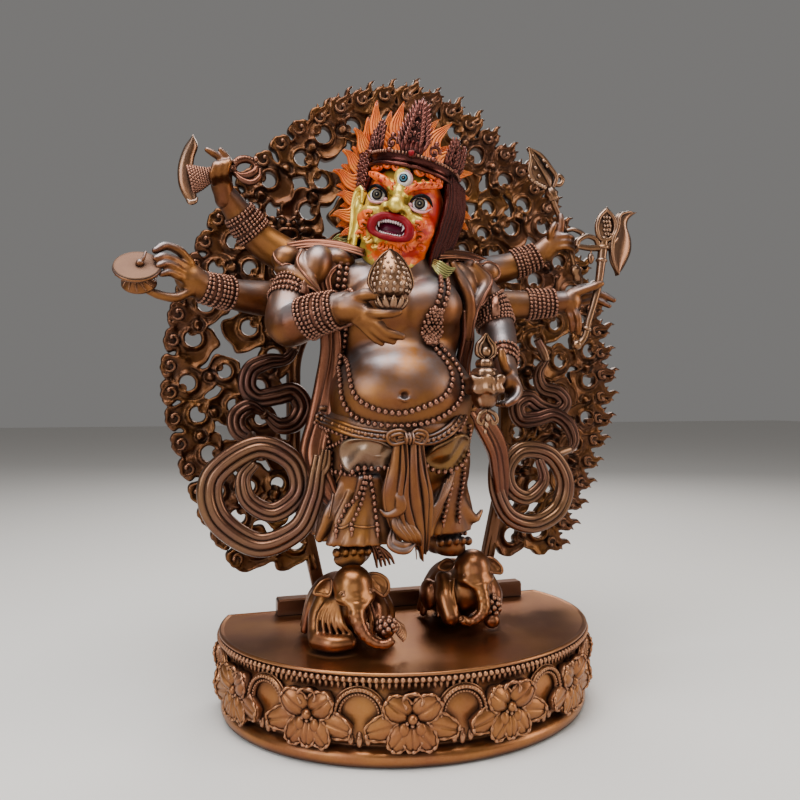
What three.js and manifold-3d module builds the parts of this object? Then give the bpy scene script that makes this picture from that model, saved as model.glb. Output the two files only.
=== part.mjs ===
// Six-armed standing figure of Mahakala in cast copper alloy, on a D-shaped lotus plinth, with a
// flat pierced aureole behind it and two prone elephant-headed figures under its feet.
// Millimetres. +Z up, -Y is the front, +X is the figure's left. The origin is the middle of the
// plinth's underside.

import * as THREE from 'three';
import { mergeVertices } from 'three/addons/utils/BufferGeometryUtils.js';
import Module from 'manifold-3d';

const wasm = await Module();
wasm.setup();

// Plinth
const PLINTH_WIDTH = 136;
const PLINTH_DEPTH = 79;
const PLINTH_ARC_DEPTH = 58.5;
const PLINTH_HEIGHT = 29;
const FOOT_HEIGHT = 5.6;
const RIM_HEIGHT = 1.5;
const BEAD_DIAMETER = 2.1;
const WALL_INSET = 1.6;
const PETAL_BAND_HEIGHT = 15.5;
const MOTIF_PITCH = 15.6;
const MOTIF_PROUD = 1.5;
const ARCH_ROOT = 1.5;

// Prone elephant-headed figures
const BEAST_BACK_HEIGHT = 25;
const BEAST_HEAD_RADIUS = 6.8;
const BEAST_LENGTH = 40;

// Standing figure, laid out on a grid of 166 parts from the soles to the hair's tip
const FIGURE_HEIGHT = 166;
const GRID_PARTS = 166;
const ARM_THICKNESS = 10.6;
const RING_PROUD = 1.1;
const HEAD_LEAN = THREE.MathUtils.degToRad(14);
const HEAD_YAW = THREE.MathUtils.degToRad(-24);
const HAIR_REACH = 43;

// Aureole
const AUREOLE_WIDTH = 190;
const AUREOLE_TOP = 238;
const AUREOLE_THICKNESS = 2.6;
const AUREOLE_OFF_CENTRE = 4;
const AUREOLE_MIDDLE_HEIGHT = 118;
const OPENING_WIDTH = 82;
const OPENING_TOP = 152;
const BAND_WIDTH = 5;
const BAND_THICKNESS = 3.6;
const BAR_LENGTH = 100;
const BAR_HEIGHT = 6;
const BAR_DEPTH = 6;
const BAR_SETBACK = 2;

// Scarves
const SCARF_WIDTH = 8.4;
const SCARF_THICKNESS = 3;

// Fit between a hand and what it holds
const HOLD_CLEARANCE = 0.3;
const STAFF_DIAMETER = 3;

const part = FIGURE_HEIGHT / GRID_PARTS;
const sole = PLINTH_HEIGHT + BEAST_BACK_HEIGHT;
const backY = PLINTH_DEPTH / 2;
const arcY = PLINTH_ARC_DEPTH - PLINTH_DEPTH / 2;

// Figure grid to millimetres: x and y from the plinth's middle, z from the soles
const at = (x, y, z) => new THREE.Vector3(x * part, y * part, sole + z * part);
const vec = (x, y, z) => new THREE.Vector3(x, y, z);
const lerp = THREE.MathUtils.lerp;

// A closed triangle mesh as a solid for cutting and joining
function toSolid(geometry) {
  const bare = geometry.clone();
  bare.deleteAttribute('normal');
  bare.deleteAttribute('uv');
  const merged = mergeVertices(bare, 1e-4);
  const points = merged.attributes.position.array;
  const faces = [];
  let volume = 0;
  for (let i = 0; i < merged.index.count; i += 3) {
    const [a, b, c] = [merged.index.getX(i), merged.index.getX(i + 1), merged.index.getX(i + 2)];
    if (a === b || b === c || c === a) continue;
    faces.push([a, b, c]);
    const [p, q, r] = [a, b, c].map((k) => vec(points[3 * k], points[3 * k + 1], points[3 * k + 2]));
    volume += p.dot(q.cross(r));
  }
  const order = volume < 0 ? [0, 2, 1] : [0, 1, 2];
  const triVerts = new Uint32Array(faces.flatMap((face) => order.map((k) => face[k])));
  return new wasm.Manifold(new wasm.Mesh({ numProp: 3, vertProperties: new Float32Array(points), triVerts }));
}

function toGeometry(solid) {
  const mesh = solid.getMesh();
  const geometry = new THREE.BufferGeometry();
  geometry.setAttribute('position', new THREE.BufferAttribute(new Float32Array(mesh.vertProperties), 3));
  geometry.setIndex(new THREE.BufferAttribute(new Uint32Array(mesh.triVerts), 1));
  geometry.computeVertexNormals();
  return geometry;
}

const join = (solids) => solids.reduce((whole, next) => whole.add(next));
const cut = (solid, tools) => tools.reduce((whole, tool) => whole.subtract(tool), solid);

// A square slab with its top at one height, to cut forms off flat from below
function slab(width, top) {
  const block = new THREE.BoxGeometry(width, width, width);
  block.translate(0, 0, top - width / 2);
  return toSolid(block);
}

// A closed skin over rings that have as many points each; each end closes on its middle point
function skin(rings, firstTip, lastTip) {
  const sides = rings[0].length;
  const middle = (ring) => ring.reduce((sum, p) => sum.add(p), vec(0, 0, 0)).divideScalar(sides);
  const points = [...rings.flat(), firstTip ?? middle(rings[0]), lastTip ?? middle(rings.at(-1))];
  const first = rings.length * sides;
  const faces = [];
  for (let i = 0; i < sides; i += 1) {
    const j = (i + 1) % sides;
    for (let k = 0; k < rings.length - 1; k += 1) {
      const [a, b] = [k * sides, (k + 1) * sides];
      faces.push(a + i, a + j, b + j, a + i, b + j, b + i);
    }
    const last = (rings.length - 1) * sides;
    faces.push(first, j, i, first + 1, last + i, last + j);
  }
  const geometry = new THREE.BufferGeometry().setFromPoints(points);
  geometry.setIndex(faces);
  return toSolid(geometry);
}

// The value of a list of numbers at a share of its length, 0 to 1
function along(values, share) {
  const place = share * (values.length - 1);
  const low = Math.min(Math.floor(place), values.length - 2);
  return lerp(values[low], values[low + 1], place - low);
}

// Directions of a ring across a smooth path: side and front are square to the way of the path
function crossing(curve, share, face) {
  const way = curve.getTangent(share);
  const side = face.clone().cross(way).normalize();
  return { centre: curve.getPoint(share), way, side, front: way.clone().cross(side).normalize() };
}

// A rounded bar along a smooth path, through stations of share of length and half thickness
function bar(path, stations, { sides = 6, flat = 1, face = vec(0, -1, 0), tip = 0.6 } = {}) {
  const curve = new THREE.CatmullRomCurve3(path, false, 'centripetal');
  const rings = stations.map(([share, half]) => {
    const { centre, side, front } = crossing(curve, share, face);
    return Array.from({ length: sides }, (_, i) => {
      const turn = (2 * Math.PI * i) / sides;
      return centre.clone().addScaledVector(side, Math.cos(turn) * half)
        .addScaledVector(front, Math.sin(turn) * half * flat);
    });
  });
  const end = ([share, half], sign) =>
    curve.getPoint(share).addScaledVector(curve.getTangent(share), sign * tip * half);
  return skin(rings, end(stations[0], -1), end(stations.at(-1), 1));
}

// The same with even steps; half lists the half thickness from end to end
function limb(path, half, { steps = 5, ...rest } = {}) {
  const stations = Array.from({ length: steps + 1 }, (_, k) => [k / steps, along(half, k / steps)]);
  return bar(path, stations, rest);
}

// A ball squeezed to three half sizes, as a low sphere
function lump(centre, size, { wide = 8, high = 6, turn = null } = {}) {
  const geometry = new THREE.SphereGeometry(1, wide, high);
  geometry.rotateX(Math.PI / 2);
  geometry.scale(size.x, size.y, size.z);
  if (turn) geometry.applyQuaternion(turn);
  geometry.translate(centre.x, centre.y, centre.z);
  return toSolid(geometry);
}

// A turned shape on an axis from one point to another; profile pairs are radius and share of length
function turned(from, to, profile, sides = 8) {
  const length = from.distanceTo(to);
  const outline = profile.map(([radius, share]) => new THREE.Vector2(radius, share * length));
  const geometry = new THREE.LatheGeometry(outline, sides);
  const way = to.clone().sub(from).normalize();
  geometry.applyQuaternion(new THREE.Quaternion().setFromUnitVectors(vec(0, 1, 0), way));
  geometry.translate(from.x, from.y, from.z);
  return toSolid(geometry);
}

const rod = (from, to, radius, sides = 6) =>
  turned(from, to, [[0, 0], [radius, 0], [radius, 1], [0, 1]], sides);

// A flat outline in the X-Z plane, given thickness along Y from its front face backwards
function plate(outline, frontY, thickness, holes = []) {
  const shape = new THREE.Shape(outline);
  shape.holes = holes.map((hole) => new THREE.Path(hole));
  const geometry = new THREE.ExtrudeGeometry(shape, { depth: thickness, bevelEnabled: false });
  geometry.rotateX(Math.PI / 2);
  geometry.translate(0, frontY + thickness, 0);
  return toSolid(geometry);
}

// Two-stranded ribbon along a smooth path, its flat side towards face
function ribbon(path, half, { steps = 20, thickness = SCARF_THICKNESS, face = vec(0, -1, 0) } = {}) {
  const section = [[-1, 0.3], [-0.55, -0.5], [0, -0.1], [0.55, -0.5], [1, 0.3]];
  const curve = new THREE.CatmullRomCurve3(path, false, 'centripetal');
  return skin(Array.from({ length: steps + 1 }, (_, k) => {
    const { centre, side, front } = crossing(curve, k / steps, face);
    return section.map(([across, out]) => centre.clone()
      .addScaledVector(side, across * along(half, k / steps))
      .addScaledVector(front, out * thickness));
  }));
}

// Plinth: a D with a half-ellipse front, stacked from inset outlines

const ARC_STEPS = 24;
const arcStart = Math.asin((backY - arcY) / PLINTH_ARC_DEPTH);

function arcPoint(share, inset, z) {
  const turn = lerp(-arcStart, Math.PI + arcStart, share);
  const x = -(PLINTH_WIDTH / 2 - inset) * Math.cos(turn);
  return vec(x, arcY - (PLINTH_ARC_DEPTH - inset) * Math.sin(turn), z);
}

function plinthRing(inset, z) {
  const ring = Array.from({ length: ARC_STEPS + 1 }, (_, i) => arcPoint(i / ARC_STEPS, inset, z));
  ring[0].y = backY - inset * 0.5;
  ring.at(-1).y = ring[0].y;
  return ring;
}

// Evenly spaced places along the front arc, each with its outward direction
function placesOnArc(count, inset, z) {
  const fine = 240;
  const lengths = [0];
  for (let i = 1; i <= fine; i += 1) {
    lengths.push(lengths[i - 1] + arcPoint(i / fine, inset, z).distanceTo(arcPoint((i - 1) / fine, inset, z)));
  }
  const pitch = lengths.at(-1) / count;
  return Array.from({ length: count }, (_, k) => {
    const target = (k + 0.5) * pitch;
    const step = lengths.findIndex((length) => length >= target);
    const point = arcPoint(step / fine, inset, z);
    const ahead = arcPoint((step + 1) / fine, inset, z).sub(point);
    return { point, out: ahead.cross(vec(0, 0, 1)).negate().normalize(), pitch };
  });
}

const arcLength = (inset) => {
  const a = PLINTH_WIDTH / 2 - inset;
  const b = PLINTH_ARC_DEPTH - inset;
  const half = (Math.PI / 2) * (3 * (a + b) - Math.sqrt((3 * a + b) * (a + 3 * b)));
  return half + 2 * arcStart * ((a + b) / 2);
};

function plinthCore() {
  const rimBottom = PLINTH_HEIGHT - RIM_HEIGHT;
  const levels = [
    [2.8, 0],
    [1.8, 1.4],
    [1.8, FOOT_HEIGHT - 1.6],
    [4.4, FOOT_HEIGHT],
    [WALL_INSET, FOOT_HEIGHT + 2.4],
    [WALL_INSET, rimBottom],
    [0, rimBottom],
    [0, PLINTH_HEIGHT],
  ];
  return skin(levels.map(([inset, z]) => plinthRing(inset, z)));
}

// The beaded moulding below the rim, as one ring that swells at every bead
function plinthBeads() {
  const middle = PLINTH_HEIGHT - RIM_HEIGHT - BEAD_DIAMETER / 2;
  const count = Math.round(arcLength(WALL_INSET) / (BEAD_DIAMETER * 3.2));
  const ring = (rise, swell) => Array.from({ length: 2 * count + 1 }, (_, i) => {
    const inset = WALL_INSET + 1 - swell * (i % 2);
    const point = arcPoint(i / (2 * count), inset, middle + rise);
    point.y = Math.min(point.y, backY - 1);
    return point;
  });
  const half = BEAD_DIAMETER / 2;
  return skin([ring(-half, 0), ring(0, 1 + half), ring(half, 0)]);
}

// Round arch with a raised rim round a plain field, and a lotus with five petals round a boss, by turns
function arch({ point, out }) {
  const radius = MOTIF_PITCH * 0.47;
  const foot = point.clone().addScaledVector(out, -ARCH_ROOT);
  const front = point.clone().addScaledVector(out, MOTIF_PROUD);
  const floor = ARCH_ROOT / (ARCH_ROOT + MOTIF_PROUD);
  return turned(foot, front, [[0, 0], [radius, 0], [radius, 1], [radius * 0.72, 1], [radius * 0.64, floor],
    [0, floor]], 8);
}

function lotus({ point, out }) {
  const sideways = out.clone().cross(vec(0, 0, 1)).negate();
  const lobes = 5;
  const outline = [new THREE.Vector2(MOTIF_PITCH * 0.3, -2.2)];
  for (let k = 0; k <= 2 * lobes; k += 1) {
    const turn = lerp(-0.2, Math.PI + 0.2, k / (2 * lobes));
    const reach = MOTIF_PITCH * (k % 2 ? 0.52 : 0.38);
    outline.push(new THREE.Vector2(reach * Math.cos(turn), reach * Math.sin(turn)));
  }
  outline.push(new THREE.Vector2(-MOTIF_PITCH * 0.3, -2.2));
  const petals = new THREE.ExtrudeGeometry(new THREE.Shape(outline), { depth: 1.4 + MOTIF_PROUD, bevelEnabled: false });
  petals.applyMatrix4(new THREE.Matrix4().makeBasis(sideways, vec(0, 0, 1), out));
  petals.translate(point.x - 1.4 * out.x, point.y - 1.4 * out.y, point.z);
  const bossTop = point.clone().addScaledVector(out, MOTIF_PROUD + 1.2);
  const boss = turned(point, bossTop, [[0, 0], [2.2, 0], [1.6, 1], [0, 1]], 5);
  return toSolid(petals).add(boss);
}

function makePlinth() {
  const count = 2 * Math.round(arcLength(WALL_INSET) / MOTIF_PITCH / 2) - 1;
  const archZ = FOOT_HEIGHT + PETAL_BAND_HEIGHT - MOTIF_PITCH * 0.47;
  const lotusZ = FOOT_HEIGHT + 3.4;
  const motifs = placesOnArc(count, WALL_INSET + 0.5, archZ).map((place, k) => {
    if (k % 2 === 1) return arch(place);
    place.point.z = lotusZ;
    return lotus(place);
  });
  return join([plinthCore(), plinthBeads(), ...motifs]);
}

// Aureole: an egg-shaped plate edged with flame teeth, pierced by rows of comma-shaped holes

const EGG_POWER = 1.75;
const aureoleFront = backY - BAR_SETBACK - BAR_DEPTH / 2 - AUREOLE_THICKNESS / 2;

// Point of the egg at a turn from its top, clockwise seen from the front; grow scales it
function eggPoint(turn, grow) {
  const half = (AUREOLE_WIDTH / 2) * grow;
  const rise = (AUREOLE_TOP - AUREOLE_MIDDLE_HEIGHT) * grow;
  const [s, c] = [Math.sin(turn), Math.cos(turn)];
  const size = (Math.abs(s) ** EGG_POWER + Math.abs(c) ** EGG_POWER) ** (-1 / EGG_POWER);
  return new THREE.Vector2(AUREOLE_OFF_CENTRE + half * s * size, AUREOLE_MIDDLE_HEIGHT + rise * c * size);
}

// Half width of the opening at a height: straight-sided arch that draws in towards the foot bar
function openingHalf(z) {
  const half = OPENING_WIDTH / 2;
  const arched = OPENING_TOP - half * 0.8;
  const knee = AUREOLE_MIDDLE_HEIGHT - 36;
  if (z > arched) return half * Math.sqrt(Math.max(0, 1 - ((z - arched) / (half * 0.8)) ** 2));
  if (z > knee) return half;
  return lerp(half * 0.72, half, (z - PLINTH_HEIGHT) / (knee - PLINTH_HEIGHT));
}

const PLATE_FOOT = 46;
const TEETH = 20;

// Three points of one tongue of flame; its tip leans upwards, so the two sides mirror each other
function flameTongue(start, pitch) {
  const places = start > 0 ? [[0.3, 0.965], [0.78, 1], [0.82, 0.955]] : [[0.18, 0.955], [0.22, 1], [0.7, 0.965]];
  return places.map(([share, grow]) => eggPoint(start - share * pitch, grow));
}

function aureolePlate() {
  const sweep = 2.36;
  const outer = [];
  for (let k = 0; k <= TEETH; k += 1) {
    const start = lerp(sweep, -sweep, k / TEETH);
    const pitch = (2 * sweep) / TEETH;
    outer.push(eggPoint(start, 0.925));
    if (k < TEETH) outer.push(...flameTongue(start, pitch));
  }
  const inner = [];
  const half = OPENING_WIDTH / 2 + BAND_WIDTH * 0.5;
  const arched = OPENING_TOP - half * 0.8;
  inner.push([-half * 0.86, PLATE_FOOT], [-half, AUREOLE_MIDDLE_HEIGHT - 36]);
  for (let k = 0; k <= 12; k += 1) {
    const turn = Math.PI * (1 - k / 12);
    inner.push([half * Math.cos(turn), arched + half * 0.8 * Math.sin(turn)]);
  }
  inner.push([half, AUREOLE_MIDDLE_HEIGHT - 36], [half * 0.86, PLATE_FOOT]);
  const outline = [...outer, ...inner.map(([x, z]) => new THREE.Vector2(x + AUREOLE_OFF_CENTRE, z))];
  return plate(outline, aureoleFront, AUREOLE_THICKNESS, aureoleHoles());
}

// A rounded comma, its point turned with its place on the plate
function commaHole(centre, size, turn) {
  return [[1.1, -0.1], [0.3, 0.85], [-0.8, 0.5], [-0.7, -0.6], [0, -0.2]].map(([u, v]) => {
    const [c, s] = [Math.cos(turn), Math.sin(turn)];
    return new THREE.Vector2(centre.x + size * (c * u - s * v), centre.y + size * (s * u + c * v));
  });
}

function aureoleHoles() {
  const holes = [];
  const rows = [[0.825, 18, 6.2], [0.635, 13, 5.8]];
  rows.forEach(([grow, count, size], row) => {
    for (let k = 0; k < count; k += 1) {
      const turn = lerp(-2.42, 2.42, (k + 0.5) / count);
      const centre = eggPoint(turn, grow);
      const inside = Math.abs(centre.x - AUREOLE_OFF_CENTRE) - openingHalf(centre.y);
      if (inside < size + BAND_WIDTH && centre.y < OPENING_TOP + BAND_WIDTH) continue;
      holes.push(commaHole(centre, size, turn * 2 + row));
    }
  });
  for (let k = -2; k <= 2; k += 1) {
    const z = OPENING_TOP + 24 - Math.abs(k) * 5;
    holes.push(commaHole(new THREE.Vector2(AUREOLE_OFF_CENTRE + k * 15, z), 4.6, k));
  }
  return holes;
}

// Plain band round the opening, down to the foot bar
function aureoleBand() {
  const outside = [];
  const inside = [];
  const half = OPENING_WIDTH / 2;
  const arched = OPENING_TOP - half * 0.8;
  const knee = AUREOLE_MIDDLE_HEIGHT - 36;
  const place = (reach, turn) => new THREE.Vector2(
    AUREOLE_OFF_CENTRE + (half + reach) * Math.cos(turn),
    arched + (half * 0.8 + reach) * Math.sin(turn),
  );
  const stand = (reach, sign, z, share) =>
    new THREE.Vector2(AUREOLE_OFF_CENTRE + sign * (half * share + reach), z);
  const foot = PLINTH_HEIGHT + BAR_HEIGHT / 2;
  outside.push(stand(BAND_WIDTH, 1, foot, 0.72), stand(BAND_WIDTH, 1, knee, 1));
  inside.push(stand(0, 1, foot, 0.72), stand(0, 1, knee, 1));
  for (let k = 0; k <= 12; k += 1) {
    outside.push(place(BAND_WIDTH, (Math.PI * k) / 12));
    inside.push(place(0, (Math.PI * k) / 12));
  }
  outside.push(stand(BAND_WIDTH, -1, knee, 1), stand(BAND_WIDTH, -1, foot, 0.72));
  inside.push(stand(0, -1, knee, 1), stand(0, -1, foot, 0.72));
  const front = aureoleFront + AUREOLE_THICKNESS / 2 - BAND_THICKNESS / 2;
  return plate([...outside, ...inside.reverse()], front, BAND_THICKNESS);
}

function makeAureole() {
  const bar = new THREE.BoxGeometry(BAR_LENGTH, BAR_DEPTH, BAR_HEIGHT);
  bar.translate(AUREOLE_OFF_CENTRE, backY - BAR_SETBACK - BAR_DEPTH / 2, PLINTH_HEIGHT + BAR_HEIGHT / 2);
  return join([aureolePlate(), aureoleBand(), toSolid(bar)]);
}

// Standing figure

const armHalf = ARM_THICKNESS / 2;

// Shoulder, elbow and wrist of each arm, in grid parts from the soles
const ARMS = {
  mainRight: [at(-32, 3, 98), at(-43, 0, 91), at(-49, -8, 78), at(-42, -17, 80), at(-32, -23, 83)],
  mainLeft: [at(19, 3, 98), at(26, 1, 89), at(29.5, -1, 79), at(27, -8, 72), at(22.5, -14, 66)],
  middleRight: [at(-31, 10.5, 92.5), at(-44, 13, 90), at(-57, 9, 89.5), at(-70, 3, 90.5)],
  upperRight: [at(-30, 11.5, 99), at(-42, 15, 104), at(-53, 16, 110), at(-60, 14, 117), at(-65.5, 11, 123)],
  middleLeft: [at(17, 10.5, 92.5), at(30, 13, 91), at(42, 12, 91), at(56, 9, 92)],
  upperLeft: [at(17, 11.5, 99), at(28, 16, 103), at(40, 17, 106), at(52, 14, 111)],
};
const MAIN_ARM = [1.35, 1.35, 1.3, 1.2, 0.85];
const SIDE_ARM = [1.2, 1.15, 1.1, 1.05, 0.8];
const ARMLET = [0.26, 0.36];
const BRACELET = [0.82, 0.94];

// Arm with its armlet and bracelet as bands that stand proud of it
function makeArm([name, path]) {
  const shape = name.startsWith('main') ? MAIN_ARM : SIDE_ARM;
  const size = (share) => along(shape, share) * armHalf;
  const stations = [0, ARMLET[0]].map((share) => [share, size(share)]);
  for (const band of [ARMLET, BRACELET]) {
    stations.push([band[0] + 0.005, size(band[0]) + RING_PROUD], [band[1] - 0.005, size(band[1]) + RING_PROUD]);
    stations.push([band[1], size(band[1])]);
    if (band === ARMLET) stations.push([0.6, size(0.6)], [BRACELET[0], size(BRACELET[0])]);
  }
  stations.push([1, size(1)]);
  return bar(path, stations, { sides: 6, face: vec(0.1, -0.6, 0.8) });
}

// Hand round a grip point: palm behind the grip, four ridged fingers and a thumb. The fingers run
// along way and bend towards curl; a fist closes round the grip and an open hand stays nearly flat.
function hand({ grip, way, curl, open }) {
  const across = way.clone().cross(curl).normalize();
  const from = (a, b, c = 0) => grip.clone().addScaledVector(way, a * part)
    .addScaledVector(curl, b * part).addScaledVector(across, c * part);
  const fingers = open
    ? [from(4.5, -3.3), from(8, -1.6), from(10, 0.6)]
    : [from(4.6, -2), from(4, 2.6), from(0.2, 3.6)];
  const bends = [from(-9.5, -4.4), from(-1.5, -4), ...fingers];
  const widths = [0.75, 1.15, 1.15, 1.1, 0.9];
  const section = [[-3.2, 1.3], [-2.1, 0.5], [-1.05, 1.3], [0, 0.5], [1.05, 1.3], [2.1, 0.5], [3.2, 1.3],
    [4, -0.7], [-4, -0.7]];
  const plain = [[-2.9, 1.4], [-2.1, 1.7], [-1.05, 1.9], [0, 2], [1.05, 1.9], [2.1, 1.7], [2.9, 1.4],
    [3.4, -1.8], [-3.4, -1.8]];
  const rings = bends.map((centre, k) => {
    const next = bends[Math.min(k + 1, 4)].clone().sub(bends[Math.max(k - 1, 0)]).normalize();
    const out = next.clone().cross(across).normalize();
    return (k < 2 ? plain : section).map(([aside, proud]) => centre.clone()
      .addScaledVector(across, aside * widths[k] * part).addScaledVector(out, proud * part));
  });
  const thumb = limb([from(-4, -3.5, 3.6), from(0, 1.2, 4)], [1.7 * part, 1.1 * part],
    { sides: 4, steps: 1, face: way });
  return skin(rings).add(thumb);
}

const unit = (x, y, z) => vec(x, y, z).normalize();
const HANDS = [
  { grip: at(-22.5, -29.5, 83.5), way: unit(0.9, -0.32, -0.3), curl: unit(0.3, 0.1, 0.95), open: true },
  { grip: at(15.5, -17.5, 62), way: unit(-0.5, -0.75, -0.43), curl: unit(-0.5, -0.2, 0.84), open: true },
  { grip: at(-77, -3, 93), way: unit(-0.97, -0.2, 0.12), curl: unit(-0.1, -0.8, 0.6), open: true },
  { grip: at(-67.5, 6, 129.5), way: unit(-0.28, 0, 0.96), curl: unit(0, -1, 0), open: false },
  { grip: at(63.5, 4.3, 91), way: unit(0.96, 0, -0.28), curl: unit(0, -1, 0), open: false },
  { grip: at(58.5, 8.2, 115), way: unit(1, 0, 0.15), curl: unit(0, -1, 0), open: false },
];

// Pot-bellied trunk: grid height, middle x and y, half width, half depth
const TRUNK = [
  [42, -9, 1, 24.5, 19], [47, -9, -1, 26, 22], [55, -8.5, -2.5, 27, 23.5],
  [63, -8.3, -2, 25, 21.5], [73, -8, 1, 21.5, 16.5], [87, -7, 3, 27.5, 15],
  [98, -6.8, 4, 27, 13], [104, -7.4, 4, 14, 10], [110, -8, 3, 8.5, 8.5],
];

function makeTrunk() {
  const sides = 11;
  return skin(TRUNK.map(([z, x, y, wide, deep]) => Array.from({ length: sides }, (_, i) => {
    const turn = (2 * Math.PI * i) / sides;
    return at(x + wide * Math.cos(turn), y + deep * Math.sin(turn), z);
  })));
}

// Head, built upright at its own middle, then leaned and turned to the figure's right on the neck

const headMiddle = at(-8, -1, 117.5);
const headTurn = new THREE.Quaternion().setFromAxisAngle(vec(0, 0, 1), HEAD_YAW)
  .multiply(new THREE.Quaternion().setFromAxisAngle(vec(0, 1, 0), HEAD_LEAN));
const onHead = (x, y, z) => vec(x * part, y * part, z * part).applyQuaternion(headTurn).add(headMiddle);

function makeFace() {
  const sized = (x, y, z) => vec(x * part, y * part, z * part);
  const strip = (points, half, steps, face) =>
    limb(points.map((p) => onHead(...p)), half.map((r) => r * part), { sides: 4, steps, face });
  const pieces = [lump(onHead(0, 0, 0), sized(14, 13.5, 18), { wide: 9, high: 6, turn: headTurn })];
  pieces.push(strip([[0, -11.5, 5], [0, -16, 0], [0, -17.2, -3]], [1.6, 2.2, 3], 2));
  pieces.push(lump(onHead(0, -11.6, 9), sized(2.2, 2.6, 3), { wide: 5, high: 3, turn: headTurn }));
  for (const side of [-1, 1]) {
    pieces.push(lump(onHead(6.3 * side, -11, 3), sized(2.9, 3, 2.4), { wide: 5, high: 3 }));
    pieces.push(strip([[1.5 * side, -13.4, 4.5], [6 * side, -13, 7.6], [11 * side, -9, 7]], [1.4, 2, 1.2], 2));
    pieces.push(lump(onHead(14 * side, 0, -2.5), sized(2, 2.8, 8), { wide: 4, high: 4, turn: headTurn }));
  }
  const down = vec(0, 0, 1);
  pieces.push(strip([[-8, -10.8, -5.6], [-4, -14.6, -5.2], [4, -14.6, -5.2], [8, -10.8, -5.6]], [1, 1.6, 1.6, 1],
    3, down));
  pieces.push(lump(onHead(0, -8.5, -13), sized(8.5, 7, 6.5), { wide: 7, high: 4 }));
  return join(pieces);
}

// Crown band with five leaves, the middle one tallest
const CROWN_LEAVES = [[-64, 12], [-34, 14], [0, 20], [34, 14], [64, 12]];

function makeCrown() {
  const centre = onHead(0, 0, 13.5);
  const top = onHead(0, 0, 19.5);
  const band = turned(centre, top, [[0, 0], [15, 0], [15.6, 0.5], [12.5, 1], [0, 1]].map(([radius, share]) =>
    [radius * part, share]), 11);
  const leaves = CROWN_LEAVES.map(([degrees, height]) => {
    const turn = THREE.MathUtils.degToRad(degrees);
    const foot = [14.2 * Math.sin(turn), -14.2 * Math.cos(turn)];
    const belly = [13.6 * Math.sin(turn), -13.6 * Math.cos(turn)];
    const tip = [9 * Math.sin(turn), -9 * Math.cos(turn)];
    const face = vec(Math.sin(turn), -Math.cos(turn), 0);
    return limb([onHead(...foot, 17), onHead(...belly, 17 + height * 0.45), onHead(...tip, 17 + height)],
      [3.6, 4.6, 0.8].map((r) => r * part), { sides: 4, steps: 2, flat: 0.6, face });
  });
  return join([band, ...leaves]);
}

// Flame hair: one flat fan of tongues behind the head, leaning with the wind to one side
function makeHair() {
  const tongues = 9;
  const outline = [];
  for (let k = 0; k < tongues; k += 1) {
    const turn = lerp(-2.05, 2.05, k / (tongues - 1));
    const reach = lerp(HAIR_REACH * 0.65, HAIR_REACH, Math.cos(turn * 0.75) ** 2);
    const point = (angle, size) => new THREE.Vector2(
      (-3 + size * 0.76 * Math.sin(angle)) * part,
      sole + (GRID_PARTS - HAIR_REACH + size * Math.cos(angle)) * part,
    );
    outline.push(point(turn - 0.17, reach * 0.8), point(turn + 0.1, reach), point(turn + 0.09, reach * 0.82));
  }
  const fan = plate(outline, 4.5 * part, 6 * part);
  const back = lump(at(-6, 5, 118), vec(18 * part, 9 * part, 21 * part), { wide: 8, high: 5 });
  const fall = lump(at(-7, 10, 102), vec(20 * part, 6 * part, 14 * part), { wide: 8, high: 4 });
  return join([fan, back, fall]);
}

// Distance from a middle point to the edge of an ellipse, in one direction; 0 where it misses
function rayToEllipse(middle, [x, y, wide, deep], turn) {
  const [px, py] = [(middle[0] - x) / wide, (middle[1] - y) / deep];
  const [dx, dy] = [Math.cos(turn) / wide, Math.sin(turn) / deep];
  const [a, b, c] = [dx * dx + dy * dy, px * dx + py * dy, px * px + py * py - 1];
  const root = b * b - a * c;
  return root > 0 ? Math.max(0, (Math.sqrt(root) - b) / a) : 0;
}

// Baggy trousers as one skin round both legs, with a belt at the top and flared hems
const TROUSERS = [
  [10.5, [-21, 1, 12, 10.5], [8, 7, 12, 10.5]], [15, [-21, 1, 10.5, 9.5], [8, 7, 10.5, 9.5]],
  [27, [-20, 1, 14, 14], [5, 5, 14, 14]], [39, [-19, 1, 17, 17], [2, 3, 17, 17]],
  [43.5, [-18, 1, 18, 18.5], [0, 1, 18, 18.5]], [44, [-18, 1, 19.5, 19.5], [0, 1, 19.5, 19.5]],
  [49, [-18, 1, 19.5, 19], [0, 1, 19.5, 19]],
];

function makeSkirt() {
  const sides = 18;
  const trousers = skin(TROUSERS.map(([z, right, left], level) => {
    const middle = [(right[0] + left[0]) / 2, (right[1] + left[1]) / 2];
    return Array.from({ length: sides }, (_, i) => {
      const turn = (2 * Math.PI * i) / sides;
      const reach = Math.max(rayToEllipse(middle, right, turn), rayToEllipse(middle, left, turn), 5);
      const fold = 1 + (level < 3 ? 0.07 : 0) * (i % 2 ? 1 : -1);
      const dip = level > 3 ? 3.5 * Math.max(0, -Math.sin(turn)) : 0;
      return at(middle[0] + reach * fold * Math.cos(turn), middle[1] + reach * fold * Math.sin(turn), z - dip);
    });
  }));
  const pleats = [[-15, -9.6], [-11, -8.5], [-7, -7]].map(([top, bottom], k) =>
    limb([at(top, -17.5, 42), at(top + 1, -16.5, 26), at(bottom, -12.5, k === 1 ? 3 : 9)],
      [2.6 * part, 3.6 * part, 3.2 * part, 0.9 * part], { sides: 4, steps: 3, flat: 0.8 }));
  const bow = limb([at(-24, -17, 40.5), at(-18, -20, 44), at(-11.5, -21, 42), at(-5, -20, 44), at(1, -17, 40.5)],
    [1.2, 3.2, 1.8, 3.2, 1.2].map((r) => r * part), { sides: 5, steps: 4, flat: 0.8 });
  return join([trousers, ...pleats, bow]);
}

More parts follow.
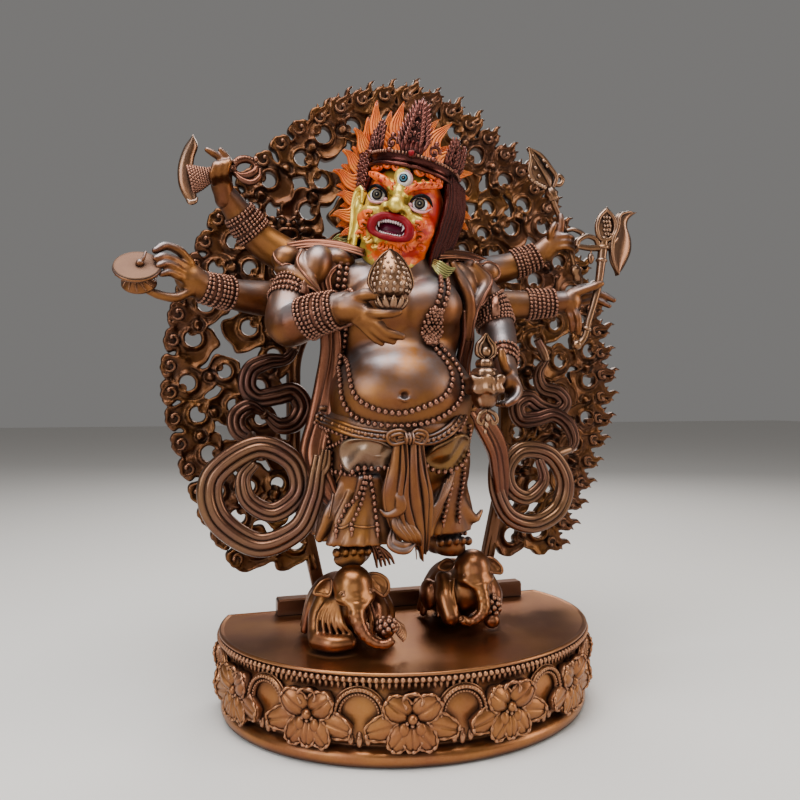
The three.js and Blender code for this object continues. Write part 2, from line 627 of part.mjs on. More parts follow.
// Ankle with its anklet below the hem, and a flat-soled foot with the toes forward
function makeFoot(x, y, toeX) {
  const ankle = turned(at(x, y, 3), at(x, y, 13), [[0, 0], [4.8, 0], [6.4, 0.45], [4.8, 1], [0, 1]].map(
    ([radius, share]) => [radius * part, share]), 7);
  const foot = limb([at(x, y + 5, 3), at(x, y - 1, 3.4), at(toeX, y - 8, 2)], [3.6, 4.6, 4.8].map((r) => r * part),
    { sides: 6, steps: 2, flat: 0.8, face: vec(0, 0, 1) });
  return ankle.add(foot);
}

// Shawl over the shoulders, falling at both sides; grow thickens a fall into a clearance
const SHAWL_FALLS = {
  right: {
    path: [at(-27, 0, 104), at(-36, 1, 96), at(-32.5, 3, 80), at(-32, 2, 66), at(-35.5, -1, 48), at(-37.5, -4, 36),
      at(-32, -7, 24), at(-27, -8, 18)],
    face: vec(-0.75, -0.66, 0),
  },
  left: {
    path: [at(11, 0, 104), at(19, -1, 96), at(14, -3, 80), at(14.5, -3, 66), at(21, -1, 52), at(30, 3, 37),
      at(32, 6, 24), at(33, 8, 12)],
    face: vec(0.6, -0.8, 0),
  },
};

function shawlFall({ path, face }, grow = 0) {
  const half = [3.6, 4.5, 3.4, 3.4, 4.5, 4.8, 4, 1.5].map((r) => r * part + grow);
  return limb(path, half, { sides: 5, steps: 6, flat: 0.4 + grow * 0.1, face });
}

// The falls and the cloud lobes of the cape
function makeShawl() {
  const lobes = [[-40, 3, 103, 7, 5.5, 4], [-30, 0, 103, 7, 7, 4], [27, 3, 103, 7, 5.5, 4],
    [17, 0, 103, 7, 7, 4]].map(([x, y, z, a, b, c]) =>
    lump(at(x, y, z), vec(a * part, b * part, c * part), { wide: 6, high: 3 }));
  return join([shawlFall(SHAWL_FALLS.right), shawlFall(SHAWL_FALLS.left), ...lobes]);
}

// Doubled bead string from the shoulders to under the belly, beads as swellings of one cord
function makeNecklace() {
  const path = [at(-25, -6, 103), at(-27, -12, 88), at(-28.5, -14.5, 74), at(-29, -17, 60), at(-23, -21.5, 50),
    at(-12, -24.6, 47), at(0, -21.5, 50), at(9.5, -15.5, 58), at(7, -13.5, 68), at(6, -12.5, 78),
    at(9, -10, 90), at(9, -5, 101)];
  const curve = new THREE.CatmullRomCurve3(path, false, 'centripetal');
  const beads = 13;
  const half = Array.from({ length: 2 * beads + 1 }, (_, k) => (k % 2 ? 2 : 0.9) * part);
  return limb(curve.getSpacedPoints(2 * beads), half, { sides: 4, steps: 2 * beads, tip: 0.2 });
}

function makeFigure() {
  const whole = join([makeTrunk(), ...Object.entries(ARMS).map(makeArm), ...HANDS.map(hand), makeFace(),
    makeHair(), makeCrown(), makeSkirt(), makeFoot(-23, 2, -26), makeFoot(10, 9, 12), makeShawl(),
    makeNecklace()]);
  return cut(whole, [slab(FIGURE_HEIGHT * 1.3, sole), ...heldSolids(HOLD_CLEARANCE)]);
}

// Things held in the hands; grow thickens them into the clearance cut in the hands

function makeChopper(grow = 0) {
  const outline = [[-5, 13], [-1.5, 11], [0.5, 6], [4, 3], [2, -1], [4, -6], [1, -10.5], [-3, -9], [-6, -3.5],
    [-7, 2], [-6, 8]].map(([x, z]) => new THREE.Vector2((-74 + x) * part, sole + (128.5 + z) * part));
  const blade = plate(outline, (5 - 1.1) * part - grow, 2.2 * part + 2 * grow);
  const handle = limb([at(-74, 5, 128), at(-64, 5.5, 131.5), at(-55, 6, 134)],
    [1.6, 1.7, 2.9].map((r) => r * part + grow), { sides: 5, steps: 2 });
  return join([blade, handle]);
}

function makeDrum(grow = 0) {
  const waist = [[0, 0], [5.4, 0], [5.6, 0.1], [3, 0.5], [5.6, 0.9], [5.4, 1], [0, 1]];
  const profile = waist.map(([radius, share]) => [radius ? radius * part + grow : 0, share]);
  return turned(at(-100, -6.5, 99), at(-84, -4.5, 94), profile, 9);
}

function makeJewel(grow = 0) {
  const flame = [[0, 0], [4, 0.04], [6.2, 0.25], [5.6, 0.45], [3, 0.7], [0, 1]];
  const drop = turned(at(-20.5, -31, 86), at(-19, -30.5, 103), flame.map(([radius, share]) =>
    [radius ? radius * part + grow : 0, share]), 8);
  const lotus = turned(at(-20.5, -31, 82), at(-20.5, -31, 88.5), [[0, 0], [2.6, 0], [4.8, 0.45], [4.4, 0.8],
    [3, 1], [0, 1]].map(([radius, share]) => [radius ? radius * part + grow : 0, share]), 7);
  return join([drop, lotus]);
}

function makeSkullCup(grow = 0) {
  const profile = [[0, 0], [3.6, 0.02], [6, 0.25], [6.6, 0.45], [5.6, 0.58], [4.2, 0.72], [2.8, 0.85], [0, 1]];
  return turned(at(14.5, -21.5, 58), at(14.5, -21.5, 79), profile.map(([radius, share]) =>
    [radius ? radius * part + grow : 0, share]), 9);
}

function makeTrident(grow = 0) {
  const half = (STAFF_DIAMETER / 2) * part + grow;
  const staff = rod(at(59.6, 8.3, 107), at(55.5, 8, 134), half, 5);
  const leaf = limb([at(56, 8, 132), at(53, 8.5, 139), at(47, 9.5, 148)], [2, 4.4, 3.2, 0.8].map((r) =>
    r * part + grow), { sides: 5, steps: 3, flat: 0.6 });
  const knop = lump(at(56.5, 8, 129), vec(2.8, 2.8, 2.8).multiplyScalar(part).addScalar(grow), { wide: 5, high: 3 });
  return join([staff, leaf, knop]);
}

function makeGoad(grow = 0) {
  const half = (STAFF_DIAMETER / 2) * part + grow;
  const staff = rod(at(58.6, 4.2, 73), at(73.2, 4.4, 124), half, 5);
  const top = turned(at(72.8, 4.5, 120), at(75.6, 4.5, 130.5), [[0, 0], [1.6, 0], [3.2, 0.3], [2, 0.5],
    [3.4, 0.75], [0, 1]].map(([radius, share]) => [radius ? radius * part + grow : 0, share]), 6);
  const outline = [[72, 120], [72, 117.4], [79, 117], [82, 111], [85, 107.5], [87.5, 112], [88.5, 118],
    [86.5, 122], [89, 126], [85, 127], [81.5, 123.5], [79, 119.6]].map(([x, z]) =>
    new THREE.Vector2(x * part, sole + z * part));
  const blade = plate(outline, 3.4 * part - grow, 2.2 * part + 2 * grow);
  return join([staff, top, blade]);
}

function heldSolids(grow) {
  return [makeChopper(grow), makeDrum(grow), makeJewel(grow), makeSkullCup(grow), makeTrident(grow), makeGoad(grow)];
}

// Scarf: a serpentine ribbon that curls into a wide spiral scroll, held to the shawl by a short link

function spiralPath({ centre, wide, high, start, turns, shrink, depth }) {
  const steps = Math.round(turns * 9);
  return Array.from({ length: steps + 1 }, (_, k) => {
    const share = k / steps;
    const turn = start + share * turns * 2 * Math.PI;
    const size = 1 - share * shrink;
    return at(centre[0] + wide * size * Math.cos(turn), lerp(depth[0], depth[1], share),
      centre[1] + high * size * Math.sin(turn));
  });
}

function makeScarf({ serpentine, scroll, link, fall }) {
  const half = SCARF_WIDTH / 2;
  const widths = [0.5, 0.8, 0.8, 0.85, 1.1, 1.05, 0.7, 0.6].map((share) => share * half);
  const main = ribbon([...serpentine, ...spiralPath(scroll)], widths, { steps: 36 });
  const tie = limb(link, [half * 0.8, half * 0.8, half * 0.5], { sides: 5, steps: 2, flat: 0.5 });
  return cut(main.add(tie), [shawlFall(fall, HOLD_CLEARANCE)]);
}

const SCARF_RIGHT = {
  serpentine: [at(-42.6, 19, 72), at(-50, 20, 68.5), at(-57, 20, 64), at(-56, 19.5, 58.5), at(-48, 19, 56.5),
    at(-41, 18, 53), at(-43, 16, 46), at(-51, 13, 46.5), at(-60, 9, 51)],
  scroll: { centre: [-58.5, 24], wide: 14.5, high: 17.5, start: 2.2, turns: 1.55, shrink: 0.5, depth: [3, -5] },
  link: [at(-50, -0.5, 31), at(-44, -2.5, 34.5), at(-38.5, -4, 38)],
  fall: SHAWL_FALLS.right,
};
const SCARF_LEFT = {
  serpentine: [at(59.5, 22, 71), at(59, 22, 65), at(66.5, 22, 58.5), at(63, 21.5, 53), at(53, 21, 55),
    at(45.5, 20.5, 51), at(50, 20, 45), at(58, 19, 44)],
  scroll: { centre: [48, 20.5], wide: 13.5, high: 16.5, start: 0.95, turns: 1.55, shrink: 0.5, depth: [15, 7] },
  link: [at(38, 13, 21), at(35, 10, 22), at(32.4, 7, 22)],
  fall: SHAWL_FALLS.left,
};

// Prone elephant-headed figure: robed body on the plinth, flat on the back for the foot it carries.
// Body sections: place from front to back, half width, share of the back's height.
const BEAST_BODY = [[-9, 6, 0.55], [-3, 10, 0.9], [6, 11, 1.02], [14, 10, 0.95], [19, 6.5, 0.6]];
const BEAST_NECK = 12;

function makeBeast(x, y, look) {
  const top = PLINTH_HEIGHT;
  const high = BEAST_BACK_HEIGHT;
  const radius = BEAST_HEAD_RADIUS;
  const p = (dx, dy, dz) => vec(x + dx, y + dy, top + dz);
  const body = skin(BEAST_BODY.map(([dy, wide, tall]) => Array.from({ length: 8 }, (_, i) => {
    const turn = (2 * Math.PI * i) / 8;
    const half = (high * tall) / 2;
    return p(wide * Math.cos(turn), dy, half + half * 1.12 * Math.sin(turn));
  })));
  const headZ = high - radius + 0.8;
  const faceY = -BEAST_NECK - radius * 0.8;
  const head = lump(p(look, -BEAST_NECK, headZ), vec(radius, radius, radius), { wide: 8, high: 5 });
  const ears = [-1, 1].map((side) => limb([p(look + side * radius * 0.9, 2 - BEAST_NECK, headZ + 1.5),
    p(look + side * radius * 1.6, 3 - BEAST_NECK, headZ - 2)], [2.6, 3.6], { sides: 5, steps: 1, flat: 0.3 }));
  const trunk = limb([p(look, faceY, headZ - 2), p(look * 1.5, faceY - 2.5, headZ - 8),
    p(look * 2.4, faceY - 2, headZ - 13), p(look * 5.5, faceY - 1, headZ - 14.5)],
  [3, 2.3, 2, 1.5], { sides: 5, steps: 5 });
  const arms = [-1, 1].map((side) => limb([p(side * 9, 2, high * 0.5), p(side * 10.5, -6, high * 0.2),
    p(side * 5.5, -14, 2.6)], [3.6, 3, 2.2], { sides: 5, steps: 2 }));
  const fruit = lump(p(9, -14.5, 5), vec(3, 3, 3.6), { wide: 5, high: 3 });
  const whole = join([body, head, ...ears, trunk, ...arms, fruit]);
  const step = new THREE.BoxGeometry(BEAST_LENGTH, BEAST_LENGTH, high);
  step.translate(x, y + BEAST_LENGTH / 2 - BEAST_NECK + radius * 0.5, top + high * 1.5);
  return cut(whole, [toSolid(step), slab(PLINTH_WIDTH, top)]);
}

const COPPER = { color: 0x8a5a44, roughness: 0.42, metalness: 0.85 };

function node(name, solid, material) {
  const mesh = new THREE.Mesh(toGeometry(solid), new THREE.MeshStandardMaterial(material));
  mesh.name = name;
  return mesh;
}

const mahakala = new THREE.Group();
mahakala.add(
  node('plinth', makePlinth(), { ...COPPER, color: 0x94604a }),
  node('aureole', makeAureole(), { ...COPPER, color: 0x7d5233 }),
  node('elephant_right', makeBeast(-27, -1, -1), COPPER),
  node('elephant_left', makeBeast(17, 10, 1), COPPER),
  node('figure', makeFigure(), COPPER),
  node('scarf_right', makeScarf(SCARF_RIGHT), { ...COPPER, color: 0x85695a }),
  node('scarf_left', makeScarf(SCARF_LEFT), { ...COPPER, color: 0x85695a }),
  node('chopper', makeChopper(), COPPER),
  node('drum', makeDrum(), COPPER),
  node('jewel', makeJewel(), COPPER),
  node('skull_cup', makeSkullCup(), COPPER),
  node('trident', makeTrident(), COPPER),
  node('goad', makeGoad(), COPPER),
);

export default mahakala;
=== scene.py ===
"""Six-armed Mahakala figure in cast copper alloy: the sculpted surfaces and their finish."""

import math

import bmesh
import bpy
import numpy as np
import openvdb as vdb
from mathutils import Matrix, Vector


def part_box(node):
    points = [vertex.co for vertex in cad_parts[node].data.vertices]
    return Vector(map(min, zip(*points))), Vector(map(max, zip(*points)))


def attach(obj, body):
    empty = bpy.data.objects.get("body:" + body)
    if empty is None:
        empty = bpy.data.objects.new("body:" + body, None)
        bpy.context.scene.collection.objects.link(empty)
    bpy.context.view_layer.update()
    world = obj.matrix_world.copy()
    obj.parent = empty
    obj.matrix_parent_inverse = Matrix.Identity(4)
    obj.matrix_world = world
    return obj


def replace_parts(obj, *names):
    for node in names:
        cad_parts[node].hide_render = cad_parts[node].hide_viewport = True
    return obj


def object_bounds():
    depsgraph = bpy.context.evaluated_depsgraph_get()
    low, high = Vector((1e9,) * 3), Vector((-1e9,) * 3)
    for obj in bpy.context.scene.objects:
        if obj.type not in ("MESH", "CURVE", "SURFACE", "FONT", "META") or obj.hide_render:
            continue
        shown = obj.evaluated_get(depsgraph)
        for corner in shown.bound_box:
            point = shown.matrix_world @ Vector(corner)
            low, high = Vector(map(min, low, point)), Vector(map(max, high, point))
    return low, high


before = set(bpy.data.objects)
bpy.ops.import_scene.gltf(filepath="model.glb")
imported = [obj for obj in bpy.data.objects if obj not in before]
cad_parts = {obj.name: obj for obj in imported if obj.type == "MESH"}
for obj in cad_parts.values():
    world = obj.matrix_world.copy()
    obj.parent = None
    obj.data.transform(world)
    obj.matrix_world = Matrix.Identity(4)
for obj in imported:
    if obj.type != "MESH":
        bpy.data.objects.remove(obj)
solid_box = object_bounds()

# Sizes in millimetres on the object's own grid; MM turns them into metres in the frame
HEIGHT = 237.6
MM = (solid_box[1][2] - solid_box[0][2]) / HEIGHT
PLINTH_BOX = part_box("plinth")
PLINTH_WIDTH = (PLINTH_BOX[1][0] - PLINTH_BOX[0][0]) / MM
PLINTH_DEPTH = (PLINTH_BOX[1][1] - PLINTH_BOX[0][1]) / MM
PLINTH_HEIGHT = (PLINTH_BOX[1][2] - PLINTH_BOX[0][2]) / MM

# The largest distance that a block of clay holds
FAR = 4.0

# Shares of the faces that are left where a form is thinned
THINNED = 0.42
AUREOLE_THINNED = 0.28
RELIEF_THINNED = 0.72
FLAMES_THINNED = 0.6
CROWN_THINNED = 0.7
LOCKS_THINNED = 0.6

rng = np.random.default_rng(7)


def vec(*values):
    return np.array(values, float)


UP = vec(0, 0, 1)


def unit(v):
    v = np.asarray(v, float)
    return v / max(np.linalg.norm(v), 1e-9)


def ramp(x, low, high):
    """0 below low, 1 above high, smooth between"""
    t = np.clip((x - low) / (high - low), 0, 1)
    return t * t * (3 - 2 * t)


def full_turn(count):
    """Evenly spaced turns once round a circle"""
    return np.linspace(0, 2 * math.pi, count, endpoint=False)


# Meshes

def add_mesh(name, points, faces, material, smooth=True):
    """A new piece from points in millimetres and lists of point numbers"""
    mesh = bpy.data.meshes.new(name)
    mesh.from_pydata((np.asarray(points, float) * MM).tolist(), [], faces)
    sculpt = bmesh.new()
    sculpt.from_mesh(mesh)
    bmesh.ops.recalc_face_normals(sculpt, faces=sculpt.faces)
    sculpt.to_mesh(mesh)
    sculpt.free()
    piece = bpy.data.objects.new(name, mesh)
    bpy.context.scene.collection.objects.link(piece)
    if smooth:
        mesh.polygons.foreach_set("use_smooth", [True] * len(mesh.polygons))
    mesh.materials.append(material)
    mesh.update()
    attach(piece, "root")
    return piece


def thin(piece, share):
    """Merges small faces where the form is smooth, until only a share of them is left"""
    step = piece.modifiers.new("thin", "DECIMATE")
    step.ratio = share
    graph = bpy.context.evaluated_depsgraph_get()
    full = piece.data
    piece.data = bpy.data.meshes.new_from_object(piece.evaluated_get(graph))
    piece.modifiers.clear()
    bpy.data.meshes.remove(full)
    return piece


class Batch:
    """Many small closed forms gathered into one mesh"""

    def __init__(self):
        self.points, self.faces, self.count = [], [], 0

    def add(self, points, *blocks):
        """Points, and blocks of faces that number these points from 0"""
        self.points.append(np.asarray(points, float))
        self.faces.extend(block + self.count for block in blocks)
        self.count += len(points)

    def piece(self, name, material, slot, smooth=True):
        faces = [row for block in self.faces for row in block.tolist()]
        return add_mesh(name, np.vstack(self.points), faces, material, smooth)


def grid_faces(rows, cols, closed):
    """Quads of a grid of rows by cols points; closed joins the last column to the first"""
    r = np.arange(rows - 1)[:, None]
    c = np.arange(cols if closed else cols - 1)[None, :]
    n = (c + 1) % cols
    quads = np.stack([r * cols + c, r * cols + n, (r + 1) * cols + n, (r + 1) * cols + c], -1)
    return quads.reshape(-1, 4)


def add_skin(batch, rings):
    """A closed body over rings of equal size, capped by a fan of triangles at each end"""
    rings = np.asarray(rings, float)
    rows, cols = rings.shape[:2]
    points = np.vstack([rings.reshape(-1, 3), rings[0].mean(0), rings[-1].mean(0)])
    first, last = rows * cols, rows * cols + 1
    i = np.arange(cols)
    j = (i + 1) % cols
    top = (rows - 1) * cols
    caps = np.concatenate([np.stack([i, j, np.full(cols, first)], -1),
                           np.stack([top + j, top + i, np.full(cols, last)], -1)])
    batch.add(points, grid_faces(rows, cols, True)[:, ::-1], caps)


def run_of(path):
    """Length along a path up to each of its points"""
    return np.r_[0, np.cumsum(np.linalg.norm(np.diff(path, axis=0), axis=1))]


def along(path, length, places):
    """Points of a path where its length reaches the given places"""
    return np.stack([np.interp(places, length, line) for line in path.T], -1)


def smooth_path(points, count, closed=False):
    """Points spread evenly along a smooth curve through the given ones"""
    p = np.asarray(points, float)
    if closed:
        p = np.vstack([p[-1], p, p[0], p[1]])
    else:
        p = np.vstack([2 * p[0] - p[1], p, 2 * p[-1] - p[-2]])
    fine = []
    for k in range(1, len(p) - 2):
        a, b, c, d = p[k - 1], p[k], p[k + 1], p[k + 2]
        t = np.linspace(0, 1, 24, endpoint=False)[:, None]
        fine.append(0.5 * (2 * b + (c - a) * t + (2 * a - 5 * b + 4 * c - d) * t * t
                           + (3 * b - a - 3 * c + d) * t ** 3))
    fine = np.vstack(fine + [p[-2][None]])
    length = run_of(fine)
    return along(fine, length, np.linspace(0, length[-1], count, endpoint=not closed))


def flat_path(spots, count, closed=False):
    """A smooth line through x, z spots"""
    return smooth_path(np.insert(np.array(spots, float), 1, 0, axis=1), count, closed)[:, [0, 2]]


def spread(values, count):
    """A short list of numbers stretched evenly to count values"""
    return np.interp(np.linspace(0, 1, count), np.linspace(0, 1, len(values)), values)


def path_frames(path, face, closed=False):
    """Way, side and front directions at each point of a path; front looks towards face"""
    if closed:
        way = np.roll(path, -1, 0) - np.roll(path, 1, 0)
    else:
        way = np.gradient(path, axis=0)
    way /= np.linalg.norm(way, axis=1)[:, None] + 1e-12
    face = np.broadcast_to(np.asarray(face, float), path.shape)
    side = np.cross(face, way)
    side /= np.linalg.norm(side, axis=1)[:, None] + 1e-12
    return way, side, np.cross(way, side)


def add_tube(batch, points, radii, sides, steps, flat=1.0, face=(0.05, -1, 0.02), closed=False):
    """A round or flattened rod along a smooth path, tapering through radii"""
    path = smooth_path(points, steps, closed)
    radius = spread(radii, steps)[:, None, None]
    _, side, front = path_frames(path, face, closed)
    turn = full_turn(sides)
    rings = (path[:, None] + radius * np.cos(turn)[None, :, None] * side[:, None]
             + radius * flat * np.sin(turn)[None, :, None] * front[:, None])
    if closed:
        rings = np.concatenate([rings, rings[:1]])
        batch.add(rings.reshape(-1, 3), grid_faces(steps + 1, sides, True)[:, ::-1])
    else:
        add_skin(batch, rings)


def strand_section(strands, groove):
    """Cross-section of a band of rounded strands side by side: across -1..1, out 0..1, then the back"""
    per = 6
    across, out = [], []
    for k in range(strands):
        t = np.linspace(-1, 1, per)
        across.extend((-1 + (2 * k + 1 + t * 0.98) / strands).tolist())
        out.extend((groove + (1 - groove) * np.sqrt(np.clip(1 - (0.97 * t) ** 2, 0, 1))).tolist())
    across += [0.97, 0.5, 0.0, -0.5, -0.97]
    out += [-0.25, -0.5, -0.55, -0.5, -0.25]
    return np.array(across), np.array(out)


def add_band(batch, points, halves, depth, strands, steps, face, groove=0.15, waver=0.0):
    """A grooved ribbon along a smooth path: halves is the half width along it, depth its thickness"""
    path = smooth_path(points, steps)
    _, side, front = path_frames(path, face)
    across, out = strand_section(strands, groove)
    half = spread(halves, steps)[:, None]
    share = np.linspace(0, 1, steps)[:, None]
    wander = waver * np.sin(7 * share + 4.1 * across[None, :]) * (1 - np.abs(across[None, :]))
    rings = (path[:, None] + ((across[None, :] + wander) * half)[..., None] * side[:, None]
             + (out[None, :] * depth)[..., None] * front[:, None])
    add_skin(batch, rings)


def add_lathe(batch, foot, top, profile, sides, lobes=None):
    """A turned form from foot to top; profile pairs are radius and share of the length"""
    foot, top = np.asarray(foot, float), np.asarray(top, float)
    way = unit(top - foot)
    side = unit(np.cross(way, (0.3, 1, 0.1)))
    front = np.cross(way, side)
    turn = full_turn(sides)
    rings = []
    for radius, share in profile:
        r = radius * (1 + (lobes(turn, share) if lobes else 0))
        r = np.broadcast_to(r, turn.shape)
        rings.append(foot + (top - foot) * share + (r * np.cos(turn))[:, None] * side
                     + (r * np.sin(turn))[:, None] * front)
    add_skin(batch, rings)


def ball_shape(sides, rows):
    """Points and faces of a low round ball of radius 1"""
    lat = np.linspace(-math.pi / 2, math.pi / 2, rows + 2)[1:-1]
    turn = full_turn(sides)
    body = np.stack([np.cos(lat)[:, None] * np.cos(turn), np.cos(lat)[:, None] * np.sin(turn),
                     np.broadcast_to(np.sin(lat)[:, None], (rows, sides))], -1).reshape(-1, 3)
    points = np.vstack([body, [0, 0, -1], [0, 0, 1]])
    quads = grid_faces(rows, sides, True)
    i = np.arange(sides)
    j = (i + 1) % sides
    low = np.stack([j, i, np.full(sides, rows * sides)], -1)
    top = (rows - 1) * sides
    high = np.stack([top + i, top + j, np.full(sides, rows * sides + 1)], -1)
    return points, quads, np.concatenate([low, high])


BEAD = ball_shape(6, 3)
FINE_BALL = ball_shape(18, 9)


def add_ball(batch, centre, size, frame_axes=None, shape=BEAD):
    """A ball, or an ellipsoid where size has three values in the given axes"""
    points, quads, caps = shape
    p = points * size
    if frame_axes is not None:
        p = p @ np.asarray(frame_axes)
    batch.add(p + np.asarray(centre, float), quads, caps)


def add_beads(batch, path, radius, closed=False, gap=1.02):
    """Touching beads along a path of points"""
    path = np.asarray(path, float)
    if closed:
        path = np.vstack([path, path[:1]])
    length = run_of(path)
    count = max(2, int(round(length[-1] / (2 * radius * gap))))
    for point in along(path, length, np.linspace(0, length[-1], count, endpoint=not closed)):
        add_ball(batch, point, radius)


# Clay: a block of signed distances that forms are added to and cut from

# Steps of a block, and how far the faces of its flat parts are merged
SIDE_ARM_STEP = 0.55
COARSE_STEP = 0.5
CAPE_STEP = 0.45
FEET_STEP = 0.42
FINE_STEP = 0.36
HEAD_STEP = 0.33
MERGED = 0.006
FINELY_MERGED = 0.004


class Clay:
    def __init__(self, low, high, step):
        self.low = np.asarray(low, float)
        self.step = step
        count = np.ceil((np.asarray(high, float) - self.low) / step).astype(int) + 1
        self.d = np.full(count, FAR, np.float32)

    def window(self, low, high):
        """Slices and coordinates of the part of the block between two corners"""
        shape = np.array(self.d.shape)
        a = np.clip(np.floor((np.asarray(low) - self.low) / self.step).astype(int), 0, shape - 1)
        b = np.clip(np.ceil((np.asarray(high) - self.low) / self.step).astype(int) + 1, a + 1, shape)
        x, y, z = [(self.low[k] + self.step * np.arange(a[k], b[k])).astype(np.float32) for k in range(3)]
        where = tuple(slice(a[k], b[k]) for k in range(3))
        return where, x[:, None, None], y[None, :, None], z[None, None, :]

    def blend(self, where, d, soft, cut):
        """Joins a form's distances to the block's own, or cuts the form out"""
        mine = -self.d[where] if cut else self.d[where]
        h = np.clip(0.5 + 0.5 * (mine - d) / soft, 0, 1)
        out = mine + (d - mine) * h - soft * h * (1 - h)
        self.d[where] = -out if cut else out

    def egg(self, centre, size, axes=None, *, soft, cut=False):
        """An ellipsoid; axes holds its three directions as rows"""
        centre, size = np.asarray(centre, float), np.broadcast_to(np.asarray(size, float), 3)
        reach = size if axes is None else np.full(3, size.max())
        where, x, y, z = self.window(centre - reach - soft - 1, centre + reach + soft + 1)
        x, y, z = x - centre[0], y - centre[1], z - centre[2]
        if axes is not None:
            axes = np.asarray(axes, np.float32)
            x, y, z = [axes[k][0] * x + axes[k][1] * y + axes[k][2] * z for k in range(3)]
        a, b, c = x / size[0], y / size[1], z / size[2]
        k0 = np.sqrt(a * a + b * b + c * c)
        k1 = np.sqrt((a / size[0]) ** 2 + (b / size[1]) ** 2 + (c / size[2]) ** 2) + 1e-6
        self.blend(where, k0 * (k0 - 1) / k1, soft, cut)

    def limb(self, points, radii, *, soft, cut=False, steps=14, flat=None, ripple=None):
        """A rod along a smooth path with changing radius; flat is a direction and how much it is pressed"""
        path = smooth_path(points, steps)
        radius = spread(radii, steps)
        pad = radius.max() + soft + 1
        where, x, y, z = self.window(path.min(0) - pad, path.max(0) + pad)
        d = np.full((x.shape[0], y.shape[1], z.shape[2]), FAR, np.float32)
        local = Clay.__new__(Clay)
        local.low = np.array([x[0, 0, 0], y[0, 0, 0], z[0, 0, 0]], float)
        local.step, local.d = self.step, d
        for k in range(steps - 1):
            a, b = path[k], path[k + 1]
            ra, rb = radius[k], radius[k + 1]
            pad = max(ra, rb) + soft + 1
            sub, u, v, w = local.window(np.minimum(a, b) - pad, np.maximum(a, b) + pad)
            u, v, w = u - a[0], v - a[1], w - a[2]
            s = b - a
            h = np.clip((u * s[0] + v * s[1] + w * s[2]) / (s @ s + 1e-9), 0, 1)
            u, v, w = u - s[0] * h, v - s[1] * h, w - s[2] * h
            if flat is not None:
                n, squash = flat
                off = (u * n[0] + v * n[1] + w * n[2]) * (1 / squash - 1)
                u, v, w = u + off * n[0], v + off * n[1], w + off * n[2]
            r = ra + (rb - ra) * h
            if ripple is not None:
                r = r * (1 + ripple((k + h) / (steps - 1)))
            d[sub] = np.minimum(d[sub], np.sqrt(u * u + v * v + w * w) - r)
        self.blend(where, d, soft, cut)

    def sample(self, points):
        """Signed distance at points, between the grid's values"""
        q = (np.asarray(points, float) - self.low) / self.step
        q = np.clip(q, 0, np.array(self.d.shape) - 1.001)
        i = q.astype(int)
        f = q - i
        out = 0
        for dx in (0, 1):
            for dy in (0, 1):
                for dz in (0, 1):
                    weight = (np.where(dx, f[:, 0], 1 - f[:, 0]) * np.where(dy, f[:, 1], 1 - f[:, 1])
                              * np.where(dz, f[:, 2], 1 - f[:, 2]))
                    out = out + weight * self.d[i[:, 0] + dx, i[:, 1] + dy, i[:, 2] + dz]
        return out

    def slope(self, points):
        e = self.step
        g = np.stack([self.sample(points + e * row) - self.sample(points - e * row) for row in np.eye(3)], -1)
        return g / (np.linalg.norm(g, axis=1)[:, None] + 1e-9)

    def snap(self, points, lift=0.0):
        """Points moved to the surface, then out by lift"""
        p = np.array(points, float)
        for _ in range(6):
            p = p - self.slope(p) * (self.sample(p) - lift)[:, None]
        return p

    def cut_below(self, level):
        z = (self.low[2] + self.step * np.arange(self.d.shape[2]))[None, None, :]
        self.d = np.maximum(self.d, np.broadcast_to(level - z, self.d.shape).astype(np.float32))

    def mesh(self, adaptivity):
        """Points, triangles and quads of the surface; adaptivity lets flat parts have larger faces"""
        grid = vdb.FloatGrid(background=FAR)
        grid.copyFromArray(np.ascontiguousarray(np.clip(self.d, -FAR, FAR)))
        points, triangles, quads = grid.convertToPolygons(isovalue=0.0, adaptivity=adaptivity)
        points = points.astype(float) * self.step + self.low
        return points, triangles[:, ::-1], quads[:, ::-1]

    def piece(self, name, material, slot, adaptivity):
        points, triangles, quads = self.mesh(adaptivity)
        return thin(add_mesh(name, points, triangles.tolist() + quads.tolist(), material), THINNED)


# Camera, light and floor

VIEW_TURN = math.radians(17.0)
VIEW_FROM = vec(-83.2, -245.7, 109.0)


def add_camera():
    camera = bpy.data.cameras.new("camera")
    camera.lens, camera.sensor_width = 33.6, 36.0
    camera.clip_start, camera.clip_end = 0.005, 20.0
    holder = bpy.data.objects.new("camera", camera)
    holder.location = VIEW_FROM * MM
    holder.rotation_euler = (math.radians(90), 0, -VIEW_TURN)
    bpy.context.scene.collection.objects.link(holder)
    bpy.context.scene.camera = holder


def add_light(name, place, aim, size, power, tint):
    lamp = bpy.data.lights.new(name, "AREA")
    lamp.shape, lamp.size, lamp.size_y = "RECTANGLE", size[0], size[1]
    lamp.energy, lamp.color = power, tint
    holder = bpy.data.objects.new(name, lamp)
    holder.location = place
    holder.rotation_euler = (Vector(place) - Vector(aim)).to_track_quat("Z", "Y").to_euler()
    bpy.context.scene.collection.objects.link(holder)


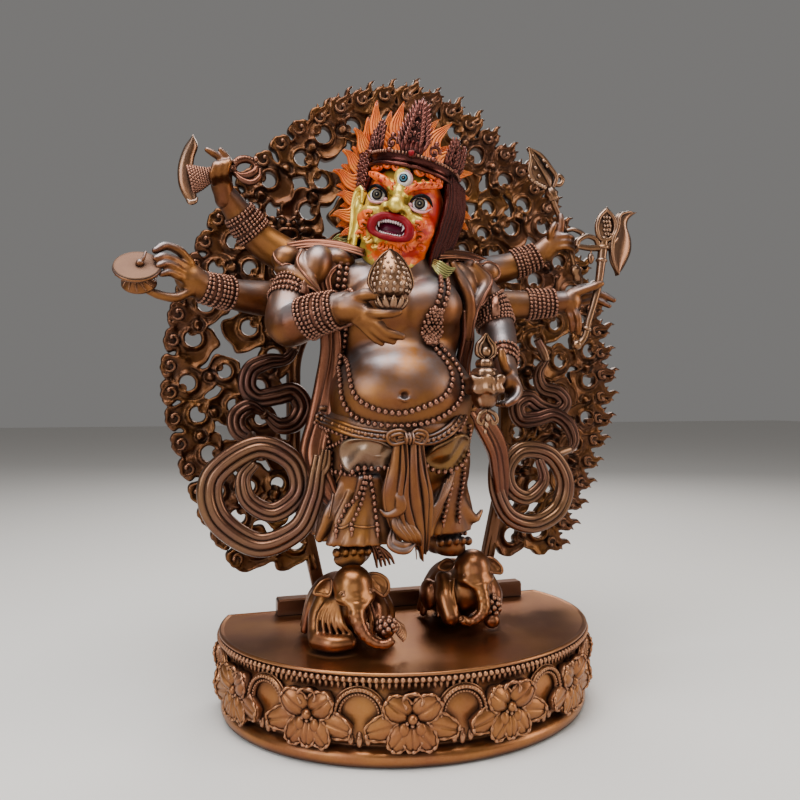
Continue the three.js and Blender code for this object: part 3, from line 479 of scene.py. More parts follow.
def add_studio():
    world = bpy.data.worlds.new("studio")
    world.use_nodes = True
    world.node_tree.nodes["Background"].inputs["Color"].default_value = (0.80, 0.78, 0.76, 1.0)
    world.node_tree.nodes["Background"].inputs["Strength"].default_value = 0.24
    bpy.context.scene.world = world
    aim = (0.0, 0.0, 0.12)
    add_light("top_soft", (-0.10, -0.12, 0.62), aim, (0.50, 0.36), 5.2, (1.0, 0.98, 0.96))
    add_light("left_soft", (-0.62, -0.40, 0.34), aim, (0.30, 0.50), 3.0, (0.93, 0.97, 1.0))
    add_light("right_soft", (0.60, -0.32, 0.26), aim, (0.22, 0.42), 2.0, (1.0, 0.94, 0.86))
    add_light("front_low", (-0.16, -0.75, 0.16), aim, (0.60, 0.24), 0.8, (1.0, 0.97, 0.93))
    add_light("back_rim", (0.25, 0.55, 0.50), aim, (0.40, 0.25), 2.0, (1.0, 0.96, 0.92))


def add_floor():
    material = bpy.data.materials.new("floor")
    material.use_nodes = True
    shader = material.node_tree.nodes["Principled BSDF"]
    shader.inputs["Base Color"].default_value = (0.78, 0.76, 0.73, 1.0)
    shader.inputs["Roughness"].default_value = 0.75
    mesh = bpy.data.meshes.new("floor")
    half = 3.0
    mesh.from_pydata([(-half, -half, 0), (half, -half, 0), (half, half, 0), (-half, half, 0)], [],
                     [(0, 1, 2, 3)])
    mesh.materials.append(material)
    floor = bpy.data.objects.new("floor", mesh)
    bpy.context.scene.collection.objects.link(floor)


add_camera()
add_studio()
add_floor()


# Finishes

class Finish:
    """A new material and short makers for the nodes that it is built from"""

    def __init__(self, name):
        self.material = bpy.data.materials.new(name)
        self.material.use_nodes = True
        self.tree = self.material.node_tree
        self.shader = self.tree.nodes["Principled BSDF"]
        self.place = self.make("ShaderNodeTexCoord").outputs["Object"]

    def put(self, socket, value):
        """Links a node's output to a socket, or sets the socket's own value or colour"""
        if isinstance(value, bpy.types.NodeSocket):
            self.tree.links.new(value, socket)
        else:
            socket.default_value = (*value, 1.0) if isinstance(value, tuple) else value

    def make(self, kind, values=None, **settings):
        node = self.tree.nodes.new(kind)
        for key, value in settings.items():
            setattr(node, key, value)
        for key, value in (values or {}).items():
            self.put(node.inputs[key], value)
        return node

    def mix(self, share, first, second):
        node = self.make("ShaderNodeMix", data_type="RGBA", blend_type="MIX")
        for number, value in ((0, share), (6, first), (7, second)):
            self.put(node.inputs[number], value)
        return node.outputs[2]

    def mapped(self, value, low, high, out_low=0.0, out_high=1.0):
        node = self.make("ShaderNodeMapRange", {0: value, 1: low, 2: high, 3: out_low, 4: out_high})
        return node.outputs[0]

    def maths(self, operation, first, second):
        return self.make("ShaderNodeMath", {0: first, 1: second}, operation=operation).outputs[0]

    def noise(self, scale, detail, rough=0.5):
        values = {"Vector": self.place, "Scale": scale, "Detail": detail, "Roughness": rough}
        return self.make("ShaderNodeTexNoise", values).outputs["Fac"]

    def hollow(self, reach):
        """0 deep in a hollow and 1 in the open; reach in millimetres"""
        return self.make("ShaderNodeAmbientOcclusion", {"Distance": reach * MM}, samples=6).outputs["AO"]

    def bump(self, strength, distance, height):
        node = self.make("ShaderNodeBump", {"Strength": strength, "Distance": distance, "Height": height})
        self.put(self.shader.inputs["Normal"], node.outputs["Normal"])

    def set(self, **values):
        """Values or links of the shader's own inputs, with _ for a space in their names"""
        for key, value in values.items():
            self.put(self.shader.inputs[key.replace("_", " ")], value)


def metal(name, grime_and_shade, body, bright, *, rough, warm=None, painted_sheen=None, grain=0.35, reach=2.6, coat=0.25):
    """Cast copper alloy: grime and painted shade in the hollows, painted shade on faces that turn down,
    rubbed metal on the edges, warm patina in patches and a cool painted sheen on faces that turn up.
    The colours are the grime and shade, the body, the bright rubbed metal, the warm patina and the cool
    sheen; reach is how far a hollow darkens, in millimetres."""
    look = Finish(name)
    mix, mapped, maths = look.mix, look.mapped, look.maths
    patches = look.noise(55.0, 5.0, 0.6)
    speckle = look.noise(1300.0, 4.0, 0.65)
    open_air = mapped(look.hollow(reach), 0.3, 0.95)
    geometry = look.make("ShaderNodeNewGeometry")
    edge = mapped(geometry.outputs["Pointiness"], 0.54, 0.66)
    up = look.make("ShaderNodeSeparateXYZ", {0: geometry.outputs["Normal"]}).outputs[2]
    colour = mix(mapped(patches, 0.35, 0.68), body, warm or body)
    # Faces that turn up take a cool tint in patches: a painted sheen of the light from above
    if painted_sheen:
        colour = mix(maths("MULTIPLY", mapped(up, -0.1, 0.9), mapped(patches, 0.66, 0.42)), colour, painted_sheen)
    # Faces that turn down go towards the dark colour: painted shade and a dark painted reflection under
    # things
    colour = mix(mapped(up, -1.0, 0.1, 0.6, 0.0), colour, grime_and_shade)
    colour = mix(maths("MULTIPLY", edge, 0.45), colour, bright)
    colour = mix(mapped(speckle, 0.35, 0.75, 0.0, 0.08), colour, bright)
    shader_rough = maths("ADD", mapped(speckle, 0.2, 0.8, rough - 0.04, rough + 0.05),
                         mapped(open_air, 0.0, 1.0, 0.3, 0.0))
    # The base colour goes dark in hollows and between parts: partly grime, partly painted shade
    look.set(Base_Color=mix(open_air, grime_and_shade, colour), Roughness=shader_rough,
             Metallic=mapped(open_air, 0.0, 1.0, 0.5, 1.0), Coat_Weight=coat, Coat_Roughness=0.16)
    look.bump(grain, 0.00006, speckle)
    return look.material


def paint(name, body, deep, pale, rough):
    """Cold paint on metal: deep in the hollows as painted shade, pale in patches"""
    look = Finish(name)
    fine = look.noise(1500.0, 3.0)
    colour = look.mix(look.mapped(look.noise(260.0, 5.0, 0.6), 0.35, 0.7), body, pale)
    # The deep colour in the hollows is painted shade
    look.set(Base_Color=look.mix(look.mapped(look.hollow(2.0), 0.2, 0.85), deep, colour),
             Roughness=look.mapped(fine, 0.2, 0.8, rough - 0.08, rough + 0.1))
    look.bump(0.3, 0.00006, fine)
    return look.material


# Dark colour for hollows and for faces that turn down: grime and painted shade
GRIME_AND_SHADE = (0.016, 0.0038, 0.0024)
COPPER_PLATE = metal("copper_plate", (0.034, 0.010, 0.005), (0.27, 0.098, 0.040), (0.70, 0.38, 0.24),
                     warm=(0.36, 0.150, 0.042), rough=0.35, coat=0.06)
AUREOLE_METAL = metal("aureole_bronze", (0.012, 0.0038, 0.0024), (0.082, 0.030, 0.014),
                      (0.40, 0.20, 0.13), warm=(0.125, 0.049, 0.011), rough=0.36, coat=0.06)
# The cool colours of the body, panel and staff bronzes are a painted sheen on faces that turn up
BODY_METAL = metal("body_bronze", GRIME_AND_SHADE, (0.165, 0.056, 0.026), (0.46, 0.22, 0.12),
                   warm=(0.29, 0.118, 0.030), painted_sheen=(0.25, 0.26, 0.28), rough=0.42, grain=0.08, coat=0.03)
ORNAMENT_METAL = metal("ornament_bronze", GRIME_AND_SHADE, (0.125, 0.040, 0.024), (0.56, 0.28, 0.19),
                       warm=(0.18, 0.066, 0.030), rough=0.32, reach=1.6, coat=0.08)
SCARF_METAL = metal("scarf_bronze", (0.013, 0.0038, 0.0034), (0.120, 0.048, 0.034), (0.46, 0.28, 0.19),
                    warm=(0.19, 0.095, 0.042), rough=0.32, reach=2.6, grain=0.15, coat=0.08)
SERPENT_METAL = metal("serpent_bronze", (0.010, 0.003, 0.003), (0.070, 0.026, 0.020), (0.36, 0.21, 0.15),
                      warm=(0.105, 0.045, 0.024), rough=0.33, reach=2.6, grain=0.15, coat=0.06)
BEAST_METAL = metal("elephant_bronze", (0.022, 0.006, 0.005), (0.20, 0.070, 0.041), (0.58, 0.32, 0.22),
                    warm=(0.30, 0.125, 0.036), rough=0.34, grain=0.1, coat=0.06)
# Paler and cooler than the body bronze, for the right skirt panel: a painted highlight
PANEL_HIGHLIGHT_METAL = metal("panel_highlight_bronze", GRIME_AND_SHADE, (0.22, 0.115, 0.070), (0.58, 0.44, 0.34),
                    warm=(0.30, 0.19, 0.10), painted_sheen=(0.36, 0.39, 0.41), rough=0.34, grain=0.05, coat=0.1)
GOLD_METAL = metal("gold_bronze", GRIME_AND_SHADE, (0.20, 0.090, 0.034), (0.50, 0.32, 0.17),
                   warm=(0.24, 0.120, 0.036), rough=0.34, grain=0.05, coat=0.05)
SKIN_METAL = metal("drum_skin", GRIME_AND_SHADE, (0.17, 0.095, 0.066), (0.42, 0.28, 0.20),
                   warm=(0.21, 0.120, 0.075), rough=0.62, grain=0.1, coat=0.0)
STAFF_METAL = metal("staff_bronze", GRIME_AND_SHADE, (0.20, 0.085, 0.044), (0.62, 0.38, 0.25),
                    warm=(0.28, 0.14, 0.06), painted_sheen=(0.28, 0.26, 0.24), rough=0.3, coat=0.1)
JEWEL_METAL = metal("jewel_bronze", (0.040, 0.012, 0.007), (0.26, 0.135, 0.080), (0.68, 0.48, 0.36),
                    warm=(0.31, 0.15, 0.06), rough=0.28, reach=1.4, coat=0.1)


# Plinth

ARC_DEPTH = PLINTH_DEPTH * 58.5 / 79.0
BACK_Y = PLINTH_DEPTH / 2
ARC_Y = ARC_DEPTH - PLINTH_DEPTH / 2
ARC_START = math.asin((BACK_Y - ARC_Y) / ARC_DEPTH)
BEAD_COUNT = 122
BEAD_RADIUS = 0.92
BEAD_LEVEL = PLINTH_HEIGHT - 2.15
BEAD_INSET = 0.6
WALL_INSET = 2.0
MOTIF_COUNT = 15
LOTUS_LEVEL = 15.6
ARCH_LEVEL = 16.4
ARCH_RADIUS = 7.3


def arc_points(shares, inset, z=0.0):
    """Points on the plinth's front arc, from one back corner to the other"""
    turn = -ARC_START + np.asarray(shares, float) * (math.pi + 2 * ARC_START)
    x = -(PLINTH_WIDTH / 2 - inset) * np.cos(turn)
    y = ARC_Y - (ARC_DEPTH - inset) * np.sin(turn)
    return np.stack([x, np.minimum(y, BACK_Y - inset * 0.5), np.broadcast_to(z, turn.shape)], -1)


def arc_places(count, inset):
    """Evenly spaced places on the arc: their points and the outward and sideways directions"""
    fine = arc_points(np.linspace(0, 1, 1200), inset)
    length = run_of(fine)
    places = (np.arange(count) + 0.5) * length[-1] / count
    points = along(fine, length, places)
    side = along(fine, length, places + 0.3) - points
    side /= np.linalg.norm(side, axis=1)[:, None]
    return points, np.cross(side, UP), side


def plinth_body(batch):
    foot = [(2.9, 0.0), (1.6, 0.7), (1.0, 2.0), (0.9, 3.2), (1.3, 4.3), (2.2, 5.1), (3.6, 5.5), (4.6, 5.6),
            (4.8, 6.2)]
    wall = [(3.6, 6.8), (2.6, 7.6), (2.3, 9.0), (2.3, 14.0), (2.4, 21.0), (2.9, 22.0), (3.0, 25.3),
            (1.9, 25.6)]
    rim = [(1.7, 26.0), (1.5, 27.6), (0.9, 27.8), (0.4, 28.1), (0.4, 28.6), (0.7, 28.95), (1.4, 29.0),
           (1.6, 28.8), (2.3, 28.72), (12.0, 28.72), (30.0, 28.72)]
    shares = np.linspace(0, 1, 240)
    rows = []
    for inset, z in foot + wall + rim:
        arc = arc_points(shares, inset, z * PLINTH_HEIGHT / 29.0)
        back = np.linspace(arc[-1], arc[0], 42)[1:-1]
        rows.append(np.vstack([arc, back]))
    add_skin(batch, rows)


def fan_petal(batch, root, out, side, length, lift):
    """The upright, fan-shaped petal on top of a blossom, with a dished face and a thick ruffled lip"""
    ruffles = 4
    v = np.linspace(0, 1, 8)[:, None]
    u = np.linspace(-1, 1, 9)[None, :]
    angle = np.radians(30 * u)
    reach = 0.9 + v * (length * (1 - 0.2 * np.abs(u) ** 3) - 0.9)
    heading = np.sin(angle)[..., None] * side + np.cos(angle)[..., None] * UP
    cup = 0.8 * lift * (1 - u ** 2) * np.sin(math.pi * v)
    height = 0.9 + lift * v ** 0.8 - cup - 0.25 * lift * ramp(v, 0.85, 1.0)
    front = root + reach[..., None] * heading + height[..., None] * out
    back = root + (reach * 0.96)[..., None] * heading - 0.8 * out
    add_skin(batch, np.concatenate([front, back[:, ::-1]], 1))
    edge = np.vstack([front[3:-1, 0], front[-1], front[3:-1, -1][::-1]]) + 0.2 * out
    steps = 8 * ruffles
    waves = 0.5 * (1 + 0.4 * np.sin(np.linspace(0, ruffles * 2 * math.pi, steps)))
    waves[0] = waves[-1] = 0.1
    add_tube(batch, edge, waves, sides=5, steps=steps, flat=1.2, face=out)


def arch_motif(batch, point, out, side):
    """Round arch of two beaded rims round a plain hollow; its feet go behind the petals"""
    turn = np.linspace(0, math.pi, 26)
    for reach, size, lift in ((ARCH_RADIUS, 0.66, 1.1), (ARCH_RADIUS - 1.35, 0.55, 0.55)):
        bow = reach * (np.cos(turn)[:, None] * side + np.sin(turn)[:, None] * UP)
        path = point + np.vstack([bow[0] - vec(0, 0, 5), bow, bow[-1] - vec(0, 0, 5)])
        add_tube(batch, path + (lift - 0.2) * out, [size * 1.15], sides=6, steps=44, flat=1.3, face=out)
        add_beads(batch, smooth_path(path, 60)[8:52] + (lift + 0.45) * out, size * 0.82, gap=1.0)
    rim = point + (ARCH_RADIUS + 0.75) * (np.cos(turn)[:, None] * side + np.sin(turn)[:, None] * UP)
    add_tube(batch, rim + 0.35 * out, [0.4], sides=5, steps=26, face=out)


def round_petal(batch, root, out, side, lean, length, half, lift, open_to=0.0):
    """A swelling petal with a midrib and a waved lip, which leans lean degrees from upright; open_to moves
    its swell to one side"""
    angle = math.radians(lean)
    way = math.sin(angle) * side + math.cos(angle) * UP
    across = np.cross(out, way)
    v = np.linspace(0, 1, 14)[:, None]
    u = np.linspace(-1, 1, 17)[None, :]
    wide = half * np.sin(math.pi * (0.10 + 0.78 * v) ** 0.85) ** 0.75
    swell = 0.75 * lift * (1 - np.abs(u) ** 2.4) * np.sin(math.pi * (0.12 + 0.80 * v)) * (1 - open_to * u)
    height = 0.4 + lift * (0.25 + 0.45 * v) + swell - 0.3 * lift * np.exp(-(u / 0.10) ** 2)
    reach, sideways = (length - 1.2) * v, wide * u
    front = root + (1.2 + reach)[..., None] * way + sideways[..., None] * across + height[..., None] * out
    back = root + (1.2 + reach * 0.98)[..., None] * way + (0.92 * wide * u)[..., None] * across - 0.9 * out
    add_skin(batch, np.concatenate([front, back[:, ::-1]], 1))
    edge = np.vstack([front[2:-1, 0], front[-1, 1:-1], front[2:-1, -1][::-1]]) + 0.15 * out
    steps = 64
    waves = 0.44 * (1 + 0.35 * np.sin(np.linspace(0, 16 * math.pi, steps)))
    waves[0] = waves[-1] = 0.12
    add_tube(batch, edge, waves, sides=6, steps=steps, flat=1.1, face=out)


def lotus_motif(batch, point, out, side):
    """Lotus blossom: fan on top, rounded petals to both sides and down, boss and drops in the middle"""
    frame_axes = np.stack([side, out, UP])
    for sign in (-1, 1):
        round_petal(batch, point + vec(0, 0, -0.6), out, side, sign * 104, 14.2, 4.0, 1.5)
        round_petal(batch, point + vec(0, 0, -1.0) + 0.5 * out, out, side, sign * 142, 10.0, 3.6, 1.6)
    round_petal(batch, point + vec(0, 0, -1.2) + 0.9 * out, out, side, 180, 8.2, 3.0, 1.5)
    add_ball(batch, point + vec(0, 0, -7.4) + 1.6 * out, vec(1.5, 1.1, 2.4), frame_axes, FINE_BALL)
    fan_petal(batch, point + 0.3 * out, out, side, 7.6, 1.6)
    for sign in (-1, 1):
        round_petal(batch, point + 0.7 * out, out, side, sign * 54, 9.6, 4.1, 2.1, 0.35 * sign)
        add_ball(batch, point + 4.2 * sign * side + vec(0, 0, 2.9) + 1.0 * out, vec(1.5, 1.3, 2.9),
                 np.stack([unit(0.6 * side - 0.8 * sign * UP), out, unit(0.8 * sign * side + 0.6 * UP)]),
                 FINE_BALL)
        add_ball(batch, point + 2.5 * sign * side + vec(0, 0, -3.2) + 1.9 * out, vec(1.7, 1.2, 2.2),
                 frame_axes, FINE_BALL)
        add_ball(batch, point + 5.0 * sign * side + vec(0, 0, -4.6) + 1.4 * out, vec(1.2, 1.0, 1.7),
                 frame_axes, FINE_BALL)
    add_ball(batch, point + 2.3 * out, 1.55, shape=FINE_BALL)
    for turn in (-0.9, 0, 0.9):
        add_ball(batch, point + 2.1 * out + 2.0 * (math.sin(turn) * side - math.cos(turn) * UP), 0.75)


def leaf_drop(batch, point, out, side, tall):
    """Pointed leaf of the lowest row"""
    frame_axes = np.stack([side, out, UP])
    add_ball(batch, point, vec(1.2, 1.0, tall), frame_axes)
    add_ball(batch, point + 0.8 * out + vec(0, 0, 0.3 * tall), 0.55)


def build_plinth():
    body = Batch()
    plinth_body(body)
    top = body.piece("plinth_body", COPPER_PLATE, "plinth_copper")
    relief = Batch()
    points, out, side = arc_places(BEAD_COUNT, BEAD_INSET)
    for k in range(BEAD_COUNT):
        bead = points[k] + vec(0, 0, BEAD_LEVEL)
        add_ball(relief, bead, BEAD_RADIUS)
        fringe = points[k] - 1.5 * out[k] + vec(0, 0, BEAD_LEVEL - 2.0)
        add_ball(relief, fringe, vec(0.62, 0.55, 1.5), np.stack([side[k], out[k], UP]))
    points, out, side = arc_places(MOTIF_COUNT, WALL_INSET + 0.35)
    for k in range(MOTIF_COUNT):
        if k % 2:
            arch_motif(relief, points[k] + vec(0, 0, ARCH_LEVEL), out[k], side[k])
            for shift, tall in ((-2.6, 1.9), (0.0, 2.6), (2.6, 1.9)):
                leaf_drop(relief, points[k] + shift * side[k] + vec(0, 0, 8.6), out[k], side[k], tall)
        else:
            lotus_motif(relief, points[k] + vec(0, 0, LOTUS_LEVEL), out[k], side[k])
    for block in relief.points:
        block[:, 1] = np.minimum(block[:, 1], BACK_Y)
    carved = thin(relief.piece("plinth_relief", COPPER_PLATE, "plinth_copper"), RELIEF_THINNED)
    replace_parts(top, "plinth")
    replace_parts(carved, "plinth")


# Aureole: clouds with curled holes, plain band round the opening, flames along the outer edge

AUREOLE_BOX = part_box("aureole")
AUREOLE_TOP = AUREOLE_BOX[1][2] / MM
AUREOLE_MID = vec(4.0, 118.0)
AUREOLE_HALF = vec(95.0, AUREOLE_TOP - 118.0)
EGG_POWER = 1.75
PLATE_Y = 34.5
PLATE_THICK = 2.6
PLATE_STEP = 0.46
FLAME_WINDOW = vec(-17, 17)
PLATE_DEEP_STEP = 0.45
PLATE_LOW = vec(-97.0, PLATE_Y - 5.0, 42.0)
OPENING_HALF = 41.0
OPENING_TOP = 152.0
OPENING_KNEE = 82.0
BAND_WIDTH = 5.0
CLOUD_SPACING = 13.0
FLAME_SPACING = 9.0

# The edge flames are lively from this turn on, and rounded before it
LIVELY_FROM = -0.45


def egg_point(turn, grow):
    """Point of the aureole's outline at a turn from its top, clockwise seen from the front"""
    s, c = np.sin(turn), np.cos(turn)
    size = (np.abs(s) ** EGG_POWER + np.abs(c) ** EGG_POWER) ** (-1 / EGG_POWER)
    return AUREOLE_MID + np.stack([s * size, c * size], -1) * AUREOLE_HALF * grow


def egg_share(p):
    """How far out a point lies: 1 on the outline"""
    q = np.abs((p - AUREOLE_MID) / AUREOLE_HALF)
    return (q[..., 0] ** EGG_POWER + q[..., 1] ** EGG_POWER) ** (1 / EGG_POWER)


def opening_distance(p):
    """Rough distance from the opening's edge, positive on the plate"""
    x, z = np.abs(p[..., 0] - AUREOLE_MID[0]), p[..., 1]
    arched = OPENING_TOP - OPENING_HALF * 0.8
    leg = OPENING_HALF * (0.72 + 0.28 * np.clip((z - PLINTH_HEIGHT) / (OPENING_KNEE - PLINTH_HEIGHT), 0, 1))
    round_part = np.hypot(x, (z - arched) / 0.8) - OPENING_HALF
    return np.where(z > arched, round_part, x - leg)


def cloud_places():
    """Centres of the clouds: a row along the outline, the rest filled in"""
    turns = np.linspace(-2.3, 2.3, 400)
    line = egg_point(turns, 0.85)
    length = run_of(line)
    places = along(line, length, np.linspace(0, length[-1], int(length[-1] / CLOUD_SPACING)))
    trial = rng.uniform((-95, 44), (103, 236), (30000, 2))
    share, off = egg_share(trial), opening_distance(trial)
    trial = trial[(share < 0.85) & (off > BAND_WIDTH + 3.0) & (trial[:, 1] > 50)]
    while True:
        nearest = np.min(np.linalg.norm(trial[:, None] - places[None], axis=2), axis=1)
        best = np.argmax(nearest)
        if nearest[best] < CLOUD_SPACING * 0.8:
            break
        chosen = trial[np.argmin(np.abs(nearest - CLOUD_SPACING * 1.02))]
        places = np.vstack([places, trial[best] if nearest[best] < CLOUD_SPACING * 1.1 else chosen])
    return places


def cloud_sizes(places):
    apart = np.linalg.norm(places[:, None] - places[None], axis=2)
    np.fill_diagonal(apart, 99)
    near = np.sort(apart, axis=1)[:, :3]
    return np.clip(near.mean(axis=1) * 0.56, 6.4, 8.8)


def rod_distance(x, z, points, radii):
    """Distance in the plane from a chain of tapering rods"""
    line = flat_path(points, 12)
    radius = spread(radii, 12)
    best = np.full(np.broadcast(x, z).shape, 99.0)
    for a, b, ra, rb in zip(line[:-1], line[1:], radius[:-1], radius[1:]):
        way = b - a
        share = np.clip(((x - a[0]) * way[0] + (z - a[1]) * way[1]) / (way @ way), 0, 1)
        off = np.hypot(x - a[0] - share * way[0], z - a[1] - share * way[1]) - (ra + (rb - ra) * share)
        best = np.minimum(best, off)
    return best


def melt(one, two, soft):
    """Smooth union of two distances"""
    h = np.clip(0.5 + 0.5 * (one - two) / soft, 0, 1)
    return one + (two - one) * h - soft * h * (1 - h)


def flame_tongues(root, out, lively, size):
    """Chains of rods that draw one edge flame, or one rounded lobe with a hook, from its root"""
    side = vec(out[1], -out[0])
    if lively:
        lean = unit(0.75 * out + vec(0.45, 0.5))
        tilt = vec(lean[1], -lean[0])

        def at(u, v):
            return root + size * (u * tilt + v * lean)
        return [([at(-1.2, -2.4), at(-2.0, 1.0), at(-0.4, 4.0), at(1.2, 6.4), at(0.6, 9.0), at(2.2, 11.6)],
                 [2.4, 2.2, 1.9, 1.35, 0.95, 0.15]),
                ([at(1.6, -2.0), at(2.6, 1.6), at(3.8, 4.2), at(3.2, 6.0), at(4.6, 7.8)],
                 [2.2, 1.9, 1.2, 0.8, 0.15]),
                ([at(-2.4, -1.0), at(-4.2, 1.2), at(-4.0, 3.6), at(-2.4, 5.2), at(-3.0, 7.2)],
                 [1.8, 1.4, 1.1, 0.7, 0.15])]

    def at(u, v):
        return root + size * (u * side + v * out)
    return [([at(0, -2), at(0.4, 1.8), at(-0.8, 3.8)], [3.6, 3.2, 2.0]),
            ([at(2.2, 1.0), at(3.6, 3.2), at(2.2, 4.8), at(0.6, 4.2)], [1.3, 1.1, 0.9, 0.5]),
            ([at(-3.0, 1.4), at(-4.2, 3.2), at(-3.0, 4.8)], [1.2, 1.0, 0.4])]


def edge_places():
    """Roots of the edge flames, evenly along the outline, with the way out and whether they are lively"""
    turns = np.linspace(-2.28, 2.30, 600)
    line = egg_point(turns, 0.905)
    length = run_of(line)
    places = []
    for spot in np.linspace(2, length[-1] - 2, int(length[-1] / FLAME_SPACING)):
        root = along(line, length, spot)
        places.append((root, unit(root - AUREOLE_MID), np.interp(spot, length, turns) > LIVELY_FROM))
    return places


def ring_lip(x, z, centre, radius, open_turn):
    """A round raised lip, open towards one side, with a groove outside it"""
    r = np.hypot(x - centre[0], z - centre[1])
    turn = np.arctan2(z - centre[1], x - centre[0]) - open_turn
    closed = 0.30 + 0.70 * ramp(1 - np.cos(turn), 0.15, 0.8)
    return (1.35 * closed * np.exp(-((r - radius) / 0.72) ** 2)
            - 0.45 * np.exp(-((r - radius - 1.75) / 0.6) ** 2))


def cloud_forms(x, z, places, sizes):
    """The clouds' outline as distances, and their heights with a raised seam between neighbours"""
    shape = (x.shape[0], z.shape[1])
    wx = x + 1.1 * np.sin(0.42 * z + 1.3) + 0.7 * np.sin(0.83 * x + 0.3 * z + 2.0)
    wz = z + 1.1 * np.sin(0.40 * x + 0.4) + 0.7 * np.sin(0.79 * z - 0.35 * x)
    solid, height, weight = np.full(shape, 9.0), np.zeros(shape), np.full(shape, 1e-9)
    first, second = np.full(shape, 99.0), np.full(shape, 99.0)
    for (cx, cz), radius in zip(places, sizes):
        r = np.hypot(wx - cx, wz - cz)
        d = r - radius
        solid = melt(solid, d, 1.1)
        level, tip, turn = rng.uniform(0.0, 0.8), rng.uniform(0.03, 0.10), rng.uniform(0, 2 * math.pi)
        tilt = tip * (math.cos(turn) * (x - cx) + math.sin(turn) * (z - cz))
        own = level + 0.5 * np.clip(r / radius, 0, 1.1) ** 3 + tilt
        share = np.exp(-np.clip(d, -9, 9) / 0.35)
        weight, height = weight + share, height + share * own
        second = np.minimum(second, np.maximum(first, d))
        first = np.minimum(first, d)
    height = height / weight
    seam = np.clip(second - first, 0, 9)
    height += 0.65 * np.exp(-(seam / 0.9) ** 2) * (0.55 + 0.45 * np.sin(0.31 * x + 0.27 * z))
    return solid, height


def draw_flames(x, z, solid, height):
    """The edge flames, drawn into the distances and heights near each root"""
    for root, out, lively in edge_places():
        across = (root[0] - PLATE_LOW[0] + FLAME_WINDOW) / PLATE_STEP
        upward = (root[1] - PLATE_LOW[2] + FLAME_WINDOW) / PLATE_STEP
        near = (slice(*np.clip(across.astype(int), 0, x.size)),
                slice(*np.clip(upward.astype(int), 0, z.size)))
        for points, radii in flame_tongues(root, out, lively, rng.uniform(0.82, 1.0)):
            d = rod_distance(x[near[0]], z[:, near[1]], points, radii)
            solid[near] = melt(solid[near], d, 0.7)
            swell = ramp(-d, -0.3, 1.2)
            height[near] = np.where(d < 0.4, np.maximum(height[near], 0.5 + 0.7 * swell), height[near])


def pierce(x, z, solid, height, places, sizes):
    """Holes with a raised lip and a tongue in most clouds, and a rim along the outline"""
    keep = (egg_share(places) < 0.86) | (rng.random(len(places)) < 0.6)
    edge = solid.copy()
    for (cx, cz), radius in zip(places[keep], sizes[keep]):
        turn = rng.uniform(0, 2 * math.pi)
        off = 0.2 * radius * vec(math.cos(turn), math.sin(turn))
        centre = vec(cx, cz) + off
        size = radius * rng.uniform(0.33, 0.38)
        round_hole = np.hypot(x - centre[0], z - centre[1]) - size
        tongue = centre + size * 0.95 * vec(math.cos(turn), math.sin(turn))
        tongue_side = np.hypot(x - tongue[0], z - tongue[1]) - size * 0.62
        solid = np.maximum(solid, -np.maximum(round_hole, -tongue_side))
        height += np.where(edge < 0.5, ring_lip(x, z, centre, size + 0.75, turn), 0)
        height += np.where(edge < 0, 0.9 * np.exp(-(tongue_side / 0.5) ** 2) * (round_hole < 1.0), 0)
    height += 0.75 * np.exp(-((edge + 0.65) / 0.5) ** 2)
    return solid


def raise_knobs(x, z, solid, height, places, sizes):
    """Round knobs with a broken ring round each"""
    for cx, cz in knob_places(places, sizes):
        r = np.hypot(x - cx, z - cz)
        height += 1.9 * np.sqrt(np.clip(1 - (r / 1.75) ** 2, 0, 1)) - 0.5 * np.exp(-((r - 2.2) / 0.4) ** 2)
        broken = ramp(np.sin(np.arctan2(z - cz, x - cx) + cx), -0.2, 0.6)
        height += 0.8 * np.exp(-((r - 3.1) / 0.5) ** 2) * broken
        solid = np.minimum(solid, r - 3.3)
    return solid


def plate_skin(solid, height):
    """Closed skin between the raised front and the nearly flat back, inside the outline"""
    y = PLATE_LOW[1] + PLATE_DEEP_STEP * np.arange(int(8.0 / PLATE_DEEP_STEP))
    front = PLATE_Y - PLATE_THICK / 2 + 0.3 - np.clip(height, -0.2, 3.4)
    back = PLATE_Y + PLATE_THICK / 2 - 0.12 * np.clip(height, 0, 2)
    field = np.maximum(front[:, None, :] - y[None, :, None], y[None, :, None] - back[:, None, :])
    side = solid[:, None, :]
    soft = 0.6
    h = np.clip(0.5 - 0.5 * (field - side) / soft, 0, 1)
    field = field + (side - field) * h + soft * h * (1 - h)
    grid = vdb.FloatGrid(background=FAR)
    grid.copyFromArray(np.ascontiguousarray(np.clip(field, -FAR, FAR).astype(np.float32)))
    points, triangles, quads = grid.convertToPolygons(isovalue=0.0, adaptivity=0.02)
    points = points.astype(float) * vec(PLATE_STEP, PLATE_DEEP_STEP, PLATE_STEP) + PLATE_LOW
    return points, triangles[:, ::-1].tolist() + quads[:, ::-1].tolist()


def cloud_plate(places, sizes):
    """The pierced plate: heights and an outline drawn over the plane, then closed to a skin"""
    x = (PLATE_LOW[0] + PLATE_STEP * np.arange(int(202 / PLATE_STEP)))[:, None]
    z = (PLATE_LOW[2] + PLATE_STEP * np.arange(int(200 / PLATE_STEP)))[None, :]
    solid, height = cloud_forms(x, z, places, sizes)
    opening = opening_distance(np.stack(np.broadcast_arrays(x, z), -1))
    solid = np.minimum(solid, np.abs(opening - BAND_WIDTH * 0.6) - BAND_WIDTH * 0.35)
    draw_flames(x, z, solid, height)
    solid = pierce(x, z, solid, height, places, sizes)
    solid = raise_knobs(x, z, solid, height, places, sizes)
    solid = np.maximum(solid, BAND_WIDTH * 0.3 - opening)
    return plate_skin(np.maximum(solid, 45.0 - z), height)


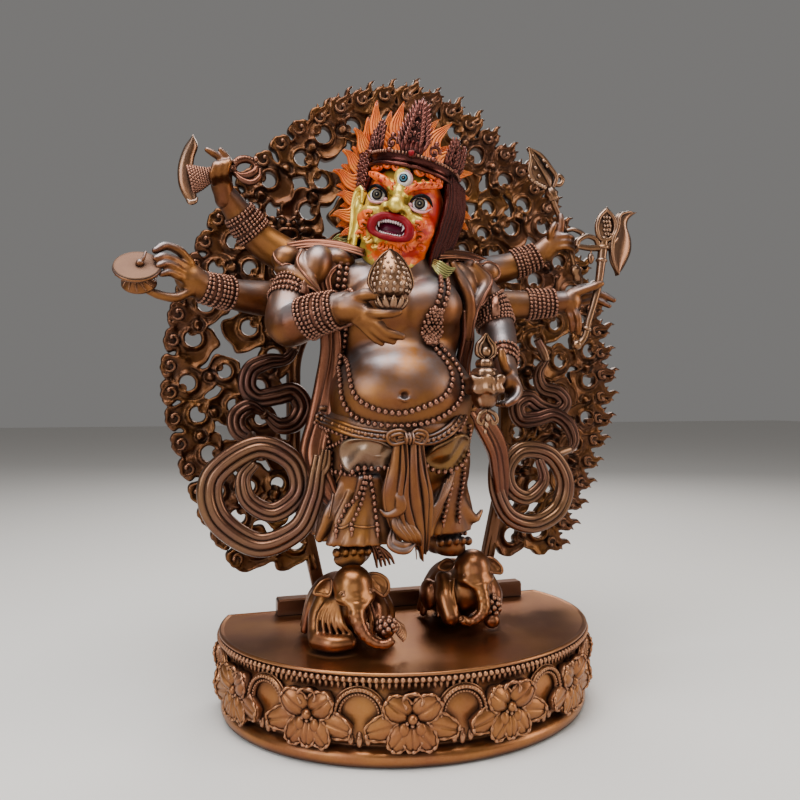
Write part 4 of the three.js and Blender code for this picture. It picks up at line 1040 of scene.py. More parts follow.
def knob_places(places, sizes):
    """Round knobs between clouds that lie close together, away from the band"""
    spots = []
    for k, place in enumerate(places):
        apart = np.linalg.norm(places - place, axis=1)
        for other in np.argsort(apart)[1:3]:
            spot = (place * sizes[other] + places[other] * sizes[k]) / (sizes[k] + sizes[other])
            lonely = all(np.linalg.norm(spot - taken) > 9.5 for taken in spots)
            if lonely and opening_distance(spot) > BAND_WIDTH + 4 and egg_share(spot) < 0.9:
                spots.append(spot)
    return spots


def edge_curls(batch):
    """Rolled curls with a bead where the edge flames spring"""
    for root, out, lively in edge_places():
        wind = np.linspace(0, 4.6, 14)
        hook = root + (1.2 if lively else 1.8) * out
        start = math.atan2(out[1], out[0]) + 0.8
        reach = 2.3 - 0.3 * wind
        path = np.stack([hook[0] + reach * np.cos(start + wind), np.full(14, PLATE_Y - 2.4) - 0.12 * wind,
                         hook[1] + reach * np.sin(start + wind)], -1)
        add_tube(batch, path, [0.25, 0.6, 0.75, 0.75, 0.8], sides=7, steps=20, flat=1.2)
        add_ball(batch, path[-1] + vec(0, -0.35, 0), 0.95)


def opening_line(reach):
    """Outline of the opening, reach outside it, from the left foot over the top to the right foot"""
    arched = OPENING_TOP - OPENING_HALF * 0.8
    turn = np.linspace(math.pi, 0, 60)
    bow = np.stack([(OPENING_HALF + reach) * np.cos(turn),
                    arched + (OPENING_HALF * 0.8 + reach) * np.sin(turn)], -1)
    foot = PLINTH_HEIGHT + 1.0
    left = vec(-OPENING_HALF * 0.72 - reach, foot), vec(-OPENING_HALF - reach, OPENING_KNEE)
    right = vec(OPENING_HALF + reach, OPENING_KNEE), vec(OPENING_HALF * 0.72 + reach, foot)
    line = np.vstack([left, bow, right])
    return line + vec(AUREOLE_MID[0], 0)


def aureole_band(batch):
    """Plain band with rounded edges, and the foot bar"""
    front = PLATE_Y - 1.8
    section = [(0.0, 0.55), (0.5, 0.0), (2.5, -0.12), (4.5, 0.0), (5.0, 0.55), (5.0, 3.1), (4.5, 3.6),
               (0.5, 3.6), (0.0, 3.1)]
    lines = np.stack([np.insert(opening_line(reach), 1, front + off, axis=1) for reach, off in section], 1)
    add_skin(batch, lines)
    x0, x1 = AUREOLE_MID[0] - 49.7, AUREOLE_MID[0] + 49.7
    y0, y1 = BACK_Y - 7.9, BACK_Y - 2.1
    z0, z1 = PLINTH_HEIGHT + 0.1, PLINTH_HEIGHT + 5.9
    profile = [(y0, z0), (y0, z1 - 0.6), (y0 + 0.6, z1), (y1 - 0.6, z1), (y1, z1 - 0.6), (y1, z0)]
    rings = []
    for x, pinch in ((x0, 0.5), (x0 + 0.5, 0.0), (x1 - 0.5, 0.0), (x1, 0.5)):
        rings.append([(x, y + (pinch if y < BACK_Y - 5 else -pinch), z - (pinch if z > z0 else 0))
                      for y, z in profile])
    add_skin(batch, rings)


def beast_mask(batch):
    """Little beast's head above the right shoulder: brows, round eyes, open jaws and a curled mane"""
    centre = vec(-43.0, 27.0, 171.5)
    add_ball(batch, centre, vec(4.6, 3.6, 4.8), shape=FINE_BALL)
    for sign in (-1, 1):
        add_ball(batch, centre + vec(2.0 * sign, -3.2, 1.4), 1.15, shape=FINE_BALL)
        brow = [centre + vec(x * sign, y, z) for x, y, z in ((0.5, -3.8, 2.0), (2.2, -3.9, 3.3),
                                                             (4.2, -2.6, 3.2))]
        add_tube(batch, brow, [0.4, 0.65, 0.3], sides=6, steps=12)
        jaw = [centre + vec(x * sign, y, z) for x, y, z in ((0.0, -4.6, -1.0), (2.6, -3.9, -1.4),
                                                            (3.3, -3.2, -3.6), (0.0, -3.6, -5.2))]
        add_tube(batch, jaw, [0.6, 0.75, 0.7, 0.6], sides=6, steps=16)
        for k in range(4):
            turn = 0.2 + 0.62 * k
            base = centre + vec(4.2 * sign * math.sin(turn + 0.5), -0.6, 4.4 * math.cos(turn + 0.5) + 0.6)
            tip = centre + vec(7.2 * sign * math.sin(turn + 0.35), -1.4, 7.0 * math.cos(turn + 0.35) + 0.6)
            add_tube(batch, [base, (base + tip) / 2 + vec(0, -0.9, 0.5), tip], [1.2, 1.1, 0.25], sides=7,
                     steps=10)
    add_ball(batch, centre + vec(0, -4.2, 0.2), vec(1.3, 1.0, 1.1), shape=FINE_BALL)


def build_aureole():
    places = cloud_places()
    points, faces = cloud_plate(places, cloud_sizes(places))
    plate = thin(add_mesh("aureole_clouds", points, faces, AUREOLE_METAL), AUREOLE_THINNED)
    curls = Batch()
    edge_curls(curls)
    beast_mask(curls)
    lips = curls.piece("aureole_curls", AUREOLE_METAL, "aureole_bronze")
    frame_work = Batch()
    aureole_band(frame_work)
    band = frame_work.piece("aureole_band", AUREOLE_METAL, "aureole_bronze", smooth=False)
    for piece in (plate, lips, band):
        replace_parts(piece, "aureole")


# Bare body: trunk, arms and hands

ARM_FORMS = {"main_right": ([(-32, 3, 151), (-43, 1, 146), (-47.5, -6, 133.3), (-40, -14.5, 135.6),
                             (-32.2, -21, 137.5)], [7.4, 7.2, 7.4, 6.1, 4.9]),
             "main_left": ([(19, 3, 151), (25.5, 2, 143), (28, -1, 134), (26.5, -8, 127.5),
                            (24.3, -15, 121)], [7.2, 6.7, 6.2, 5.3, 3.8]),
             "middle_right": ([(-31, 10.5, 146.5), (-44, 13, 144), (-57, 9, 143.5), (-70, 3, 144.5),
                               (-75, 1, 145.5)], [6.2, 6.2, 6.0, 5.0, 4.2]),
             "upper_right": ([(-30, 11.5, 153), (-42, 15, 158), (-53, 16, 164), (-60, 14, 171),
                              (-66, 11, 178)], [6.2, 6.2, 6.2, 5.4, 3.7]),
             "middle_left": ([(17, 10.5, 146.5), (30, 13, 145), (42, 12, 145), (56, 9, 146),
                              (60, 8, 146.5)], [6.2, 6.1, 5.7, 4.8, 4.1]),
             "upper_left": ([(17, 11.5, 153), (28, 16, 157), (40, 17, 160), (51, 14, 164.5), (55, 12, 168)],
                            [6.2, 6.1, 5.6, 4.7, 3.9])}


def make_trunk():
    clay = Clay((-60, -30, 94), (40, 24, 168), COARSE_STEP)
    clay.egg((-8.5, -3.0, 110.5), (25, 20.5, 19), soft=3)
    clay.egg((-9, 1, 99), (24, 19, 12), soft=6)
    clay.egg((-8, 2, 134), (23, 14.5, 17), soft=6)
    clay.egg((-7, 4, 148), (27, 12, 11), soft=6)
    clay.egg((-17.5, -8.5, 140), (10, 6.5, 8.5), soft=4)
    clay.egg((1, -8.5, 140.5), (10, 6.5, 8.5), soft=4)
    clay.limb([(-8, 3, 150), (-8, 1.5, 158), (-8, 1, 166)], [10, 9, 8.5], soft=5)
    for name in ("main_right", "main_left"):
        points, radii = ARM_FORMS[name]
        clay.limb(points, radii, soft=2.2, steps=20)
    clay.limb([(-8.6, -16, 133), (-8.4, -17, 141), (-8, -14, 149)], [0.8, 1.1, 0.6], soft=2.2, cut=True)
    clay.limb([(-24, -13, 128.5), (-15, -17, 128), (-8, -17.5, 128.8), (0, -17, 128), (8, -12, 129)],
              [0.5, 1.0, 0.9, 1.0, 0.5], soft=2.0, cut=True)
    clay.egg((-13.6, -23.8, 110.4), (1.35, 2.2, 1.25), soft=0.9, cut=True)
    clay.limb([(-15.2, -23.1, 109.4), (-13.6, -23.3, 108.8), (-12, -23.1, 109.4)], [0.3, 0.5, 0.3], soft=0.8)
    return clay


def side_arm(name):
    points, radii = ARM_FORMS[name]
    path = np.array(points, float)
    clay = Clay(path.min(0) - 9, path.max(0) + 9, SIDE_ARM_STEP)
    clay.limb(points, radii, soft=0.5, steps=20)
    return clay


def finger(clay, points, radius):
    """Finger with knuckles a little thicker than its bones, and a thinner tip"""
    clay.limb(points, [radius * 1.12, radius * 0.98, radius * 1.06, radius * 0.92, radius * 0.98,
                       radius * 0.72], soft=0.9, steps=12)


def hand_main_right():
    clay = Clay((-40, -36, 122), (-12, -15, 147), FINE_STEP)
    clay.limb([(-34, -20, 137.2), (-31, -23, 137)], [4.7, 4.0], soft=1.0)
    clay.limb([(-31.5, -23, 137), (-28, -26, 136.2), (-25.8, -27, 134.6)], [4.0, 3.6, 2.4], soft=2.0,
              flat=(unit((0.3, -0.95, 0)), 0.8))
    finger(clay, [(-31.5, -24.5, 139.4), (-27.5, -28.2, 140.6), (-24, -30.2, 140.4), (-20.3, -31.3, 139.3)],
           1.95)
    finger(clay, [(-28, -27, 135.5), (-25, -30.3, 134.8), (-22, -32.8, 134.6), (-18.6, -33.0, 135.2)], 1.6)
    finger(clay, [(-27.6, -27.4, 133.4), (-24.2, -29.6, 131.9), (-21.6, -30.8, 129.3),
                  (-17.2, -31.6, 128.0)], 1.55)
    finger(clay, [(-28.4, -26.2, 132.9), (-25.6, -28.0, 130.9), (-23.0, -29.2, 128.4),
                  (-19.4, -30.0, 126.6)], 1.45)
    finger(clay, [(-29.4, -24.8, 132.9), (-27.2, -26.2, 130.6), (-25.0, -27.0, 128.2),
                  (-22.4, -27.8, 126.2)], 1.3)
    return clay


def hand_main_left():
    clay = Clay((12, -29, 102), (32, -9, 129), FINE_STEP)
    clay.limb([(24.4, -14.5, 121.6), (24.2, -17, 118)], [3.9, 3.6], soft=1.0)
    clay.egg((23.6, -18.0, 115.6), (3.2, 4.2, 4.4), soft=1.6)
    finger(clay, [(23.6, -19.5, 118.6), (21.0, -22.3, 119.6), (19.7, -23.3, 122), (19.2, -23.4, 124.8)], 1.55)
    for k in range(4):
        back = 2.5 * k
        finger(clay, [(25.2, -20.5 + back, 115.8 - 0.5 * k), (26.2, -21.6 + back, 112.6 - 0.5 * k),
                      (24.0, -24.0 + back, 109.6 - 0.5 * k), (20.4, -25.0 + back, 107.6)], 1.45 - 0.06 * k)
    return clay


def hand_drum():
    clay = Clay((-97, -12, 134), (-70, 9, 162), FINE_STEP)
    clay.limb([(-73.5, 1.5, 145.2), (-77, 0.2, 146.8)], [4.5, 4.5], soft=1.0)
    clay.limb([(-76.6, 0.2, 146.6), (-79.2, -0.8, 149.4), (-80.0, -1.0, 151.6)], [4.5, 4.0, 2.8], soft=2.0,
              flat=(unit((-0.2, -0.95, 0.2)), 0.72))
    finger(clay, [(-77.8, -1.4, 152.4), (-80.8, -2.8, 155.4), (-84.9, -4.2, 156.6), (-88.0, -6.0, 154.6)],
           1.45)
    finger(clay, [(-79.0, -2.6, 150.6), (-82.2, -4.8, 152.2), (-85.2, -6.4, 152.9), (-87.8, -8.0, 151.8)],
           1.35)
    finger(clay, [(-79.0, -3.0, 148.4), (-82.0, -5.2, 149.8), (-84.8, -6.8, 150.6), (-87.0, -8.2, 149.6)],
           1.3)
    finger(clay, [(-78.8, -3.0, 146.3), (-81.6, -5.0, 147.3), (-84.0, -6.4, 148.0), (-86.2, -7.6, 147.2)],
           1.2)
    finger(clay, [(-77.8, -1.6, 143.2), (-81.4, -3.0, 141.0), (-85.2, -3.8, 141.0), (-90.0, -4.2, 142.4)],
           1.5)
    return clay


def hand_chopper():
    clay = Clay((-80, -3, 170), (-57, 18, 195), FINE_STEP)
    clay.limb([(-66, 11, 176.4), (-67.2, 9.6, 180.8)], [3.5, 3.2], soft=1.0)
    clay.limb([(-67.2, 9.4, 180.4), (-67.6, 7.8, 184.0)], [3.4, 2.5], soft=1.4, flat=(vec(0, -1, 0), 0.85))
    for k in range(3):
        side = 2.05 * k
        finger(clay, [(-70.2 + side, 6.6, 180.8 + 0.5 * k), (-70.6 + side, 3.5, 181.8 + 0.6 * k),
                      (-69.8 + side, 2.7, 184.6 + 0.6 * k), (-69.0 + side, 4.6, 186.2 + 0.6 * k)], 1.2)
    finger(clay, [(-66.8, 8.0, 183.6), (-66.4, 6.2, 186.4), (-68.8, 5.2, 188.6), (-72.2, 4.4, 190.2)], 1.2)
    finger(clay, [(-65.4, 8.8, 182.6), (-64.4, 6.8, 186.2), (-65.8, 5.6, 188.6), (-67.9, 5.0, 190.8)], 1.15)
    return clay


def hand_goad():
    clay = Clay((53, -2, 129), (84, 15, 158), FINE_STEP)
    clay.limb([(57.5, 8.6, 146.2), (61.2, 7.6, 146.6)], [4.0, 3.8], soft=1.0)
    clay.egg((62.4, 7.0, 146.2), (4.0, 3.2, 4.0), soft=1.4)
    finger(clay, [(61.4, 5.8, 148.6), (65.0, 4.6, 150.2), (68.6, 2.9, 151.6), (72.2, 2.2, 153.0)], 1.6)
    finger(clay, [(61.8, 6.4, 150.0), (65.2, 6.0, 151.6), (68.2, 5.2, 152.2), (70.6, 5.0, 152.6)], 1.3)
    finger(clay, [(64.0, 8.4, 147.6), (69.4, 8.8, 149.6), (75.0, 7.6, 150.0), (79.4, 5.0, 147.4)], 1.4)
    finger(clay, [(64.0, 8.4, 145.4), (69.0, 8.8, 146.8), (74.0, 8.0, 147.4), (77.8, 5.6, 145.2)], 1.3)
    finger(clay, [(62.0, 6.0, 144.4), (63.2, 4.6, 141.2), (63.8, 4.4, 137.8), (63.8, 4.8, 134.2)], 1.4)
    finger(clay, [(60.4, 7.0, 143.6), (61.2, 6.2, 140.8), (61.8, 6.0, 138.0), (62.0, 6.2, 135.4)], 1.2)
    return clay


def hand_trident():
    clay = Clay((48, 0, 160), (68, 20, 184), FINE_STEP)
    clay.limb([(54.0, 12.6, 165.8), (56.6, 11.2, 168.6)], [3.9, 3.5], soft=1.0)
    clay.limb([(56.4, 11.2, 168.2), (57.4, 10.0, 171.2)], [3.5, 2.8], soft=1.4)
    finger(clay, [(54.8, 9.8, 169.4), (54.2, 8.4, 172.0), (54.9, 8.0, 174.0), (55.8, 8.0, 175.8)], 1.3)
    finger(clay, [(57.8, 9.2, 170.6), (58.2, 8.4, 173.4), (58.5, 8.0, 176.2), (58.3, 8.2, 179.2)], 1.45)
    for k in range(3):
        drop = -2.1 * k
        finger(clay, [(57.4, 8.2, 171.0 + drop), (59.8, 6.6, 171.2 + drop), (62.4, 7.0, 170.6 + drop),
                      (63.4 + 0.4 * k, 9.2, 169.8 + drop)], 1.15)
    return clay


HAND_FORMS = {"main_right": hand_main_right, "main_left": hand_main_left, "drum": hand_drum,
              "chopper": hand_chopper, "goad": hand_goad, "trident": hand_trident}


# How far in front of the middle a drape starts, and where spots that miss the form are moved from
DRAPE_FROM = -32.0
DRAPE_MISSED = -8.0


def drape(clay, spots, lift):
    """Points on the front of a clay form at x, z spots, lifted off it"""
    spots = np.asarray(spots, float)
    p = np.stack([spots[:, 0], np.full(len(spots), DRAPE_FROM), spots[:, 1]], -1)
    for _ in range(90):
        p[:, 1] += np.clip(clay.sample(p), 0.0, 1.5) * 0.7
    missed = clay.sample(p) > 0.8
    if missed.all():
        p[:, 1] = DRAPE_MISSED
        return clay.snap(p, lift)
    laid = clay.snap(p, lift)
    hits = np.flatnonzero(~missed)
    for k in np.flatnonzero(missed):
        laid[k] = (spots[k, 0], laid[hits[np.argmin(np.abs(hits - k))], 1], spots[k, 1])
    return laid


# Beadwork

ARM_STEPS = 80
ARM_FACE = (0.15, -0.6, 0.8)


def arm_frame(arm):
    """An arm's path, and the radius, side and front along it"""
    points, radii = ARM_FORMS[arm]
    path = smooth_path(points, ARM_STEPS)
    _, side, front = path_frames(path, ARM_FACE)
    return path, spread(radii, ARM_STEPS), side, front


def bead_cuff(batch, arm, span, rows, bead):
    """Rows of beads round an arm over a share of its length"""
    path, radius, side, front = arm_frame(arm)
    proud = 0.5
    first, last = int(span[0] * (ARM_STEPS - 1)), int(span[1] * (ARM_STEPS - 1))
    ends = [first, (first + last) // 2, last]
    add_tube(batch, path[ends], radius[ends] + proud * 0.5, sides=24, steps=6, face=ARM_FACE)
    for row in range(rows):
        k = int(round(first + (last - first) * row / (rows - 1)))
        size = radius[k] + proud
        turn = full_turn(40)[:, None]
        ring = path[k] + size * (np.cos(turn) * side[k] + np.sin(turn) * front[k])
        add_beads(batch, ring, bead, closed=True)


def cuff_plate(batch, arm, span, turn, width=3.0):
    """Plain rectangular plate across a beaded cuff, at a turn round the arm"""
    path, radius, side, front = arm_frame(arm)
    rings = []
    for share, grow in ((span[0], 0.5), (span[0] + 0.004, 1.0), (span[1] - 0.004, 1.0), (span[1], 0.5)):
        k = int(round(share * (ARM_STEPS - 1)))
        out = math.cos(turn) * side[k] + math.sin(turn) * front[k]
        across = -math.sin(turn) * side[k] + math.cos(turn) * front[k]
        foot = path[k] + (radius[k] - 0.6) * out
        rings.append([foot + u * grow * width / 2 * across + v * out
                      for u, v in ((-1, 0), (-1, 2.1 * grow), (-0.8, 2.4 * grow), (0.8, 2.4 * grow),
                                   (1, 2.1 * grow), (1, 0))])
    add_skin(batch, rings)


INNER_STRAND = [(-26.5, 158.8), (-27.6, 154), (-28.3, 150), (-28.6, 145), (-28.2, 138), (-28.0, 130),
                (-28.2, 122.8), (-28.7, 117.6), (-28.4, 112.4), (-26.6, 109.0), (-22, 106.2),
                (-16.3, 105.0), (-12.2, 105.4), (-6, 107.4), (0, 110.4), (3.2, 115.6), (2.4, 120.4),
                (0.2, 124.0), (-1.8, 128.6), (-2.2, 133.0), (-1.2, 137.6), (0.0, 141.0), (1.4, 144.6),
                (2.6, 149.0), (4.6, 154.0), (6.6, 158.0)]
OUTER_STRAND = [(-28.8, 158.4), (-30.0, 154), (-30.7, 150), (-31.0, 145), (-30.6, 138), (-30.2, 130),
                (-30.4, 121.6), (-31.0, 115.6), (-31.0, 110.4), (-29.6, 106.4), (-26.8, 103.4),
                (-22.0, 101.6), (-14, 101.0), (-5, 102.2), (2.0, 105.4), (6.2, 109.6), (7.6, 115.4),
                (6.0, 120.8), (3.0, 125.0), (0.6, 129.0), (0.2, 133.0), (1.2, 137.0), (2.4, 140.4),
                (3.8, 144.0), (5.0, 148.4), (6.8, 153.4), (8.8, 157.4)]


def strands(batch, clay):
    for spots in (INNER_STRAND, OUTER_STRAND):
        path = drape(clay, flat_path(spots, 150), 0.55)
        add_beads(batch, path, 0.98, gap=1.06)
    tassel = drape(clay, flat_path([(-1.0, 138.6), (-1.9, 133), (-2.6, 126.5)], 14), 1.5)
    for k, point in enumerate(tassel):
        wide = 1.5 + 1.5 * math.sin(math.pi * k / 13)
        for step in range(5):
            side = (step - 2) / 2 + 0.25 * (k % 2)
            add_ball(batch, point + vec(side * wide, 0.35 * abs(side), 0.0), 0.52 + 0.16 * ((k + step) % 3))


# Arm, span along it, rows of beads and their radius
CUFFS = (("main_right", (0.73, 0.94), 8, 0.7), ("main_left", (0.86, 0.98), 3, 0.7),
         ("middle_right", (0.78, 0.97), 7, 0.68), ("upper_right", (0.66, 0.84), 7, 0.68),
         ("middle_left", (0.68, 0.9), 7, 0.68), ("upper_left", (0.66, 0.88), 7, 0.66),
         ("main_right", (0.2, 0.37), 6, 0.7), ("main_left", (0.24, 0.46), 7, 0.7),
         ("middle_right", (0.3, 0.42), 5, 0.66), ("upper_right", (0.14, 0.3), 5, 0.66),
         ("middle_left", (0.12, 0.28), 5, 0.66), ("upper_left", (0.1, 0.26), 5, 0.66))


def build_body():
    trunk = make_trunk()
    pieces = [trunk.piece("trunk", BODY_METAL, "figure_bronze", MERGED)]
    for name in ("middle_right", "upper_right", "middle_left", "upper_left"):
        pieces.append(side_arm(name).piece("arm_" + name, BODY_METAL, "figure_bronze", MERGED))
    for name, form in HAND_FORMS.items():
        pieces.append(form().piece("hand_" + name, BODY_METAL, "figure_bronze", FINELY_MERGED))
    beads = Batch()
    strands(beads, trunk)
    for arm, span, rows, bead in CUFFS:
        bead_cuff(beads, arm, span, rows, bead)
    cuff_plate(beads, "main_right", (0.2, 0.38), 1.15)
    cuff_plate(beads, "main_left", (0.24, 0.46), 2.2)
    cuff_plate(beads, "middle_right", (0.3, 0.42), 1.5, 2.4)
    pieces.append(beads.piece("body_beads", ORNAMENT_METAL, "figure_bronze"))
    for piece in pieces:
        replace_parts(piece, "figure")
    return trunk


# Cape: smooth lobes over the shoulders with thin turned edges

CAPE_LOBES = [((-46.8, 2.5, 156.0), (5.0, 4.4, 4.3), -20), ((-38.0, -1.5, 152.5), (5.6, 6.6, 8.2), 22),
              ((-30.0, 3.0, 156.0), (6.5, 8.0, 4.6), 10),
              ((26.0, 4.0, 155.2), (4.9, 4.4, 4.6), 25), ((13.6, -1.0, 149.8), (5.4, 6.8, 7.8), -24),
              ((19.5, 1.5, 152.0), (4.6, 6.0, 7.0), -20)]
CAPE_FOLDS = [([(-50, 1.5, 152.0), (-45, -3.6, 150.2), (-40.6, -7.2, 147.2), (-38, -8.6, 143.6)],
               [1.1, 2.5, 2.3, 1.0]),
              ([(-42.5, -2.5, 157.5), (-43.0, -5.0, 152.6), (-40.2, -7.4, 148.4)], [1.2, 2.2, 1.3]),
              ([(18.6, -3.4, 156.5), (22.6, -3.4, 150.4), (18.8, -5.4, 144.0), (15.6, -5.6, 137.4)],
               [1.3, 2.4, 2.2, 1.8]),
              ([(18.0, -4.6, 146.0), (22.0, -3.6, 146.6), (26.2, -2.2, 145.4)], [1.2, 2.2, 0.7]),
              ([(9.0, -6.4, 155.4), (13.6, -8.0, 146.0), (15.2, -6.6, 139.2), (14.8, -5.0, 131.0)],
               [1.2, 2.0, 2.2, 2.0])]
CAPE_EDGES = [[(-51.3, 1.6, 158), (-49.8, -0.6, 154), (-46.4, -1.6, 152.4), (-43.2, -2.0, 154.2),
               (-42.4, -1.6, 157.6)],
              [(-42.6, -4.0, 158.4), (-44.6, -6.2, 153.4), (-42.0, -8.4, 148.6), (-37.4, -9.8, 143.4)],
              [(-50.6, 1.4, 150.6), (-45.4, -5.0, 148.0), (-40.4, -8.6, 145.0), (-37.6, -9.6, 142.4)],
              [(16.8, -4.2, 158.2), (24.4, 0.4, 158.6), (30.2, 1.0, 155.0), (28.2, -0.6, 151.0),
               (24.6, -1.8, 149.6)],
              [(18.8, -5.2, 157.4), (23.8, -4.2, 151.6), (20.4, -7.0, 144.8), (16.6, -7.4, 137.0),
               (16.4, -6.4, 128)],
              [(27.0, -2.2, 144.8), (22.4, -5.0, 144.6), (18.4, -6.6, 141.6)]]


def make_cape():
    clay = Clay((-56, -14, 126), (36, 18, 166), CAPE_STEP)
    for centre, size, degrees in CAPE_LOBES:
        turned = np.array(Matrix.Rotation(math.radians(degrees), 3, Vector((0, 1, 0))))
        clay.egg(centre, size, turned.T, soft=0.5)
    for points, radii in CAPE_FOLDS:
        clay.limb(points, radii, soft=0.45, steps=16, flat=(vec(0, -1, 0), 0.8))
    return clay


SHAWL_RIGHT = [(-27, -1, 158), (-36, -3, 150), (-34.0, -4, 138), (-32.6, -3, 126), (-33.6, -1, 114),
               (-35.8, -1, 102), (-38.5, -3, 90), (-34.5, -6, 79), (-28.5, -8, 72)]
SHAWL_LEFT = [(14, -5, 140), (14.8, -4, 130), (13.6, -3, 120), (16, -2, 110), (22, 0, 102), (29, 3, 92),
              (31.5, 5, 82), (33, 7.5, 71), (33.4, 8, 65)]


def build_cape():
    clay = make_cape()
    pieces = [clay.piece("cape", BODY_METAL, "figure_bronze", MERGED)]
    cloth = Batch()
    for edge in CAPE_EDGES:
        line = clay.snap(smooth_path(edge, 36), 0.15)
        close = np.abs(clay.sample(line) - 0.15) < 0.5
        if close.sum() > 12:
            add_tube(cloth, line[close], [0.25, 0.5, 0.55, 0.5, 0.25], sides=6, steps=36, flat=0.8)
    add_band(cloth, SHAWL_RIGHT, [2.5, 3.8, 3.4, 3.6, 4.2, 4.6, 4.8, 4.2, 1.2], 1.9, strands=3, steps=90,
             face=(-0.45, -0.9, 0), groove=0.5, waver=0.22)
    add_band(cloth, SHAWL_LEFT, [2.2, 2.8, 3.0, 3.4, 4.2, 4.6, 4.2, 3.2, 0.8], 1.9, strands=3, steps=90,
             face=(0.35, -0.94, 0), groove=0.5, waver=0.22)
    for points in ([(-46, 6, 160.5), (-38, 4, 161.5), (-30, 0, 160.5), (-22, -4, 158)],
                   [(4, -4, 158.5), (11, 0, 160), (19, 4, 160.5), (27, 7, 159.5)]):
        add_band(cloth, points, [1.2, 2.0, 2.2, 1.2], 1.2, strands=2, steps=46, face=(0, -0.8, 0.6),
                 groove=0.6)
        add_tube(cloth, np.array(points) + vec(0, -1.6, -1.2), [0.3, 0.7, 0.7, 0.3], sides=7, steps=30)
    pieces.append(cloth.piece("cape_cloth", ORNAMENT_METAL, "figure_bronze"))
    for piece in pieces:
        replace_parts(piece, "figure")


# Baggy trousers, overskirt, belt, sash and feet

HEM_FLARES = [([(-30, -8, 80), (-33.5, -8, 72), (-37.5, -7.5, 64.5)], [2.0, 3.2, 1.6]),
              ([(-28, -10, 78), (-31, -11, 70), (-33, -11, 63.5)], [1.6, 3.0, 2.4]),
              ([(10, -2, 78), (15, 0, 71), (20.5, 2, 66.5), (23.5, 3, 69.0)], [2.0, 3.0, 2.2, 0.8]),
              ([(12, 0, 84), (16, 2, 75), (19.0, 4, 66)], [2.0, 2.6, 2.4])]


def make_skirt():
    clay = Clay((-44, -26, 58), (26, 26, 108), COARSE_STEP)
    clay.limb([(-17, 1, 98), (-19.5, 1, 86), (-20.5, 1, 74), (-22, 0, 63)], [17.5, 15.5, 11.8, 12.0], soft=3)
    clay.limb([(0, 2, 98), (3.5, 4, 86), (6, 6, 74), (8, 7, 63)], [17, 15.0, 11.2, 11.2], soft=3)
    clay.egg((-9, 0, 100), (26.5, 21.5, 9), soft=4)
    for k in range(6):
        x = -33.5 + 4.1 * k
        y = -6.0 - 5.5 * math.sin(math.pi * (k + 0.6) / 6)
        clay.limb([(-26 + 1.2 * k, -15.5, 84), (-27.5 + 2.0 * k, -13.5, 75), (x, y - 3.0, 62.5)],
                  [0.9, 1.6, 2.7], soft=1.2)
    for k in range(5):
        reach = 4.0 * k
        clay.limb([(9 + 0.8 * k, -9 + 2.4 * k, 88 - k), (4 + 1.6 * k, -8.5 + 1.6 * k, 78 - k),
                   (-2.5 + reach * 0.85, -7.5 + 1.8 * k, 66.5), (-4.0 + reach, -8.5 + 2.6 * k, 61.5)],
                  [0.9, 1.6, 2.2, 1.7], soft=1.0)
    for side, x, y in ((-1, -33, 3), (1, 15, 9)):
        for k in range(4):
            back = 6.0 * k
            clay.limb([(x - 2 * side, y - 4 + back * 0.8, 92), (x, y - 5 + back, 78),
                       (x + 2.2 * side, y - 6 + back, 63)], [0.8, 1.3, 2.0], soft=1.8)
    for k in range(8):
        x = -32 + 6.6 * k
        clay.limb([(x * 0.8 - 1, 16.5, 96), (x * 0.95, 15.5, 80), (x, 13.5, 63)], [0.8, 1.4, 2.0], soft=2.0)
    for path, radii in HEM_FLARES:
        clay.limb(path, radii, soft=1.6, flat=(vec(0.2, -1, 0), 0.6))
    clay.egg((-21.8, 0.5, 58.5), (9.5, 9.5, 8.5), soft=1.2, cut=True)
    clay.egg((8.2, 7, 58.5), (8.6, 8.8, 8.5), soft=1.2, cut=True)
    clay.cut_below(62.5)
    return clay


def hanging_panel(batch, clay, outline, centre, lift):
    """A hanging tongue of folded cloth laid on a form; outline runs round it, centre is its middle"""
    ring = flat_path(outline, 64, closed=True)
    centre = vec(*centre)
    rows = []
    for share, rise in ((0.99, 0.4), (1.0, 0.9), (0.97, 1.25), (0.9, 1.1), (0.8, 0.95), (0.7, 0.95),
                        (0.58, 1.05), (0.46, 1.15), (0.34, 1.25), (0.22, 1.3), (0.1, 1.35)):
        spots = centre + (ring - centre) * share
        points = drape(clay, spots, lift * rise)
        x, z = spots.T
        fold = np.sin(0.75 * (x - 0.8 * z)) + 0.5 * np.sin(1.3 * (x - 0.5 * z) + 1.0)
        points[:, 1] -= 1.6 * (1 - share) * 0.4 + 0.45 * fold * (1 - share ** 5)
        rows.append(points)
    under = drape(clay, centre + (ring - centre) * 0.9, -1.0)
    add_skin(batch, [under] + rows)


def bead_line(batch, clay, spots, radius, lift=0.7):
    path = drape(clay, flat_path(spots, 60), lift)
    add_beads(batch, path, radius, gap=1.08)


def tassel_cap(batch, point, size):
    add_ball(batch, point, size)
    add_ball(batch, point + vec(0, -0.1, -1.5 * size), vec(0.55 * size, 0.55 * size, 1.2 * size))


PANEL_RIGHT = [(-30.2, 96.2), (-24.0, 97.8), (-18.0, 96.4), (-13.6, 92.6), (-15.6, 89.6), (-20.3, 87.0),
               (-26.6, 85.8), (-30.0, 88.0)]
PANEL_LEFT = [(-3.4, 94.6), (1.0, 97.0), (6.0, 98.6), (10.6, 97.0), (11.0, 91.0), (8.8, 87.6), (3.0, 86.0),
              (-1.6, 87.4), (-4.2, 90.6)]


